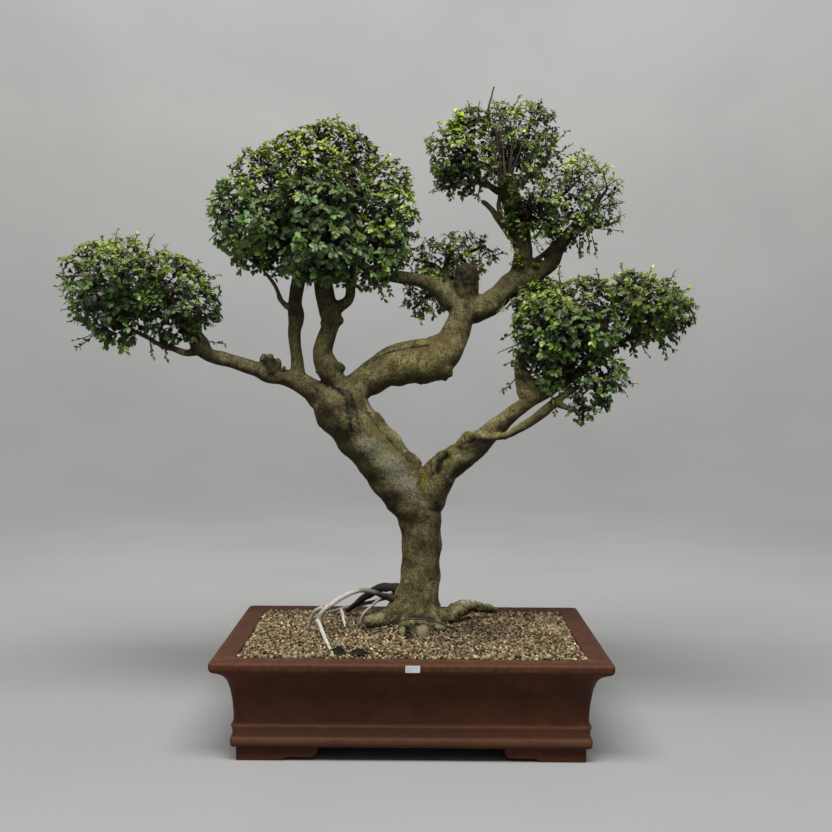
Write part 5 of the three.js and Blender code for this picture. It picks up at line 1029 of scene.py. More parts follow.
# ------------------------------------------------------------ twigs, leaves
targets = []
for gi, gname in enumerate(names):
    ls = lob[lobe_of == gi]
    lo, hi = (ls[:, :3] - ls[:, 3:]).min(0), (ls[:, :3] + ls[:, 3:]).max(0)
    vol = np.prod(hi - lo) / 1e6
    m = int(vol * 640 * FULL[gname][0])
    p = lo + rng.random((m, 3)) * (hi - lo)
    g, s = inside(p)
    edge_at = 0.90 + 0.36 * (noise(p, 30, 40 + gi) - 0.40)
    keep = (g == gi) & (s < edge_at) & (rng.random(m) < 0.22 + 1.0 * np.clip(s - 0.25, 0, 1))
    keep &= noise(p, 22, 50 + gi) > np.where(np.isin(g, [names.index(k_) for k_ in ("foliage_crown_left", "foliage_crown_top", "foliage_crown_right")]), 0.41, np.where(up_pad(p[:, 2], g) > 0.5, 0.27, 0.33))
    targets.append(p[keep])
targets = np.vstack(targets)
print("targets", len(targets))

pos, par, base_r = [], [], []
for name, line in samples:
    if name.startswith("r_") or name.startswith("b_"):
        continue
    prev = -1
    step = 0
    last = None
    for row in line:
        if last is not None and np.linalg.norm(row[:3] - last) < 6:
            continue
        last = row[:3]
        g, s = inside(row[None, :3])
        if row[3] < 9.5 and s[0] < 1.9:
            pos.append(row[:3].copy())
            par.append(-1)
            base_r.append(row[3])
n_base = len(pos)
pos = [np.array(p) for p in pos]
STEP, FAR, NEAR = 7.2, 70.0, 8.2
live = targets.copy()
tried = {}
for it in range(60):
    tree_kd = kdtree.KDTree(len(pos))
    for i, p in enumerate(pos):
        tree_kd.insert(p, i)
    tree_kd.balance()
    pull = {}
    for a in live:
        _, i, d = tree_kd.find(a)
        if d < FAR:
            v = (a - pos[i]) / max(d, 1e-6)
            if i in pull:
                pull[i][0] += v
                pull[i][1] += 1
            else:
                pull[i] = [v.copy(), 1]
    fresh = []
    for i, (v, c_) in pull.items():
        lv = np.linalg.norm(v)
        if lv < 0.2:
            v = rng.normal(size=3)
            lv = np.linalg.norm(v)
        d = v / lv
        if par[i] >= 0:
            back = pos[i] - pos[par[i]]
            d = d + 0.35 * back / max(1e-6, np.linalg.norm(back))
        d = d + rng.normal(size=3) * 0.22 + np.array([0, 0, 0.06])
        d = d / np.linalg.norm(d)
        q = pos[i] + d * STEP
        _, _, dd = tree_kd.find(q)
        k_ = tried.get(i, 0)
        if dd < STEP * 0.45 or k_ > 3:
            continue
        tried[i] = k_ + 1
        fresh.append((q, i))
    if not fresh:
        break
    for q, i in fresh:
        pos.append(q)
        par.append(i)
        base_r.append(0.0)
    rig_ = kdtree.KDTree(len(fresh))
    for i, (q, _) in enumerate(fresh):
        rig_.insert(q, i)
    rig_.balance()
    live = np.array([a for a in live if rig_.find(a)[2] > NEAR])
    if len(live) < 5:
        break
pos = np.array(pos)
par = np.array(par)
print("twig nodes", len(pos) - n_base, "iterations", it, "left over", len(live))

kids = [[] for _ in pos]
for i, p in enumerate(par):
    if p >= 0:
        kids[p].append(i)
tips = np.zeros(len(pos))
order = np.arange(len(pos))[::-1]
for i in order:
    if not kids[i]:
        tips[i] = 1
    if par[i] >= 0:
        tips[par[i]] += tips[i]
R_TWIG = 0.44 * np.power(np.maximum(tips, 1), 0.37)
for i in range(n_base):
    R_TWIG[i] = min(R_TWIG[i], base_r[i])

twigs = Parts()
main = [max(k, key=lambda c: tips[c]) if k else -1 for k in kids]
for i in range(n_base, len(pos)):
    p = par[i]
    if p >= n_base and main[p] == i:
        continue
    chain = [p, i]
    while main[chain[-1]] >= 0:
        chain.append(main[chain[-1]])
    pts = pos[chain]
    rr = R_TWIG[chain].copy()
    rr[0] = min(rr[0], rr[1] * 1.25)
    rr[-1] *= 0.75
    if len(chain) == 2:
        pts = np.vstack([pts[0], (pts[0] + pts[1]) / 2 + rng.normal(size=3) * 0.5, pts[1]])
        rr = np.array([rr[0], (rr[0] + rr[1]) / 2, rr[1]])
    sides = 6 if rr.max() > 2.2 else 5 if rr.max() > 1.3 else 4 if rr.max() > 0.8 else 3
    if sides == 3 and len(pts) > 3:
        some = sorted(set(range(0, len(pts), 2)) | {len(pts) - 1})
        pts, rr = pts[some], rr[some]
    c_, q_, t_ = tube(np.concatenate([pts, rr[:, None]], 1), sides, 1.0)
    young = np.clip(1.15 - rr.max() / 3.2, 0.15, 1.0)
    twigs.add(c_, q_, t_, [0, 0, young])
c, polys, at = twigs.done()
_, how = inside(c)
# painted shade on twigs deep inside the leaf masses
shade4 = np.zeros_like(at)
shade4[:, 0] = 0.85 * np.clip((0.95 - how) / 0.35, 0, 1)
make("twigs", c, polys, BARK, {"m1": np.zeros_like(at), "m2": at, "m3": np.zeros_like(at), "m4": shade4}, slot="bark")
print("twig tris", sum(len(p) * (p.shape[1] - 2) for p in polys))

# bare straight shoots, mostly in the crown
bare = Parts()
outer = np.where(np.arange(len(pos)) >= n_base)[0]
g_, s_ = inside(pos[outer])
for gname, count, reach_ in (("foliage_crown_top", 60, 62), ("foliage_crown_right", 52, 46), ("foliage_crown_left", 26, 44), ("foliage_center_top", 26, 40),
                             ("foliage_left_inner", 16, 30), ("foliage_left_outer", 16, 30), ("foliage_right_main", 18, 34), ("foliage_right_tip", 14, 30), ("foliage_back", 16, 30), ("foliage_center_left", 14, 30)):
    gi = names.index(gname)
    cand = outer[(g_ == gi) & (s_ > 0.35) & (s_ < 0.95)]
    cen = np.array(LOBES[gname]["centre"], float)
    for i in rng.choice(cand, count):
        d = unit(unit(pos[i] - cen) * 0.8 + np.array([0, -0.15, 0.55]) + rng.normal(size=3) * 0.45)
        L_ = reach_ * (0.35 + 0.75 * rng.random())
        st = pos[i] - d * L_ * 0.35
        pts = np.array([st, st + d * L_ * 0.5 + rng.normal(size=3) * 1.3, st + d * L_])
        gg, ss = inside(pts[-1:])
        if ss[0] > 1.16:
            pts[1:] = pts[0] + (pts[1:] - pts[0]) * 0.6
        r0 = 0.55 + 0.5 * rng.random()
        c_, q_, t_ = tube(np.concatenate([pts, np.array([[r0], [r0 * 0.75], [r0 * 0.4]])], 1), 4, 1.0)
        bare.add(c_, q_, t_, [0, 0, 0.9])
c, polys, at = bare.done()
make("bare_shoots", c, polys, BARK, {"m1": np.zeros_like(at), "m2": at, "m3": np.zeros_like(at), "m4": np.zeros_like(at)}, slot="bark")

# Shoots that break the outline, seen from the front camera: from (across, down)
# to (across, down), at a depth in millimetres, with a share of leaves.
SHOOTS = [
    ((319, 150), (319, 119), 0, 1), ((336, 152), (336.5, 115), 10, 1), ((291, 152), (291, 132), -10, 1), ((301, 148), (306, 133), -20, 1), ((349, 150), (358, 139), 10, 1), ((330, 145), (331, 130), -20, 1),
    ((376, 172), (389, 156), 30, 1), ((395, 190), (408, 169), 30, 1), ((398, 196), (412, 180), 20, 1), ((398, 225), (413, 215), 20, 1), ((398, 235), (411, 234), 26, 1), ((232, 200), (213, 199), 0, 1),
    ((228, 215), (208, 217), 4, 1), ((226, 232), (211, 238), 0, 1), ((236, 245), (231, 262), 0, 1), ((246, 248), (240, 273), -6, 1), ((238, 170), (226, 166), 0, 1), ((252, 162), (246, 149), 10, 1), ((268, 156), (265, 142), 0, 1),
    ((330, 258), (330, 284), -30, 2), ((344, 258), (347, 286), -20, 2), ((362, 262), (366, 280), -10, 1), ((372, 266), (384, 299), 0, 1), ((378, 270), (391, 293), 6, 1), ((300, 262), (294, 281), -30, 2), ((312, 262), (308, 282), -30, 2),
    ((280, 258), (284, 276), -20, 1), ((262, 255), (257, 266), 0, 1), ((352, 262), (356, 282), -30, 2), ((392, 252), (399, 262), 20, 1),
    ((118, 252), (117, 231), 0, 1), ((134, 252), (138, 234), -10, 1), ((148, 248), (155, 233), 10, 0), ((147, 252), (150, 238), 0, 1), ((104, 252), (101, 236), 0, 1), ((166, 256), (165, 245), 20, 1), ((86, 262), (79, 247), 0, 1),
    ((84, 266), (60, 259), 0, 1), ((80, 284), (57, 287), 0, 1), ((84, 276), (58, 277), 8, 1), ((95, 311), (60, 310), 0, 0), ((92, 318), (68, 322), -10, 1), ((96, 330), (71, 341), 0, 0), ((94, 334), (77, 348), -10, 1),
    ((124, 328), (124, 351), -20, 2), ((108, 328), (104, 346), -10, 2), ((202, 290), (217, 275), 20, 1), ((204, 318), (221, 319), 20, 1), ((196, 340), (224, 344), 20, 1), ((190, 272), (199, 262), 20, 1), ((150, 340), (152, 356), -20, 1), ((165, 344), (166, 358), 0, 1),
    ((472, 128), (468, 102), 70, 1), ((461, 128), (459, 110), 70, 1), ((503, 126), (520, 95), 90, 1), ((500, 120), (509, 101), 90, 1), ((534, 122), (542, 98), 84, 1), ((538, 134), (557, 127), 84, 1), ((526, 112), (527, 99), 100, 0), ((478, 112), (480, 100), 90, 1),
    ((546, 152), (568, 130), 110, 1), ((548, 160), (574, 143), 112, 1), ((556, 168), (582, 158), 110, 1), ((598, 192), (619, 179), 90, 1), ((598, 204), (618, 191), 84, 1), ((600, 222), (626, 214), 70, 0), ((590, 228), (624, 231), 70, 0), ((524, 236), (512, 214), 70, 1), ((532, 232), (529, 208), 66, 1), ((540, 232), (546, 206), 66, 1), ((521, 216), (509, 200), 70, 1), ((531, 216), (541, 196), 72, 1), ((549, 224), (560, 204), 70, 1), ((516, 232), (504, 222), 72, 1), ((536, 226), (520, 222), 66, 1), ((520, 250), (510, 246), 70, 1), ((526, 206), (538, 186), 70, 1), ((512, 212), (520, 196), 72, 1), ((500, 184), (486, 120), 24, 0), ((502, 180), (494, 110), 30, 0), ((505, 182), (507, 114), 18, 0), ((508, 180), (519, 110), 26, 0), ((510, 184), (531, 122), 22, 0), ((513, 186), (546, 134), 30, 0), ((516, 190), (556, 152), 36, 0), ((498, 186), (478, 142), 26, 0), ((506, 176), (500, 128), 14, 0), ((511, 172), (525, 132), 12, 0), ((518, 246), (505, 232), 66, 1), ((528, 246), (520, 226), 62, 1), ((536, 242), (534, 220), 64, 1), ((544, 238), (552, 218), 66, 1), ((552, 236), (561, 214), 68, 1), ((512, 226), (502, 210), 68, 1), ((518, 206), (509, 190), 66, 1), ((524, 200), (516, 182), 64, 1), ((534, 206), (528, 190), 62, 1), ((542, 214), (540, 196), 64, 1), ((550, 206), (552, 190), 66, 1), ((528, 258), (516, 252), 66, 1), ((506, 300), (498, 312), 60, 1), ((522, 296), (508, 306), 54, 1),
    ((587, 236), (589, 252), 80, 1), ((592, 236), (596, 254), 80, 1), ((604, 226), (620, 222), 66, 1), ((580, 236), (582, 256), 80, 1), ((448, 146), (428, 147), 70, 1), ((448, 188), (432, 192), 70, 1), ((466, 184), (464, 198), 74, 1), ((444, 132), (438, 124), 70, 1),
    ((480, 186), (478, 199), 80, 1), ((455, 184), (452, 198), 74, 1), ((572, 162), (580, 150), 112, 1), ((612, 205), (622, 203), 84, 0),
    ((618, 286), (622, 263), 20, 1), ((648, 286), (652, 268), 20, 1), ((664, 290), (675, 270), 20, 1), ((674, 298), (692, 288), 20, 1), ((676, 312), (693, 303), 24, 1), ((674, 324), (694, 323), 26, 1), ((600, 284), (596, 270), 20, 1), ((560, 282), (560, 266), 40, 1),
    ((655, 332), (668, 359), 20, 1), ((652, 334), (675, 350), 20, 1), ((640, 336), (651, 358), 20, 0), ((630, 338), (634, 354), 20, 1), ((520, 300), (505, 309), 20, 1), ((516, 345), (498, 353), 10, 0), ((516, 378), (502, 391), 10, 1), ((518, 360), (506, 364), 10, 1), ((514, 332), (504, 338), 10, 1),
    ((616, 374), (635, 384), -24, 1), ((612, 378), (626, 394), -24, 1), ((598, 384), (601, 402), -30, 2), ((600, 388), (607, 405), -30, 1), ((584, 398), (579, 424), -46, 1), ((582, 398), (590, 419), -46, 1), ((562, 398), (554, 415), -40, 1), ((590, 400), (598, 412), -46, 1), ((576, 402), (570, 414), -46, 1),
    ((450, 244), (452, 232), 130, 1), ((478, 248), (487, 236), 136, 1), ((484, 258), (506, 253), 136, 1), ((424, 300), (421, 323), 140, 1), ((414, 298), (400, 307), 140, 1), ((468, 242), (465, 232), 130, 1), ((430, 246), (424, 238), 136, 1), ((432, 304), (434, 318), 140, 1), ((410, 290), (402, 288), 140, 1),
]


def at_px(u, v, y):
    """The point at depth y that the front camera sees at (u, v)."""
    d = CAM_R @ Vector(((u - 416) / CAM_F, 1.0, -(v - 416) / CAM_F))
    return CAM_MM + np.array(d) * ((y - CAM_MM[1]) / d.y)


shoot_bars = Parts()
shoot_sites, shoot_dirs, shoot_alt, shoot_big, shoot_tone = [], [], [], [], []
for si, (a_uv, b_uv, y_, lf) in enumerate(SHOOTS):
    a, b_ = at_px(*a_uv, y_ + 16 * (rng.random() - 0.5)), at_px(*b_uv, y_ - 8 + 16 * (rng.random() - 0.5))
    bend = rng.normal(size=3) * 0.05 * np.linalg.norm(b_ - a)
    row = np.array([[*a, 1.0], [*((a + b_) / 2 + bend), 0.8], [*b_, 0.45]])
    line = smooth(row, 5.0)
    c_, q_, t_ = tube(line, 4)
    shoot_bars.add(c_, q_, t_, [0, 0, 0.8])
    if not lf:
        tip = line[-4:]
        for q in tip[::2]:
            shoot_sites.append(q[:3]); shoot_dirs.append(unit(b_ - a)); shoot_alt.append(1); shoot_big.append(0.7); shoot_tone.append((1.15, 0.0))
        continue
    L_ = np.linalg.norm(b_ - a)
    m_ = int(L_ * (0.24 if lf == 1 else 0.17)) + 1
    for j_ in range(m_):
        w_ = 0.30 + 0.70 * j_ / max(1, m_ - 1)
        q = (1 - w_) ** 2 * a + 2 * w_ * (1 - w_) * ((a + b_) / 2 + bend) + w_ ** 2 * b_
        shoot_sites.append(q); shoot_dirs.append(unit(b_ - a)); shoot_alt.append(1 if j_ % 2 else -1); shoot_big.append(1.0 if lf == 1 else 1.35); shoot_tone.append((1.15, 0.0))
# Tufts on their own short twigs: middle (across, down), half widths, depth, half
# depth, where they leave the limb, how many shoots, leaves on each, tone, youth.
for u_, v_, ru_, rv_, y_, ry_, root_, cnt_, lv_, tone_, youth_ in (
        (533, 214, 30, 19, 64, 14, (520, 232, 84), 50, 7, 0.95, 0.10), (460, 168, 28, 20, 58, 18, (488, 185, 80), 52, 7, 0.80, -0.25), (457, 125, 21, 15, 58, 16, (478, 160, 82), 44, 7, 1.0, 0.70),
        (504, 148, 26, 26, 94, 22, (506, 171, 98), 42, 6, 0.50, -0.50), (530, 287, 30, 14, 112, 18, (541, 303, 48), 44, 7, 0.48, -0.50), (519, 262, 9, 6, 72, 4, (517, 264, 80), 9, 6, 0.85, 0.10),
        (538, 268, 5, 4, 80, 4, (538, 268, 86), 4, 6, 0.85, 0.10), (612, 338, 15, 10, -76, 8, (612, 345, -56), 14, 7, 0.80, 0.0), (140, 300, 30, 8, -66, 7, (148, 302, -48), 18, 7, 0.70, -0.20),
        (556, 224, 14, 12, 84, 10, (562, 240, 98), 14, 7, 0.85, 0.0), (190, 331, 15, 9, -12, 8, (197, 338, 6), 18, 7, 0.60, -0.30), (163, 344, 14, 4, -8, 5, (168, 349, -4), 8, 6, 0.60, -0.30)):
    A_ = at_px(*root_)
    bones = []
    for k_ in range(6):
        v3 = unit(rng.normal(size=3)) * 0.55 * (0.4 + 0.6 * rng.random())
        B_ = at_px(u_ + ru_ * v3[0], v_ + rv_ * v3[2], y_ + ry_ * v3[1])
        mid_ = (A_ + B_) / 2 + rng.normal(size=3) * 0.06 * np.linalg.norm(B_ - A_)
        line = smooth(np.array([[*A_, 1.5], [*mid_, 1.15], [*B_, 0.8]]), 7.0)
        c_, q_, t_ = tube(line, 4)
        shoot_bars.add(c_, q_, t_, [0, 0, 0.9])
        bones.append(line[1:, :3])
    bones = np.vstack(bones)
    for k_ in range(cnt_):
        v3 = unit(rng.normal(size=3)) * rng.random() ** 0.42
        T_ = at_px(u_ + ru_ * v3[0], v_ + rv_ * v3[2], y_ + ry_ * v3[1])
        S_ = bones[((bones - T_) ** 2).sum(1).argmin()]
        if np.linalg.norm(T_ - S_) < 5:
            T_ = S_ + unit(rng.normal(size=3) + np.array([0, -0.3, 0.6])) * 9
        mid_ = (S_ + T_) / 2 + rng.normal(size=3) * 0.07 * np.linalg.norm(T_ - S_)
        line = smooth(np.array([[*S_, 0.7], [*mid_, 0.55], [*T_, 0.35]]), 9.0)
        c_, q_, t_ = tube(line, 3)
        shoot_bars.add(c_, q_, t_, [0, 0, 0.9])
        for j_ in range(lv_):
            w_ = 0.22 + 0.78 * j_ / (lv_ - 1)
            shoot_sites.append((1 - w_) ** 2 * S_ + 2 * w_ * (1 - w_) * mid_ + w_ ** 2 * T_)
            shoot_dirs.append(unit(T_ - S_)); shoot_alt.append(1 if j_ % 2 else -1); shoot_big.append(1.28 if u_ < 480 and v_ < 200 and u_ > 400 else 1.0); shoot_tone.append((tone_, youth_))
c, polys, at = shoot_bars.done()
make("outline_shoots", c, polys, BARK, {"m1": np.zeros_like(at), "m2": at, "m3": np.zeros_like(at), "m4": np.zeros_like(at)}, slot="bark")

MORE = [{"left": 0.30, "center": 0.90, "crown": 0.30, "right": 0.65, "back": 0.20}[k_.split("_")[1]] for k_ in names]
# leaves sit on the young shoots, two-ranked, each pair of ranks turned its own way
sites, dirs, kind, alt = [], [], [], []
for i in range(n_base, len(pos)):
    if tips[i] > 5:
        continue
    d = unit(pos[i] - pos[par[i]])
    g, s = inside(pos[i][None])
    share = FULL[names[g[0]]][1]
    high = np.clip((up_pad(pos[i][2], g)[0] - 0.40) / 0.35, 0, 1) * MORE[g[0]]
    cnt = 1.68 * share * (0.55 + 0.75 * np.clip((s[0] - 0.30) / 0.5, 0, 1)) * (1 + high)
    if not kids[i]:
        cnt += 1.5 * share
    k_ = int(cnt) + (rng.random() < cnt - int(cnt))
    for j in range(k_):
        sites.append(pos[i] - d * STEP * (j / max(1, k_)) * 0.95)
        dirs.append(d)
        alt.append(1 if (i + j) % 2 else -1)
n_grown = len(sites)
sites, dirs, alt = np.vstack([sites, shoot_sites]), np.vstack([dirs, shoot_dirs]), np.concatenate([alt, shoot_alt])
g, s = inside(sites)
centre = np.array([LOBES[k]["centre"] for k in names], float)[g]
N = len(sites)
up = np.array([0, 0, 1.0])
outward = unit(sites - centre)
facing0 = unit(up * 0.75 + outward * 0.70 + np.array([0, -0.12, 0]) + rng.normal(size=(N, 3)) * 0.30)
side = unit(np.cross(dirs, facing0) + rng.normal(size=(N, 3)) * 0.15) * alt[:, None]
axis = unit(dirs * (0.35 + 0.5 * rng.random(N))[:, None] + side * 0.85 + outward * 0.18 + rng.normal(size=(N, 3)) * 0.22 - up * 0.10)
facing = unit(facing0 - axis * (facing0 * axis).sum(1, keepdims=True))
across = np.cross(axis, facing)

# leaf size: largest low in the middle of the pads, smallest at the tops and tips
big = np.zeros(N)
for x, y, z, rx, rz, k_ in ((-146, -60, 800, 95, 66, 1), (-470, -40, 700, 70, 42, .9), (-250, -40, 800, 60, 50, .7), (250, -50, 640, 85, 55, .6), (330, -40, 670, 60, 45, .5)):
    big = np.maximum(big, k_ * np.exp(-(((sites[:, 0] - x) / rx) ** 2 + ((sites[:, 2] - z) / rz) ** 2)))
crown = np.isin(g, [names.index(k) for k in ("foliage_crown_left", "foliage_crown_top", "foliage_crown_right", "foliage_back")])
length = (8.7 + 5.0 * big) * (0.78 + 0.44 * rng.random(N)) * np.where(crown, 0.92, 1.0) * np.where(s > 0.88, 0.84, 1.0)
length = np.where(rng.random(N) < 0.10 * (1 - crown), length * 1.25, length)
high = np.clip((up_pad(sites[:, 2], g) - 0.42) / 0.35, 0, 1)
length *= 1.03 - 0.10 * high
length[n_grown:] *= np.array(shoot_big) * 1.05
width = length * (0.56 + 0.16 * rng.random(N))

# colour
rel_top = np.clip(outward[:, 2] * 0.6 + (s - 0.55) * 0.9, 0, 1)
patch = noise(sites, 42, 70)
spots = np.clip((noise(sites, 20, 71) - 0.70) * 6, 0, 1) * (s > 0.72)
spots = np.maximum(spots, 0.0)
seen = (np.array(CAM_R.transposed()) @ (sites - CAM_MM).T).T
su, sv_ = 416 + CAM_F * seen[:, 0] / seen[:, 1], 416 - CAM_F * seen[:, 2] / seen[:, 1]
near = sites[:, 1] < centre[:, 1] + 12
for u_, v_, r_, k_ in ((366, 224, 9, 1), (381, 233, 9, .9), (272, 219, 9, .7), (245, 245, 8, .9), (262, 258, 5, .9), (308, 243, 5, .7), (388, 192, 6, .35), (240, 178, 8, .5), (252, 160, 8, .7), (300, 158, 20, .30), (350, 160, 18, .25),
                       (450, 125, 16, 1), (462, 118, 13, 1), (515, 108, 12, .7), (561, 134, 7, .8), (518, 195, 6, 1.1), (505, 207, 4, 1.1), (560, 186, 22, .45), (590, 180, 14, .4), (117, 252, 14, .7), (150, 250, 16, .6), (100, 246, 9, .6),
                       (160, 328, 3, 1), (145, 298, 4, .6), (105, 285, 5, .5), (587, 305, 6, 1), (568, 303, 4, .9), (640, 306, 12, .6), (650, 320, 9, .8), (622, 268, 7, .8), (652, 272, 8, .8), (672, 275, 6, .8), (548, 374, 5, .6), (690, 292, 6, .6)):
    d2 = (su - u_) ** 2 + (sv_ - v_) ** 2
    spots = np.maximum(spots, k_ * np.exp(-d2 / (2 * r_ ** 2)) * (rng.random(N) < 0.85) * near)
calm = 1 - 0.75 * np.exp(-((sites - at_px(546, 297, -20)) ** 2 * np.array([1, 0.25, 1])).sum(1) / (2 * 40.0 ** 2)) - 0.7 * np.exp(-((su - 200) ** 2 + (sv_ - 282) ** 2) / (2 * 14.0 ** 2)) - 0.8 * np.exp(-((su - 393) ** 2 + (sv_ - 190) ** 2) / (2 * 17.0 ** 2))
tone_add = np.zeros(N)
tone_add[n_grown:] = np.array(shoot_tone)[:, 1]
young = np.clip(calm, 0, 1) * np.clip((rel_top - 0.44) * 1.6 + (patch - 0.54) * 1.8 + (rng.random(N) - 0.5) * 0.5 + tone_add, 0, 1)
young = np.maximum(young, np.clip(0.85 * spots, 0, 1) * (0.65 + 0.35 * rng.random(N))) * np.where(s > 0.55, 1, 0.15)
dark_c = np.array([0.030, 0.066, 0.010])
mid_c = np.array([0.092, 0.174, 0.019])
new_c = np.array([0.315, 0.415, 0.040])
olive = (0.85 * high * np.clip(0.4 + 1.2 * (noise(sites, 26, 75)), 0, 1))[:, None]
dark_c = dark_c * (1 - olive) + olive * np.array([0.050, 0.080, 0.009])
mid_c = mid_c * (1 - olive) + olive * np.array([0.150, 0.205, 0.019])
col = dark_c + (mid_c - dark_c) * np.clip(0.05 + 0.95 * rng.random(N) + 0.4 * (patch - 0.5), 0, 1)[:, None]
col = col + (new_c - col) * (young ** 1.1)[:, None]
blue = (big * 0.60 * (1 - young))[:, None]
col = col * (1 - blue) + blue * np.array([0.076, 0.144, 0.070])
# painted shade: the inside of each mass is darker
col *= (0.07 + 0.93 * np.clip((s - 0.53) / 0.34, 0, 1) ** 1.15)[:, None]
col[g == names.index("foliage_back")] *= np.array([1.42, 1.30, 1.25])
# painted light: outer leaves on the near side and low in each mass are brighter
col *= (1 + 0.38 * (1 - high) * np.clip((s - 0.74) / 0.2, 0, 1) * (sites[:, 1] < centre[:, 1]))[:, None]
col[n_grown:] *= np.array(shoot_tone)[:, :1]
yellow = rng.random(N) < 0.003
col[yellow] = np.array([0.42, 0.42, 0.06])
brownish = rng.random(N) < 0.006
col[brownish] = np.array([0.11, 0.080, 0.030])
col *= ((0.47 + 1.28 * rng.random(N) ** 1.9) * (1 + 0.10 * high))[:, None]

ROWS = [(0.17, 0.26), (0.47, 0.50), (0.80, 0.35)]
NV = 2 + 3 * len(ROWS)
verts = np.zeros((N, NV, 3))
blade = np.zeros((N, NV, 3))
droop = (0.10 + 0.22 * rng.random(N)) * length
fold = 0.10 + 0.34 * rng.random(N)
twist = (rng.random(N) - 0.5) * 0.5
verts[:, 0] = sites


def at_(t, w, sgn, lift=0.0):
    wv = sgn * w * width
    ang = twist * t
    sx = np.cos(ang)
    sy = np.sin(ang)
    zz = -droop * t * t + np.abs(wv) * fold + lift * length
    return sites + axis * (t * length)[:, None] + across * (wv * sx)[:, None] + facing * (zz + wv * sy)[:, None]


for r_, (t_, w_) in enumerate(ROWS):
    wob = 0.03 * np.sin(twist * 30 + r_ * 2.1)
    verts[:, 1 + r_ * 3] = at_(t_, w_, -1, 0.0)
    verts[:, 2 + r_ * 3] = at_(t_, 0.0, 1, 0.0)
    verts[:, 3 + r_ * 3] = at_(t_, w_, 1, 0.0) + facing * (wob * length)[:, None]
    for q_, e_ in ((1, 1.0), (2, 0.0), (3, 1.0)):
        blade[:, q_ + r_ * 3, 0] = t_
        blade[:, q_ + r_ * 3, 1] = e_
verts[:, NV - 1] = at_(1.0, 0.0, 1, 0.0)
blade[:, NV - 1, 0] = 1.0
blade[:, :, 2] = (rng.random(N) < 0.10)[:, None] * 0.8
tri = [[0, 2, 1], [0, 3, 2]]
quad = []
for r_ in range(len(ROWS) - 1):
    a = 1 + r_ * 3
    quad += [[a, a + 1, a + 4, a + 3], [a + 1, a + 2, a + 5, a + 4]]
tri += [[NV - 4, NV - 3, NV - 1], [NV - 3, NV - 2, NV - 1]]
tri, quad = np.array(tri), np.array(quad)
# deep inside the masses a leaf has one row of points less
FEW = [0, 4, 5, 6, 7, 8, 9, 10]
tri_few = np.array([[0, 2, 1], [0, 3, 2], [4, 5, 7], [5, 6, 7]])
quad_few = np.array([[1, 2, 5, 4], [2, 3, 6, 5]])
deep_leaf = (s < 0.66) | ((sites[:, 1] > centre[:, 1] + 20) & (s < 0.86))

# no leaf reaches into the thick wood, and a few limbs stay in plain view from the front
wood_d = np.array([(kd.find(p)[2] - allp[kd.find(p)[1], 3]) for p in sites])
clear = wood_d > 1.0
lo_b = np.array(size_before[0])
hi_b = np.array(size_before[1])
wm = M(verts.reshape(-1, 3)).reshape(N, NV, 3)
margin = 0.009
fits = ((wm > lo_b - margin) & (wm < hi_b + margin)).all(axis=(1, 2))
bare = (np.abs(su - 526) < 13) & (sv_ > 368) & (sv_ < 402) & (sites[:, 1] < 20)
keep = clear & fits & ~bare
leaf_tris = 0
for gi, gname in enumerate(names):
    vs, Qs, Ts, cs, bs = [], [], [], [], []
    base = 0
    for pick, cols, tr_, qu_ in ((~deep_leaf, list(range(NV)), tri, quad), (deep_leaf, FEW, tri_few, quad_few)):
        sel = np.where(keep & (g == gi) & pick)[0]
        nv_ = len(cols)
        offs = base + (np.arange(len(sel)) * nv_)[:, None, None]
        vs.append(verts[sel][:, cols].reshape(-1, 3))
        Ts.append((tr_[None] + offs).reshape(-1, 3))
        Qs.append((qu_[None] + offs).reshape(-1, 4))
        cs.append(np.repeat(col[sel], nv_, axis=0))
        bs.append(blade[sel][:, cols].reshape(-1, 3))
        base += len(sel) * nv_
        leaf_tris += len(sel) * (len(tr_) + 2 * len(qu_))
    ob = make(gname.replace("foliage", "leaves"), np.vstack(vs), [np.vstack(Qs), np.vstack(Ts)], LEAF, {"leaf": np.vstack(cs), "blade": np.vstack(bs)}, slot="leaves")
    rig.replaces(ob, gname)
print("leaves", int(keep.sum()), "tris", leaf_tris, "deep", int((keep & deep_leaf).sum()))

# ----------------------------------------------------------------------- pot
L, D = 600.0, 420.0
PROFILE = [[29.5, 22.5, 6], [28.4, 24.4, 6], [27.6, 28, 7], [27.4, 32.0, 7], [28.2, 35.4, 7], [29.8, 37.0, 8],
           [30.5, 38.6, 8.5], [30.7, 44.5, 9], [29.9, 50.2, 9], [29.0, 52.4, 9], [28.9, 54.0, 9], [29.9, 55.8, 11], [31.0, 57.4, 15], [31.3, 61, 18], [31.0, 69, 19],
           [30.4, 78, 19], [29.5, 87, 20], [28.4, 95, 20], [27.2, 103, 20], [25.8, 110, 20], [24.2, 116, 19], [22.3, 121.5, 18], [20.2, 126, 17], [17.5, 130, 15],
           [14.6, 133, 13], [11.5, 135.4, 11], [8.4, 137.4, 9.5], [5.0, 139.2, 8], [3.0, 140.4, 7.2], [1.6, 142, 6.5], [0.6, 144, 6.2], [0.2, 146.5, 6], [0.2, 150, 6], [0.35, 152.6, 6],
           [0.9, 154.1, 6], [2.0, 155.1, 6], [3.6, 155.7, 6], [7.6, 156.0, 6], [16, 156.05, 6], [25, 156.05, 6], [31.5, 156.0, 6], [34.0, 155.8, 6], [35.0, 155.1, 6], [35.4, 154.0, 6], [36.0, 150.5, 6.6],
           [36.6, 146, 7], [37.4, 130, 8], [38.2, 112, 9], [39.6, 80, 11], [40.6, 62, 12], [44.5, 43, 14], [54, 36, 17]]


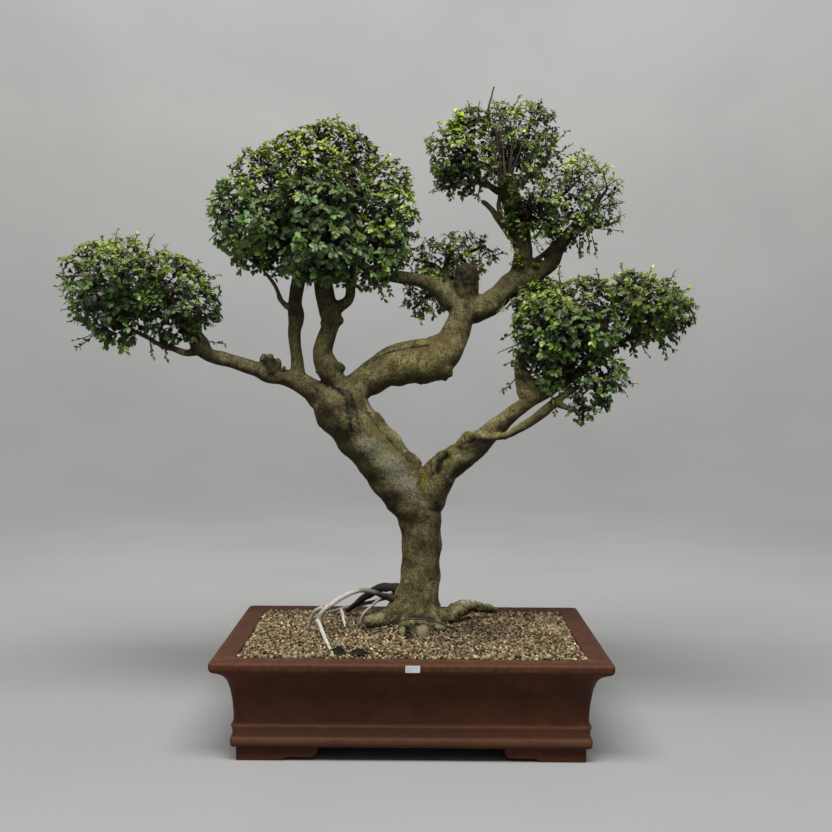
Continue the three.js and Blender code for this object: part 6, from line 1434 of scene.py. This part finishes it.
def ring(s, z, r, along=13.0, arc=7):
    hx, hy = L / 2 - s, D / 2 - s
    out = []
    nx, ny = 40, 28
    for (sx, sy, a0), cnt in zip([(1, 1, 0), (-1, 1, 90), (-1, -1, 180), (1, -1, 270)], (nx, ny, nx, ny)):
        corner = []
        for k in range(arc + 1):
            a = math.radians(a0 + 90 * k / arc)
            corner.append([sx * (hx - r) + math.cos(a) * r, sy * (hy - r) + math.sin(a) * r, z])
        out += corner
        nxt = {(1, 1): (-1, 1), (-1, 1): (-1, -1), (-1, -1): (1, -1), (1, -1): (1, 1)}[(sx, sy)]
        a = math.radians(a0 + 90)
        end = [nxt[0] * (hx - r) + math.cos(a) * r, nxt[1] * (hy - r) + math.sin(a) * r, z]
        for k in range(1, cnt):
            out.append([corner[-1][q] + (end[q] - corner[-1][q]) * k / cnt for q in range(3)])
    return out


rings = np.array([ring(*row) for row in PROFILE])
nr, nc = rings.shape[:2]
co = rings.reshape(-1, 3)
i = np.arange(nr - 1)[:, None] * nc
j = np.arange(nc)[None]
k = (j + 1) % nc
quads = np.stack([i + j, i + k, i + nc + k, i + nc + j], -1).reshape(-1, 4)
# hand-pressed clay: faint waves on the walls, small nicks on the edges
outn = unit(np.stack([co[:, 0] / L, co[:, 1] / D, np.zeros(len(co))], 1))
face = np.where(np.abs(co[:, 0]) / (L / 2) > np.abs(co[:, 1]) / (D / 2), 0, 1)
push = np.zeros_like(co)
push[np.arange(len(co)), face] = np.sign(co[np.arange(len(co)), face])
wave = (fbm(co, (70, 70, 40), 3, 90) - 0.5) * 0.9 + (fbm(co, 14, 2, 91) - 0.5) * 0.25
zz = co[:, 2]
lim = np.where(np.arange(len(co)) // nc < 37, 1.0, 0.0)
co = co + push * (np.minimum(wave, 0.15) * lim)[:, None]
edge = (np.arange(len(co)) // nc >= 31) & (np.arange(len(co)) // nc <= 36)
nick = np.clip(noise(co, 7, 92) - 0.80, 0, 1) * 5.0 * edge
co = co - push * nick[:, None] * 0.8
co[:, 2] -= nick * 0.5
co[:, 2] += np.where(np.arange(len(co)) // nc >= 33, (fbm(co, 90, 2, 93) - 0.5) * 0.5 - 0.1, 0.0) * (np.arange(len(co)) // nc < 44)
tri_ = []
cap0, cap1 = len(co), len(co) + 1
co = np.vstack([co, [0, 0, 22.5], [0, 0, 36.0]])
jj = np.arange(nc)
kk = (jj + 1) % nc
tri_ = np.vstack([np.stack([np.full(nc, cap0), kk, jj], 1), np.stack([np.full(nc, cap1), (nr - 1) * nc + jj, (nr - 1) * nc + kk], 1)])
pot_parts = Parts()
row = np.concatenate([np.repeat(np.arange(nr), nc), [0, nr - 1]])
wear = np.zeros((len(co), 3))
z_ = co[:, 2]
edge_rows = {8: 0.75, 9: 0.9, 10: 0.9, 11: 0.5, 7: 0.5, 6: 0.3, 2: 0.65, 3: 0.9, 4: 0.9, 5: 0.6, 33: 0.15, 34: 0.45, 35: 0.55, 36: 0.4, 37: 0.2, 38: 0.15, 39: 0.15, 40: 0.15, 41: 0.3, 42: 0.2}
for r_, w_ in edge_rows.items():
    wear[row == r_, 0] = w_
lipt = (row >= 36) & (row <= 43)
wear[:, 1] = np.where(lipt, 0.12 + 0.45 * np.exp(-((co[:, 1] + 178) / 13) ** 2), 0.0)
wear[:, 1] = np.clip(wear[:, 1] + np.where((row >= 31) & (row < 36), 0.25, 0), 0, 1)
# painted shade: darker under the lip, on the wall below it and near the ground; also darker in the middle of the front
# and on the lip
wear[:, 2] = np.clip(0.50 * (row < 12) + 0.35 * np.exp(-(co[:, 0] / 190) ** 2) * (row < 31) + 0.35 * ((row > 22) & (row < 31)) + 0.30 * ((row >= 12) & (row <= 22)) + 0.45 * ((row >= 31) & (row < 44)), 0, 1)
pot_parts.add(co, quads, tri_, wear)


c, polys, at = pot_parts.done()
tray = make("tray", c, polys, CLAY, {"wear": at}, slot="stoneware")
pot_parts = Parts()


def foot_leg(contact, reach):
    """Outline (x, z) of a foot leg seen square on, from its outer corner."""
    pts = [[0, 24.5], [0, 2.2], [0.5, 0.9], [1.8, 0.0], [contact, 0], [contact + 3, 0.5], [contact + 6, 2.2], [contact + 9, 4.0], [contact + 12, 4.6], [reach - 14, 4.7],
           [reach - 8, 5.3], [reach - 4.5, 6.8], [reach - 2, 9.4], [reach - 0.6, 13], [reach + 0.4, 18], [reach + 1, 24.5]]
    return np.array(pts, float)


FT = 24.0
for sx in (-1, 1):
    for sy in (-1, 1):
        for contact, reach_, along in ((66, 122, 0), (56, 100, 1)):
            o = foot_leg(contact, reach_)
            prof = []
            for inset_, depth_ in ((1.3, 0.0), (0.4, 0.4), (0.0, 1.3), (0.0, FT * 0.33), (0.0, FT * 0.66), (0.0, FT - 1.3), (0.4, FT - 0.4), (1.3, FT)):
                c_ = o.copy()
                c_[:, 0] = np.clip(c_[:, 0], inset_, o[:, 0].max() - inset_)
                low = c_[:, 1] < 23
                c_[low, 1] = np.maximum(c_[low, 1], np.minimum(c_[low, 1] + inset_, 22))
                p3 = np.stack([c_[:, 0], np.full(len(c_), depth_), c_[:, 1]], 1)
                prof.append(p3)
            pr = np.array(prof)
            if along:
                pr = pr[..., [1, 0, 2]]
            fx, fy = L / 2 - 36.5 - (0.0 if along else 0.6), D / 2 - 36.5 - (0.6 if along else 0.0)
            pr = np.stack([sx * (fx - pr[..., 0]), sy * (fy - pr[..., 1]), pr[..., 2]], -1)
            a_, b_ = pr.shape[:2]
            cc = pr.reshape(-1, 3)
            ii = np.arange(a_ - 1)[:, None] * b_
            jx = np.arange(b_)[None]
            kx = (jx + 1) % b_
            qd = np.stack([ii + jx, ii + kx, ii + b_ + kx, ii + b_ + jx], -1).reshape(-1, 4)
            c0 = len(cc)
            cc = np.vstack([cc, pr[0].mean(0), pr[-1].mean(0)])
            jx = np.arange(b_)
            kx = (jx + 1) % b_
            td = np.vstack([np.stack([np.full(b_, c0), kx, jx], 1), np.stack([np.full(b_, c0 + 1), (a_ - 1) * b_ + jx, (a_ - 1) * b_ + kx], 1)])
            flip = (sx * sy < 0) != bool(along)
            if not flip:
                qd, td = qd[:, ::-1], td[:, ::-1]
            w3 = np.zeros((len(cc), 3))
            w3[:, 2] = 0.05
            w3[:, 0] = np.where(np.abs(cc[:, 2] - 1) < 2, 0.25, 0.0)
            pot_parts.add(cc, qd, td, w3)
c, polys, at = pot_parts.done()
feet = make("tray_feet", c, polys, CLAY, {"wear": at}, slot="stoneware")
for ob in (tray, feet):
    bm = bmesh.new()
    bm.from_mesh(ob.data)
    bmesh.ops.recalc_face_normals(bm, faces=bm.faces)
    bm.to_mesh(ob.data)
    bm.free()
feet.data.set_sharp_from_angle(angle=math.radians(35))
# drainage and wire holes
for x, y, r_ in ((-125, 0, 18), (125, 0, 18), (-78, -16, 5.4), (78, -16, 5.4)):
    bpy.ops.mesh.primitive_cylinder_add(vertices=40, radius=r_ / 1000, depth=0.04, location=Vector(M([x, y, 29])))
    cut = bpy.context.object
    md = tray.modifiers.new("cut", "BOOLEAN")
    md.operation, md.object, md.solver = "DIFFERENCE", cut, "EXACT"
    dg = bpy.context.evaluated_depsgraph_get()
    new = bpy.data.meshes.new_from_object(tray.evaluated_get(dg))
    tray.modifiers.clear()
    tray.data = new
    bpy.data.objects.remove(cut)
tray.data.materials.clear()
tray.data.materials.append(CLAY)
tray.data.set_sharp_from_angle(angle=math.radians(38)) if hasattr(tray.data, "set_sharp_from_angle") else None
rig.replaces(tray, "pot")
print("tray tris", sum(len(p.vertices) - 2 for p in tray.data.polygons))

# -------------------------------------------------------------------- gravel
# bed: the dark mass between and under the grains
nx, ny = 88, 60
hx, hy = L / 2 - 36.6, D / 2 - 36.6
gx, gy = np.meshgrid(np.linspace(-hx, hx, nx), np.linspace(-hy, hy, ny), indexing="ij")
pit = np.exp(-((((gx + 6.5) / 9.0) ** 2 + ((gy + 40) / 19.0) ** 2) ** 1.5))      # a hole between the front roots
top = np.stack([gx, gy, SOIL_Z + mound(gx, gy) - 2.6 - 11.0 * pit + 1.2 * (noise(np.stack([gx, gy, gx * 0], -1).reshape(-1, 3), 9, 100).reshape(nx, ny) - 0.5)], -1)
idx = np.arange(nx * ny).reshape(nx, ny)
q_ = np.stack([idx[:-1, :-1], idx[1:, :-1], idx[1:, 1:], idx[:-1, 1:]], -1).reshape(-1, 4)
border = np.concatenate([idx[:, 0], idx[-1, 1:], idx[-2::-1, -1], idx[0, -2:0:-1]])
tco = top.reshape(-1, 3)
low = tco[border].copy()
low[:, 0] *= (hx - 10) / hx
low[:, 1] *= (hy - 10) / hy
low[:, 2] = 38.5
bco = np.vstack([tco, low, [[0, 0, 38.5]]])
nb = len(border)
bi = len(tco) + np.arange(nb)
bj = len(tco) + (np.arange(nb) + 1) % nb
skirt = np.stack([border, bi, bj, np.roll(border, -1)], 1)
floor_t = np.stack([bj, bi, np.full(nb, len(tco) + nb)], 1)
# painted shade: the bed in the pit between the front roots is nearly black
hole = np.zeros((len(bco), 3))
hole[:len(tco), 0] = np.clip(pit.reshape(-1) * 1.6, 0, 1)
bed = make("gravel_bed", bco, [np.vstack([q_, skirt]), floor_t], BED, {"hole": hole}, slot="gravel")
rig.replaces(bed, "soil")

PALETTE = np.array([[0.64, 0.51, 0.345], [0.455, 0.345, 0.215], [0.345, 0.245, 0.140], [0.235, 0.155, 0.082], [0.130, 0.082, 0.042], [0.055, 0.036, 0.022], [0.34, 0.185, 0.110], [0.82, 0.76, 0.66], [0.36, 0.315, 0.25]])
WEIGHT = np.array([0.14, 0.18, 0.18, 0.16, 0.13, 0.10, 0.035, 0.032, 0.05])
near_wood = allp[(allp[:, 2] < 215) & (allp[:, 2] > 130)]


def grains(step, lift, size, jitter, keep_p=1.0, seed=0):
    r_ = np.random.default_rng(seed)
    xs = np.arange(-hx - 0.5, hx + 0.5, step)
    ys = np.arange(-hy - 1.2, hy + 0.8, step)
    X, Y = np.meshgrid(xs, ys)
    X = X + (np.arange(len(ys)) % 2)[:, None] * step * 0.5
    p = np.stack([X.ravel(), Y.ravel()], 1) + r_.normal(size=(X.size, 2)) * jitter
    p = p[(np.abs(p[:, 0]) < hx + 0.6) & (np.abs(p[:, 1]) < hy + 0.8)]
    p = p[r_.random(len(p)) < keep_p]
    s_ = size[0] + (size[1] - size[0]) * r_.random(len(p)) ** 1.6
    z = SOIL_Z + mound(p[:, 0], p[:, 1]) + lift + r_.normal(size=len(p)) * 0.55
    c3 = np.concatenate([p, z[:, None]], 1)
    ok = np.ones(len(c3), bool)
    for k0 in range(0, len(near_wood), 1):
        w = near_wood[k0]
        d = np.linalg.norm(c3 - w[:3], axis=1)
        ok &= d > w[3] * 0.97 + s_ * 0.15
    return c3[ok], s_[ok]


PHI = (1 + 5 ** 0.5) / 2
ICO = unit(np.array([[-1, PHI, 0], [1, PHI, 0], [-1, -PHI, 0], [1, -PHI, 0], [0, -1, PHI], [0, 1, PHI], [0, -1, -PHI], [0, 1, -PHI], [PHI, 0, -1], [PHI, 0, 1], [-PHI, 0, -1], [-PHI, 0, 1]], float))
ICO_T = np.array([[0, 11, 5], [0, 5, 1], [0, 1, 7], [0, 7, 10], [0, 10, 11], [1, 5, 9], [5, 11, 4], [11, 10, 2], [10, 7, 6], [7, 1, 8], [3, 9, 4], [3, 4, 2], [3, 2, 6], [3, 6, 8], [3, 8, 9], [4, 9, 5], [2, 4, 11], [6, 2, 10], [8, 6, 7], [9, 8, 1]])
ga, sa = grains(4.75, -1.4, (2.35, 3.5), 0.95, 1.0, 1)
gb, sb = grains(7.6, 0.9, (1.8, 3.5), 2.0, 0.55, 2)
gp = np.vstack([ga, gb])
gs = np.concatenate([sa, sb])
open_ = np.exp(-((((gp[:, 0] + 6.5) / 9.0) ** 2 + ((gp[:, 1] + 40) / 19.0) ** 2) ** 1.5)) < 0.40
gp, gs = gp[open_], gs[open_]
NG = len(gp)
rot = rng.normal(size=(NG, 4))
rot /= np.linalg.norm(rot, axis=1, keepdims=True)
w_, x_, y_, z_q = rot.T
Rm = np.stack([np.stack([1 - 2 * (y_ ** 2 + z_q ** 2), 2 * (x_ * y_ - z_q * w_), 2 * (x_ * z_q + y_ * w_)], -1),
               np.stack([2 * (x_ * y_ + z_q * w_), 1 - 2 * (x_ ** 2 + z_q ** 2), 2 * (y_ * z_q - x_ * w_)], -1),
               np.stack([2 * (x_ * z_q - y_ * w_), 2 * (y_ * z_q + x_ * w_), 1 - 2 * (x_ ** 2 + y_ ** 2)], -1)], 1)
stretch = np.stack([np.ones(NG), 0.72 + 0.28 * rng.random(NG), 0.60 + 0.3 * rng.random(NG)], 1)[:, None]
loc = ICO[None] * (1 + 0.24 * (rng.random((NG, 12, 1)) - 0.5) * 2) * stretch
loc = np.einsum("nij,nkj->nki", Rm, loc) * gs[:, None, None]
# behind the trunk the grains have eight faces each
EIGHT = np.array([[1, 0, 0], [-1, 0, 0], [0, 1, 0], [0, -1, 0], [0, 0, 1], [0, 0, -1]], float) * 1.2
EIGHT_T = np.array([[0, 2, 4], [2, 1, 4], [1, 3, 4], [3, 0, 4], [2, 0, 5], [1, 2, 5], [3, 1, 5], [0, 3, 5]])
loc8 = np.einsum("nij,nkj->nki", Rm, EIGHT[None] * (1 + 0.20 * (rng.random((NG, 6, 1)) - 0.5) * 2) * stretch) * gs[:, None, None]
# nothing pokes through the tray's wall
pc = np.clip(gp[:, :2], [-hx + 2.0, -hy + 1.0], [hx - 2.0, hy - 2.0])
gp[:, :2] = np.where(np.abs(gp[:, :2]) > [hx - 2.0, hy - 1.0], pc, gp[:, :2])
gv, gv8 = gp[:, None] + loc, gp[:, None] + loc8
back_g = gp[:, 1] > 46
kind_ = rng.choice(len(PALETTE), NG, p=WEIGHT / WEIGHT.sum())
gc = PALETTE[kind_] * (0.55 + 0.85 * rng.random((NG, 1))) * np.array([0.765, 0.785, 0.715])
# painted shadow: darker gravel right of the roots, where the tree's shade falls, and in two patches on the left;
# lighter towards the rim
gravel_shade = np.exp(-(((gp[:, 0] - 110) / 75) ** 2 + ((gp[:, 1] - 10) / 75) ** 2)) + 0.7 * np.exp(-(((gp[:, 0] + 95) / 60) ** 2 + ((gp[:, 1] - 60) / 60) ** 2)) + 0.8 * np.exp(-(((gp[:, 0] + 118) / 34) ** 2 + ((gp[:, 1] + 128) / 26) ** 2))
gravel_shade = np.clip(gravel_shade + 0.35 * (noise(gp, 45, 120) - 0.5), 0, 1)
gc *= (1 - 0.62 * gravel_shade)[:, None]
green = (noise(gp, 18, 121) > 0.80) & (rng.random(NG) < 0.4)
gc[green] = gc[green] * np.array([0.65, 0.85, 0.35])
for part, sel in (("gravel_left", gp[:, 0] < 0), ("gravel_right", gp[:, 0] >= 0)):
    a_, b_ = sel & ~back_g, sel & back_g
    v = np.vstack([gv[a_].reshape(-1, 3), gv8[b_].reshape(-1, 3)])
    T = np.vstack([(ICO_T[None] + (np.arange(a_.sum()) * 12)[:, None, None]).reshape(-1, 3), (EIGHT_T[None] + int(a_.sum()) * 12 + (np.arange(b_.sum()) * 6)[:, None, None]).reshape(-1, 3)])
    make(part, v, [T], GRAVEL, {"grain": np.vstack([np.repeat(gc[a_], 12, axis=0), np.repeat(gc[b_], 6, axis=0)])}, smooth=False, slot="gravel")
print("grains", NG, "tris", int((~back_g).sum()) * 20 + int(back_g.sum()) * 8)

# ----------------------------------------------------- wire, tag and debris
TIE = [[-104, -16, 20.2], [-89, -16, 20.2], [-82, -16, 20.2], [-78.8, -16, 22], [-78, -16, 30], [-78, -16, 60], [-78, -17, 110], [-79, -19, 148], [-74.5, -21.5, 162],
       [-66, -22, 165.2], [-55, -22.5, 165.2], [-40.5, -23.5, 168.4], [-30, -25, 174.4], [-19.5, -26, 180.1], [-8.8, -26, 182.8], [3, -26, 183.8],
       [14, -26, 183.2], [24, -26, 182], [34, -25.5, 180], [44, -25, 177.2], [54, -24, 172.8], [63, -22, 169], [71.5, -19.5, 164.6], [77, -17.5, 154],
       [78, -16.5, 140], [78, -16, 110], [78, -16, 60], [78, -16, 30], [78.8, -16, 22], [82, -16, 20.2], [89, -16, 20.2], [104, -16, 20.2]]
line = smooth(np.concatenate([np.array(TIE, float), np.full((len(TIE), 1), 1.35)], 1), 2.2)
c, q, t = tube(line, 10)
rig.replaces(make("wire", c, [q, t], WIRE, slot="tie_wire"), "tie_wire")

# tag: a thin plate with soft corners
tag_lo, tag_hi = (np.array(v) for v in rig.box("label_tag"))
tag_lo, tag_hi = (tag_lo - OFF) * 1000, (tag_hi - OFF) * 1000
cx, cz = (tag_lo[0] + tag_hi[0]) / 2, (tag_lo[2] + tag_hi[2]) / 2
hw, hh = (tag_hi[0] - tag_lo[0]) / 2, (tag_hi[2] - tag_lo[2]) / 2
outline = []
for sx, sz, a0 in ((1, 1, 0), (-1, 1, 90), (-1, -1, 180), (1, -1, 270)):
    for k_ in range(6):
        a = math.radians(a0 + 90 * k_ / 5)
        outline.append([sx * (hw - 1.2) + math.cos(a) * 1.2, sz * (hh - 1.2) + math.sin(a) * 1.2])
outline = np.array(outline)
layers = []
for y_, f_ in ((tag_hi[1], 0.97), (tag_hi[1] - 0.12, 1.0), (tag_lo[1] + 0.12, 1.0), (tag_lo[1], 0.97), (tag_lo[1] - 0.02, 0.6), (tag_lo[1] - 0.02, 0.25)):
    bow = 0.0 * outline[:, 0]
    layers.append(np.stack([cx + outline[:, 0] * f_, np.full(len(outline), y_) + bow, cz + outline[:, 1] * f_], 1))
lay = np.array(layers)
a_, b_ = lay.shape[:2]
ii = np.arange(a_ - 1)[:, None] * b_
jx = np.arange(b_)[None]
kx = (jx + 1) % b_
qd = np.stack([ii + jx, ii + b_ + jx, ii + b_ + kx, ii + kx], -1).reshape(-1, 4)
cc = np.vstack([lay.reshape(-1, 3), [[cx, tag_hi[1], cz], [cx, tag_lo[1] - 0.02, cz]]])
jx = np.arange(b_)
kx = (jx + 1) % b_
td = np.vstack([np.stack([np.full(b_, a_ * b_), jx, kx], 1), np.stack([np.full(b_, a_ * b_ + 1), (a_ - 1) * b_ + kx, (a_ - 1) * b_ + jx], 1)])
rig.replaces(make("tag", cc, [qd, td], TAG, smooth=False, slot="tag"), "label_tag")


def highlight_side(s_):
    """The far edge stands up and is painted pale as a highlight; the near one stays dark."""
    return np.where(s_ > 0, 1.0, 0.0)


def dry_leaf(name, at, length_, width_, curl, turn_, tilt):
    n_, m_ = 22, 14
    t_ = np.linspace(0, 1, n_)[:, None]
    s_ = np.linspace(-1, 1, m_)[None]
    half = np.maximum(0.35, (np.sin(np.pi * np.clip(t_ * 0.97 + 0.015, 0, 1)) ** 1.15) * width_ / 2 * (1 + 0.14 * np.sin(t_ * 23 + width_)))
    x = (t_ - 0.5) * length_ + 0 * s_ + 1.6 * np.sin(t_ * 5 + 1) * s_
    y = s_ * half * 0.92 + 2.4 * np.sin(t_ * 4.2 + 0.6)
    z = curl * (2 * t_ - 1) ** 2 * 0.8 + np.where(s_ > 0, 1.15, 0.35) * np.abs(s_) ** 1.6 * half
    base = np.stack([x, y, z], -1).reshape(-1, 3)
    base[:, 2] += (noise(base, 3.5, 7) - 0.5) * 1.8 + 0.5 * np.sin(base[:, 0] * 1.6)
    base[:, 1] += (noise(base, 4.5, 8) - 0.5) * 1.6
    thick_ = base + np.array([0, 0, 0.45])
    ca, sa_ = math.cos(turn_), math.sin(turn_)
    ct, st = math.cos(tilt), math.sin(tilt)
    Rt = np.array([[ca, -sa_, 0], [sa_, ca, 0], [0, 0, 1]]) @ np.array([[1, 0, 0], [0, ct, -st], [0, st, ct]])
    pts_ = np.vstack([base, thick_]) @ Rt.T
    pts_[:, 2] -= pts_[:, 2].min()
    pts_ += np.array(at)
    id_ = np.arange(n_ * m_).reshape(n_, m_)
    up_ = np.stack([id_[:-1, :-1], id_[:-1, 1:], id_[1:, 1:], id_[1:, :-1]], -1).reshape(-1, 4)
    o_ = n_ * m_
    bd = np.concatenate([id_[:, 0], id_[-1, 1:], id_[-2::-1, -1], id_[0, -2:0:-1]])
    rim = np.stack([bd, np.roll(bd, -1), np.roll(bd, -1) + o_, bd + o_], 1)
    rim_highlight_mask = np.clip((np.abs(s_) - 0.66) / 0.16, 0, 1) * highlight_side(s_) + 0 * t_
    at = np.zeros((2 * o_, 3))
    at[:, 0] = np.tile(rim_highlight_mask.reshape(-1), 2)
    return make(name, pts_, [np.vstack([up_, up_[:, ::-1] + o_, rim])], DRY, {"rimmed": at}, slot="dry_leaf")


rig.replaces(dry_leaf("dead_leaf_left", (-110, -154, 156.4), 33, 20, 4.0, -0.50, 0.38), "dry_leaf_left")
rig.replaces(dry_leaf("dead_leaf_right", (-79, -161, 157.2), 34, 17, 3.0, 0.22, 0.30), "dry_leaf_right")
tw = np.array([[-66, -162, 165.6, 1.0], [-57, -159.5, 163.8, 1.1], [-44, -158.4, 161.4, 1.0], [-28, -163, 160.6, 0.9], [-12, -171, 160.4, 0.8], [-2, -176.5, 160.8, 0.6]])
line = smooth(tw, 2.0)
line[:, :3] += (np.stack([noise(line[:, :3], 6, 130 + q_) for q_ in range(3)], 1) - 0.5) * 1.2
c, q, t = tube(line, 8)
dp = Parts()
dp.add(c, q, t)
for k0, d_ in ((0.35, (5, 6, 4)), (0.62, (6, -5, 3))):
    s0 = line[int(len(line) * k0)]
    br = np.array([s0, s0 + np.array([*(np.array(d_) * 0.5), -0.25]), s0 + np.array([*d_, -0.45])])
    c, q, t = tube(br, 6)
    dp.add(c, q, t)
c, polys, _ = dp.done()
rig.replaces(make("dead_twig", c, polys, DRYTWIG, slot="dry_twig"), "dry_twig")

# hidden hardware keeps its CAD shape, with a finish of its own
for nm, mt, sl in (("drain_mesh_left", MESH, "drain_mesh"), ("drain_mesh_right", MESH, "drain_mesh"), ("mesh_clip_left", CLIP, "clip_wire"), ("mesh_clip_right", CLIP, "clip_wire")):
    ob = frame["nodes"][nm]
    ob.data.materials.clear()
    ob.data.materials.append(mt)
    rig.slot(ob, sl)

# --------------------------------------------------------------------- stage
# a round studio cove: floor that curves up into a wall all round
prof = [(0.0, 0.0)] + [(r_, 0.0) for r_ in np.linspace(0.25, 3.2, 12)]
for k_ in range(1, 15):
    a = math.radians(90 * k_ / 14)
    prof.append((3.2 + 1.6 * math.sin(a), 1.6 * (1 - math.cos(a))))
prof += [(4.8, z_) for z_ in (2.2, 3.0, 4.2, 5.6)]
seg = 96
cv = []
for r_, z_ in prof:
    for k_ in range(seg):
        a = 2 * math.pi * k_ / seg
        cv.append([OFF[0] + r_ * math.cos(a), OFF[1] + r_ * math.sin(a), z_ - 0.0004])
cv = np.array(cv)
npf = len(prof)
i = np.arange(npf - 1)[:, None] * seg
j = np.arange(seg)[None]
k = (j + 1) % seg
quads = np.stack([i + j, i + seg + j, i + seg + k, i + k], -1).reshape(-1, 4)
sm_, snt, sp = material("studio")
sv = coords(snt, 1.0)
sn = tex(snt, sv, 1.6, 3, 0.5)
sf = tex(snt, sv, 90, 3, 0.5)
scol = mix(snt, ramp(snt, sn, [(0.3, 0.0), (0.7, 1.0)]), (0.358, 0.359, 0.357), (0.380, 0.380, 0.378))
scol = mix(snt, ramp(snt, sf, [(0.3, 0.0), (0.7, 0.25)]), scol, mix(snt, 1.0, scol, (0.95, 0.95, 0.95), "MULTIPLY"))
geo = snt.nodes.new("ShaderNodeSeparateXYZ")
snt.links.new(sv, geo.inputs[0])
# painted light: the cove's wall is brighter higher up, most at about two metres
painted_wall_light = ramp(snt, math_node(snt, "MULTIPLY", geo.outputs[2], 0.25), [(0.0, 0.0), (0.10, 0.25), (0.30, 0.85), (0.50, 1.0), (0.70, 0.35)], False)
scol = mix(snt, painted_wall_light, scol, mix(snt, 1.0, scol, (1.26, 1.26, 1.24), "MULTIPLY"))
# painted light: the floor behind the tray is brighter in a broad band
far = ramp(snt, math_node(snt, "MULTIPLY", geo.outputs[1], 0.25), [(0.05, 0.0), (0.12, 0.38), (0.18, 0.58), (0.30, 0.85), (0.42, 0.95), (0.60, 0.87), (0.74, 0.78), (0.90, 0.45), (1.0, 0.30)], False)
scol = mix(snt, far, scol, mix(snt, 1.0, scol, (1.55, 1.55, 1.55), "MULTIPLY"))
snt.links.new(scol, sp.inputs["Base Color"])
sp.inputs["Roughness"].default_value = 0.9
sp.inputs["Specular IOR Level"].default_value = 0.15
stage = make("studio_cove", cv, [quads], sm_, in_mm=False)
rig.stage(stage)
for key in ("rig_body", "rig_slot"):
    if key in stage:
        del stage[key]


def area(name, loc, target, sx, sy, power, color=(1, 1, 1)):
    l = bpy.data.lights.new(name, "AREA")
    l.shape, l.size, l.size_y, l.energy, l.color = "RECTANGLE", sx, sy, power, color
    o = bpy.data.objects.new(name, l)
    o.location = Vector(loc)
    o.rotation_euler = (Vector(target) - Vector(loc)).to_track_quat("-Z", "Y").to_euler()
    scene.collection.objects.link(o)
    return o


cxm, cym = OFF[0], OFF[1]
area("overhead", (cxm - 0.12, cym - 1.45, 3.2), (cxm, cym, 0.45), 3.4, 1.15, 163, (1.0, 0.995, 0.985))
area("front", (cxm + 0.9, cym - 3.3, 2.6), (cxm, cym, 0.5), 1.5, 1.1, 4, (1.0, 1.0, 1.0))
area("back_wash", (cxm, cym + 2.6, 3.9), (cxm, cym + 4.8, 2.9), 5.0, 1.0, 72, (1.0, 1.0, 1.0))
world = bpy.data.worlds.new("soft")
scene.world = world
world.use_nodes = True
bg = world.node_tree.nodes["Background"]
bg.inputs[0].default_value = (0.94, 0.97, 1.0, 1.0)
bg.inputs[1].default_value = 0.05

cam_d = bpy.data.cameras.new("camera")
cam = bpy.data.objects.new("camera", cam_d)
scene.collection.objects.link(cam)
scene.camera = cam
cam_d.sensor_width = 36.0
cam_d.lens = 36.0 * 1134.0 / 832.0
cam_d.clip_start, cam_d.clip_end = 0.05, 50
pitch, roll, yaw = (math.radians(v) for v in (-2.163, -0.383, 0.080))
Rc = Matrix.Rotation(yaw, 4, "Z") @ Matrix.Rotation(pitch, 4, "X") @ Matrix.Rotation(roll, 4, "Y")
cam.matrix_world = Matrix.Translation(Vector(M([6.3, -1857.7, 583.2]))) @ Rc @ Matrix.Rotation(math.radians(90), 4, "X")

scene.view_settings.view_transform = "Standard"
scene.view_settings.look = "None"
scene.view_settings.exposure = 0.0
scene.view_settings.gamma = 1.0

total = 0
for ob in scene.objects:
    if ob.type == "MESH" and not ob.hide_render:
        t_ = sum(len(p.vertices) - 2 for p in ob.data.polygons)
        total += t_
        if t_ > 100000:
            print("big piece", ob.name, t_)
print("total tris", total)
size_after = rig.bounds()
with open("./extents.json", "w") as f:
    json.dump({"before": [list(map(float, v)) for v in size_before], "after": [list(map(float, v)) for v in size_after]}, f, indent=1)
print("before", [[round(v, 4) for v in p] for p in size_before], "after", [[round(v, 4) for v in p] for p in size_after])
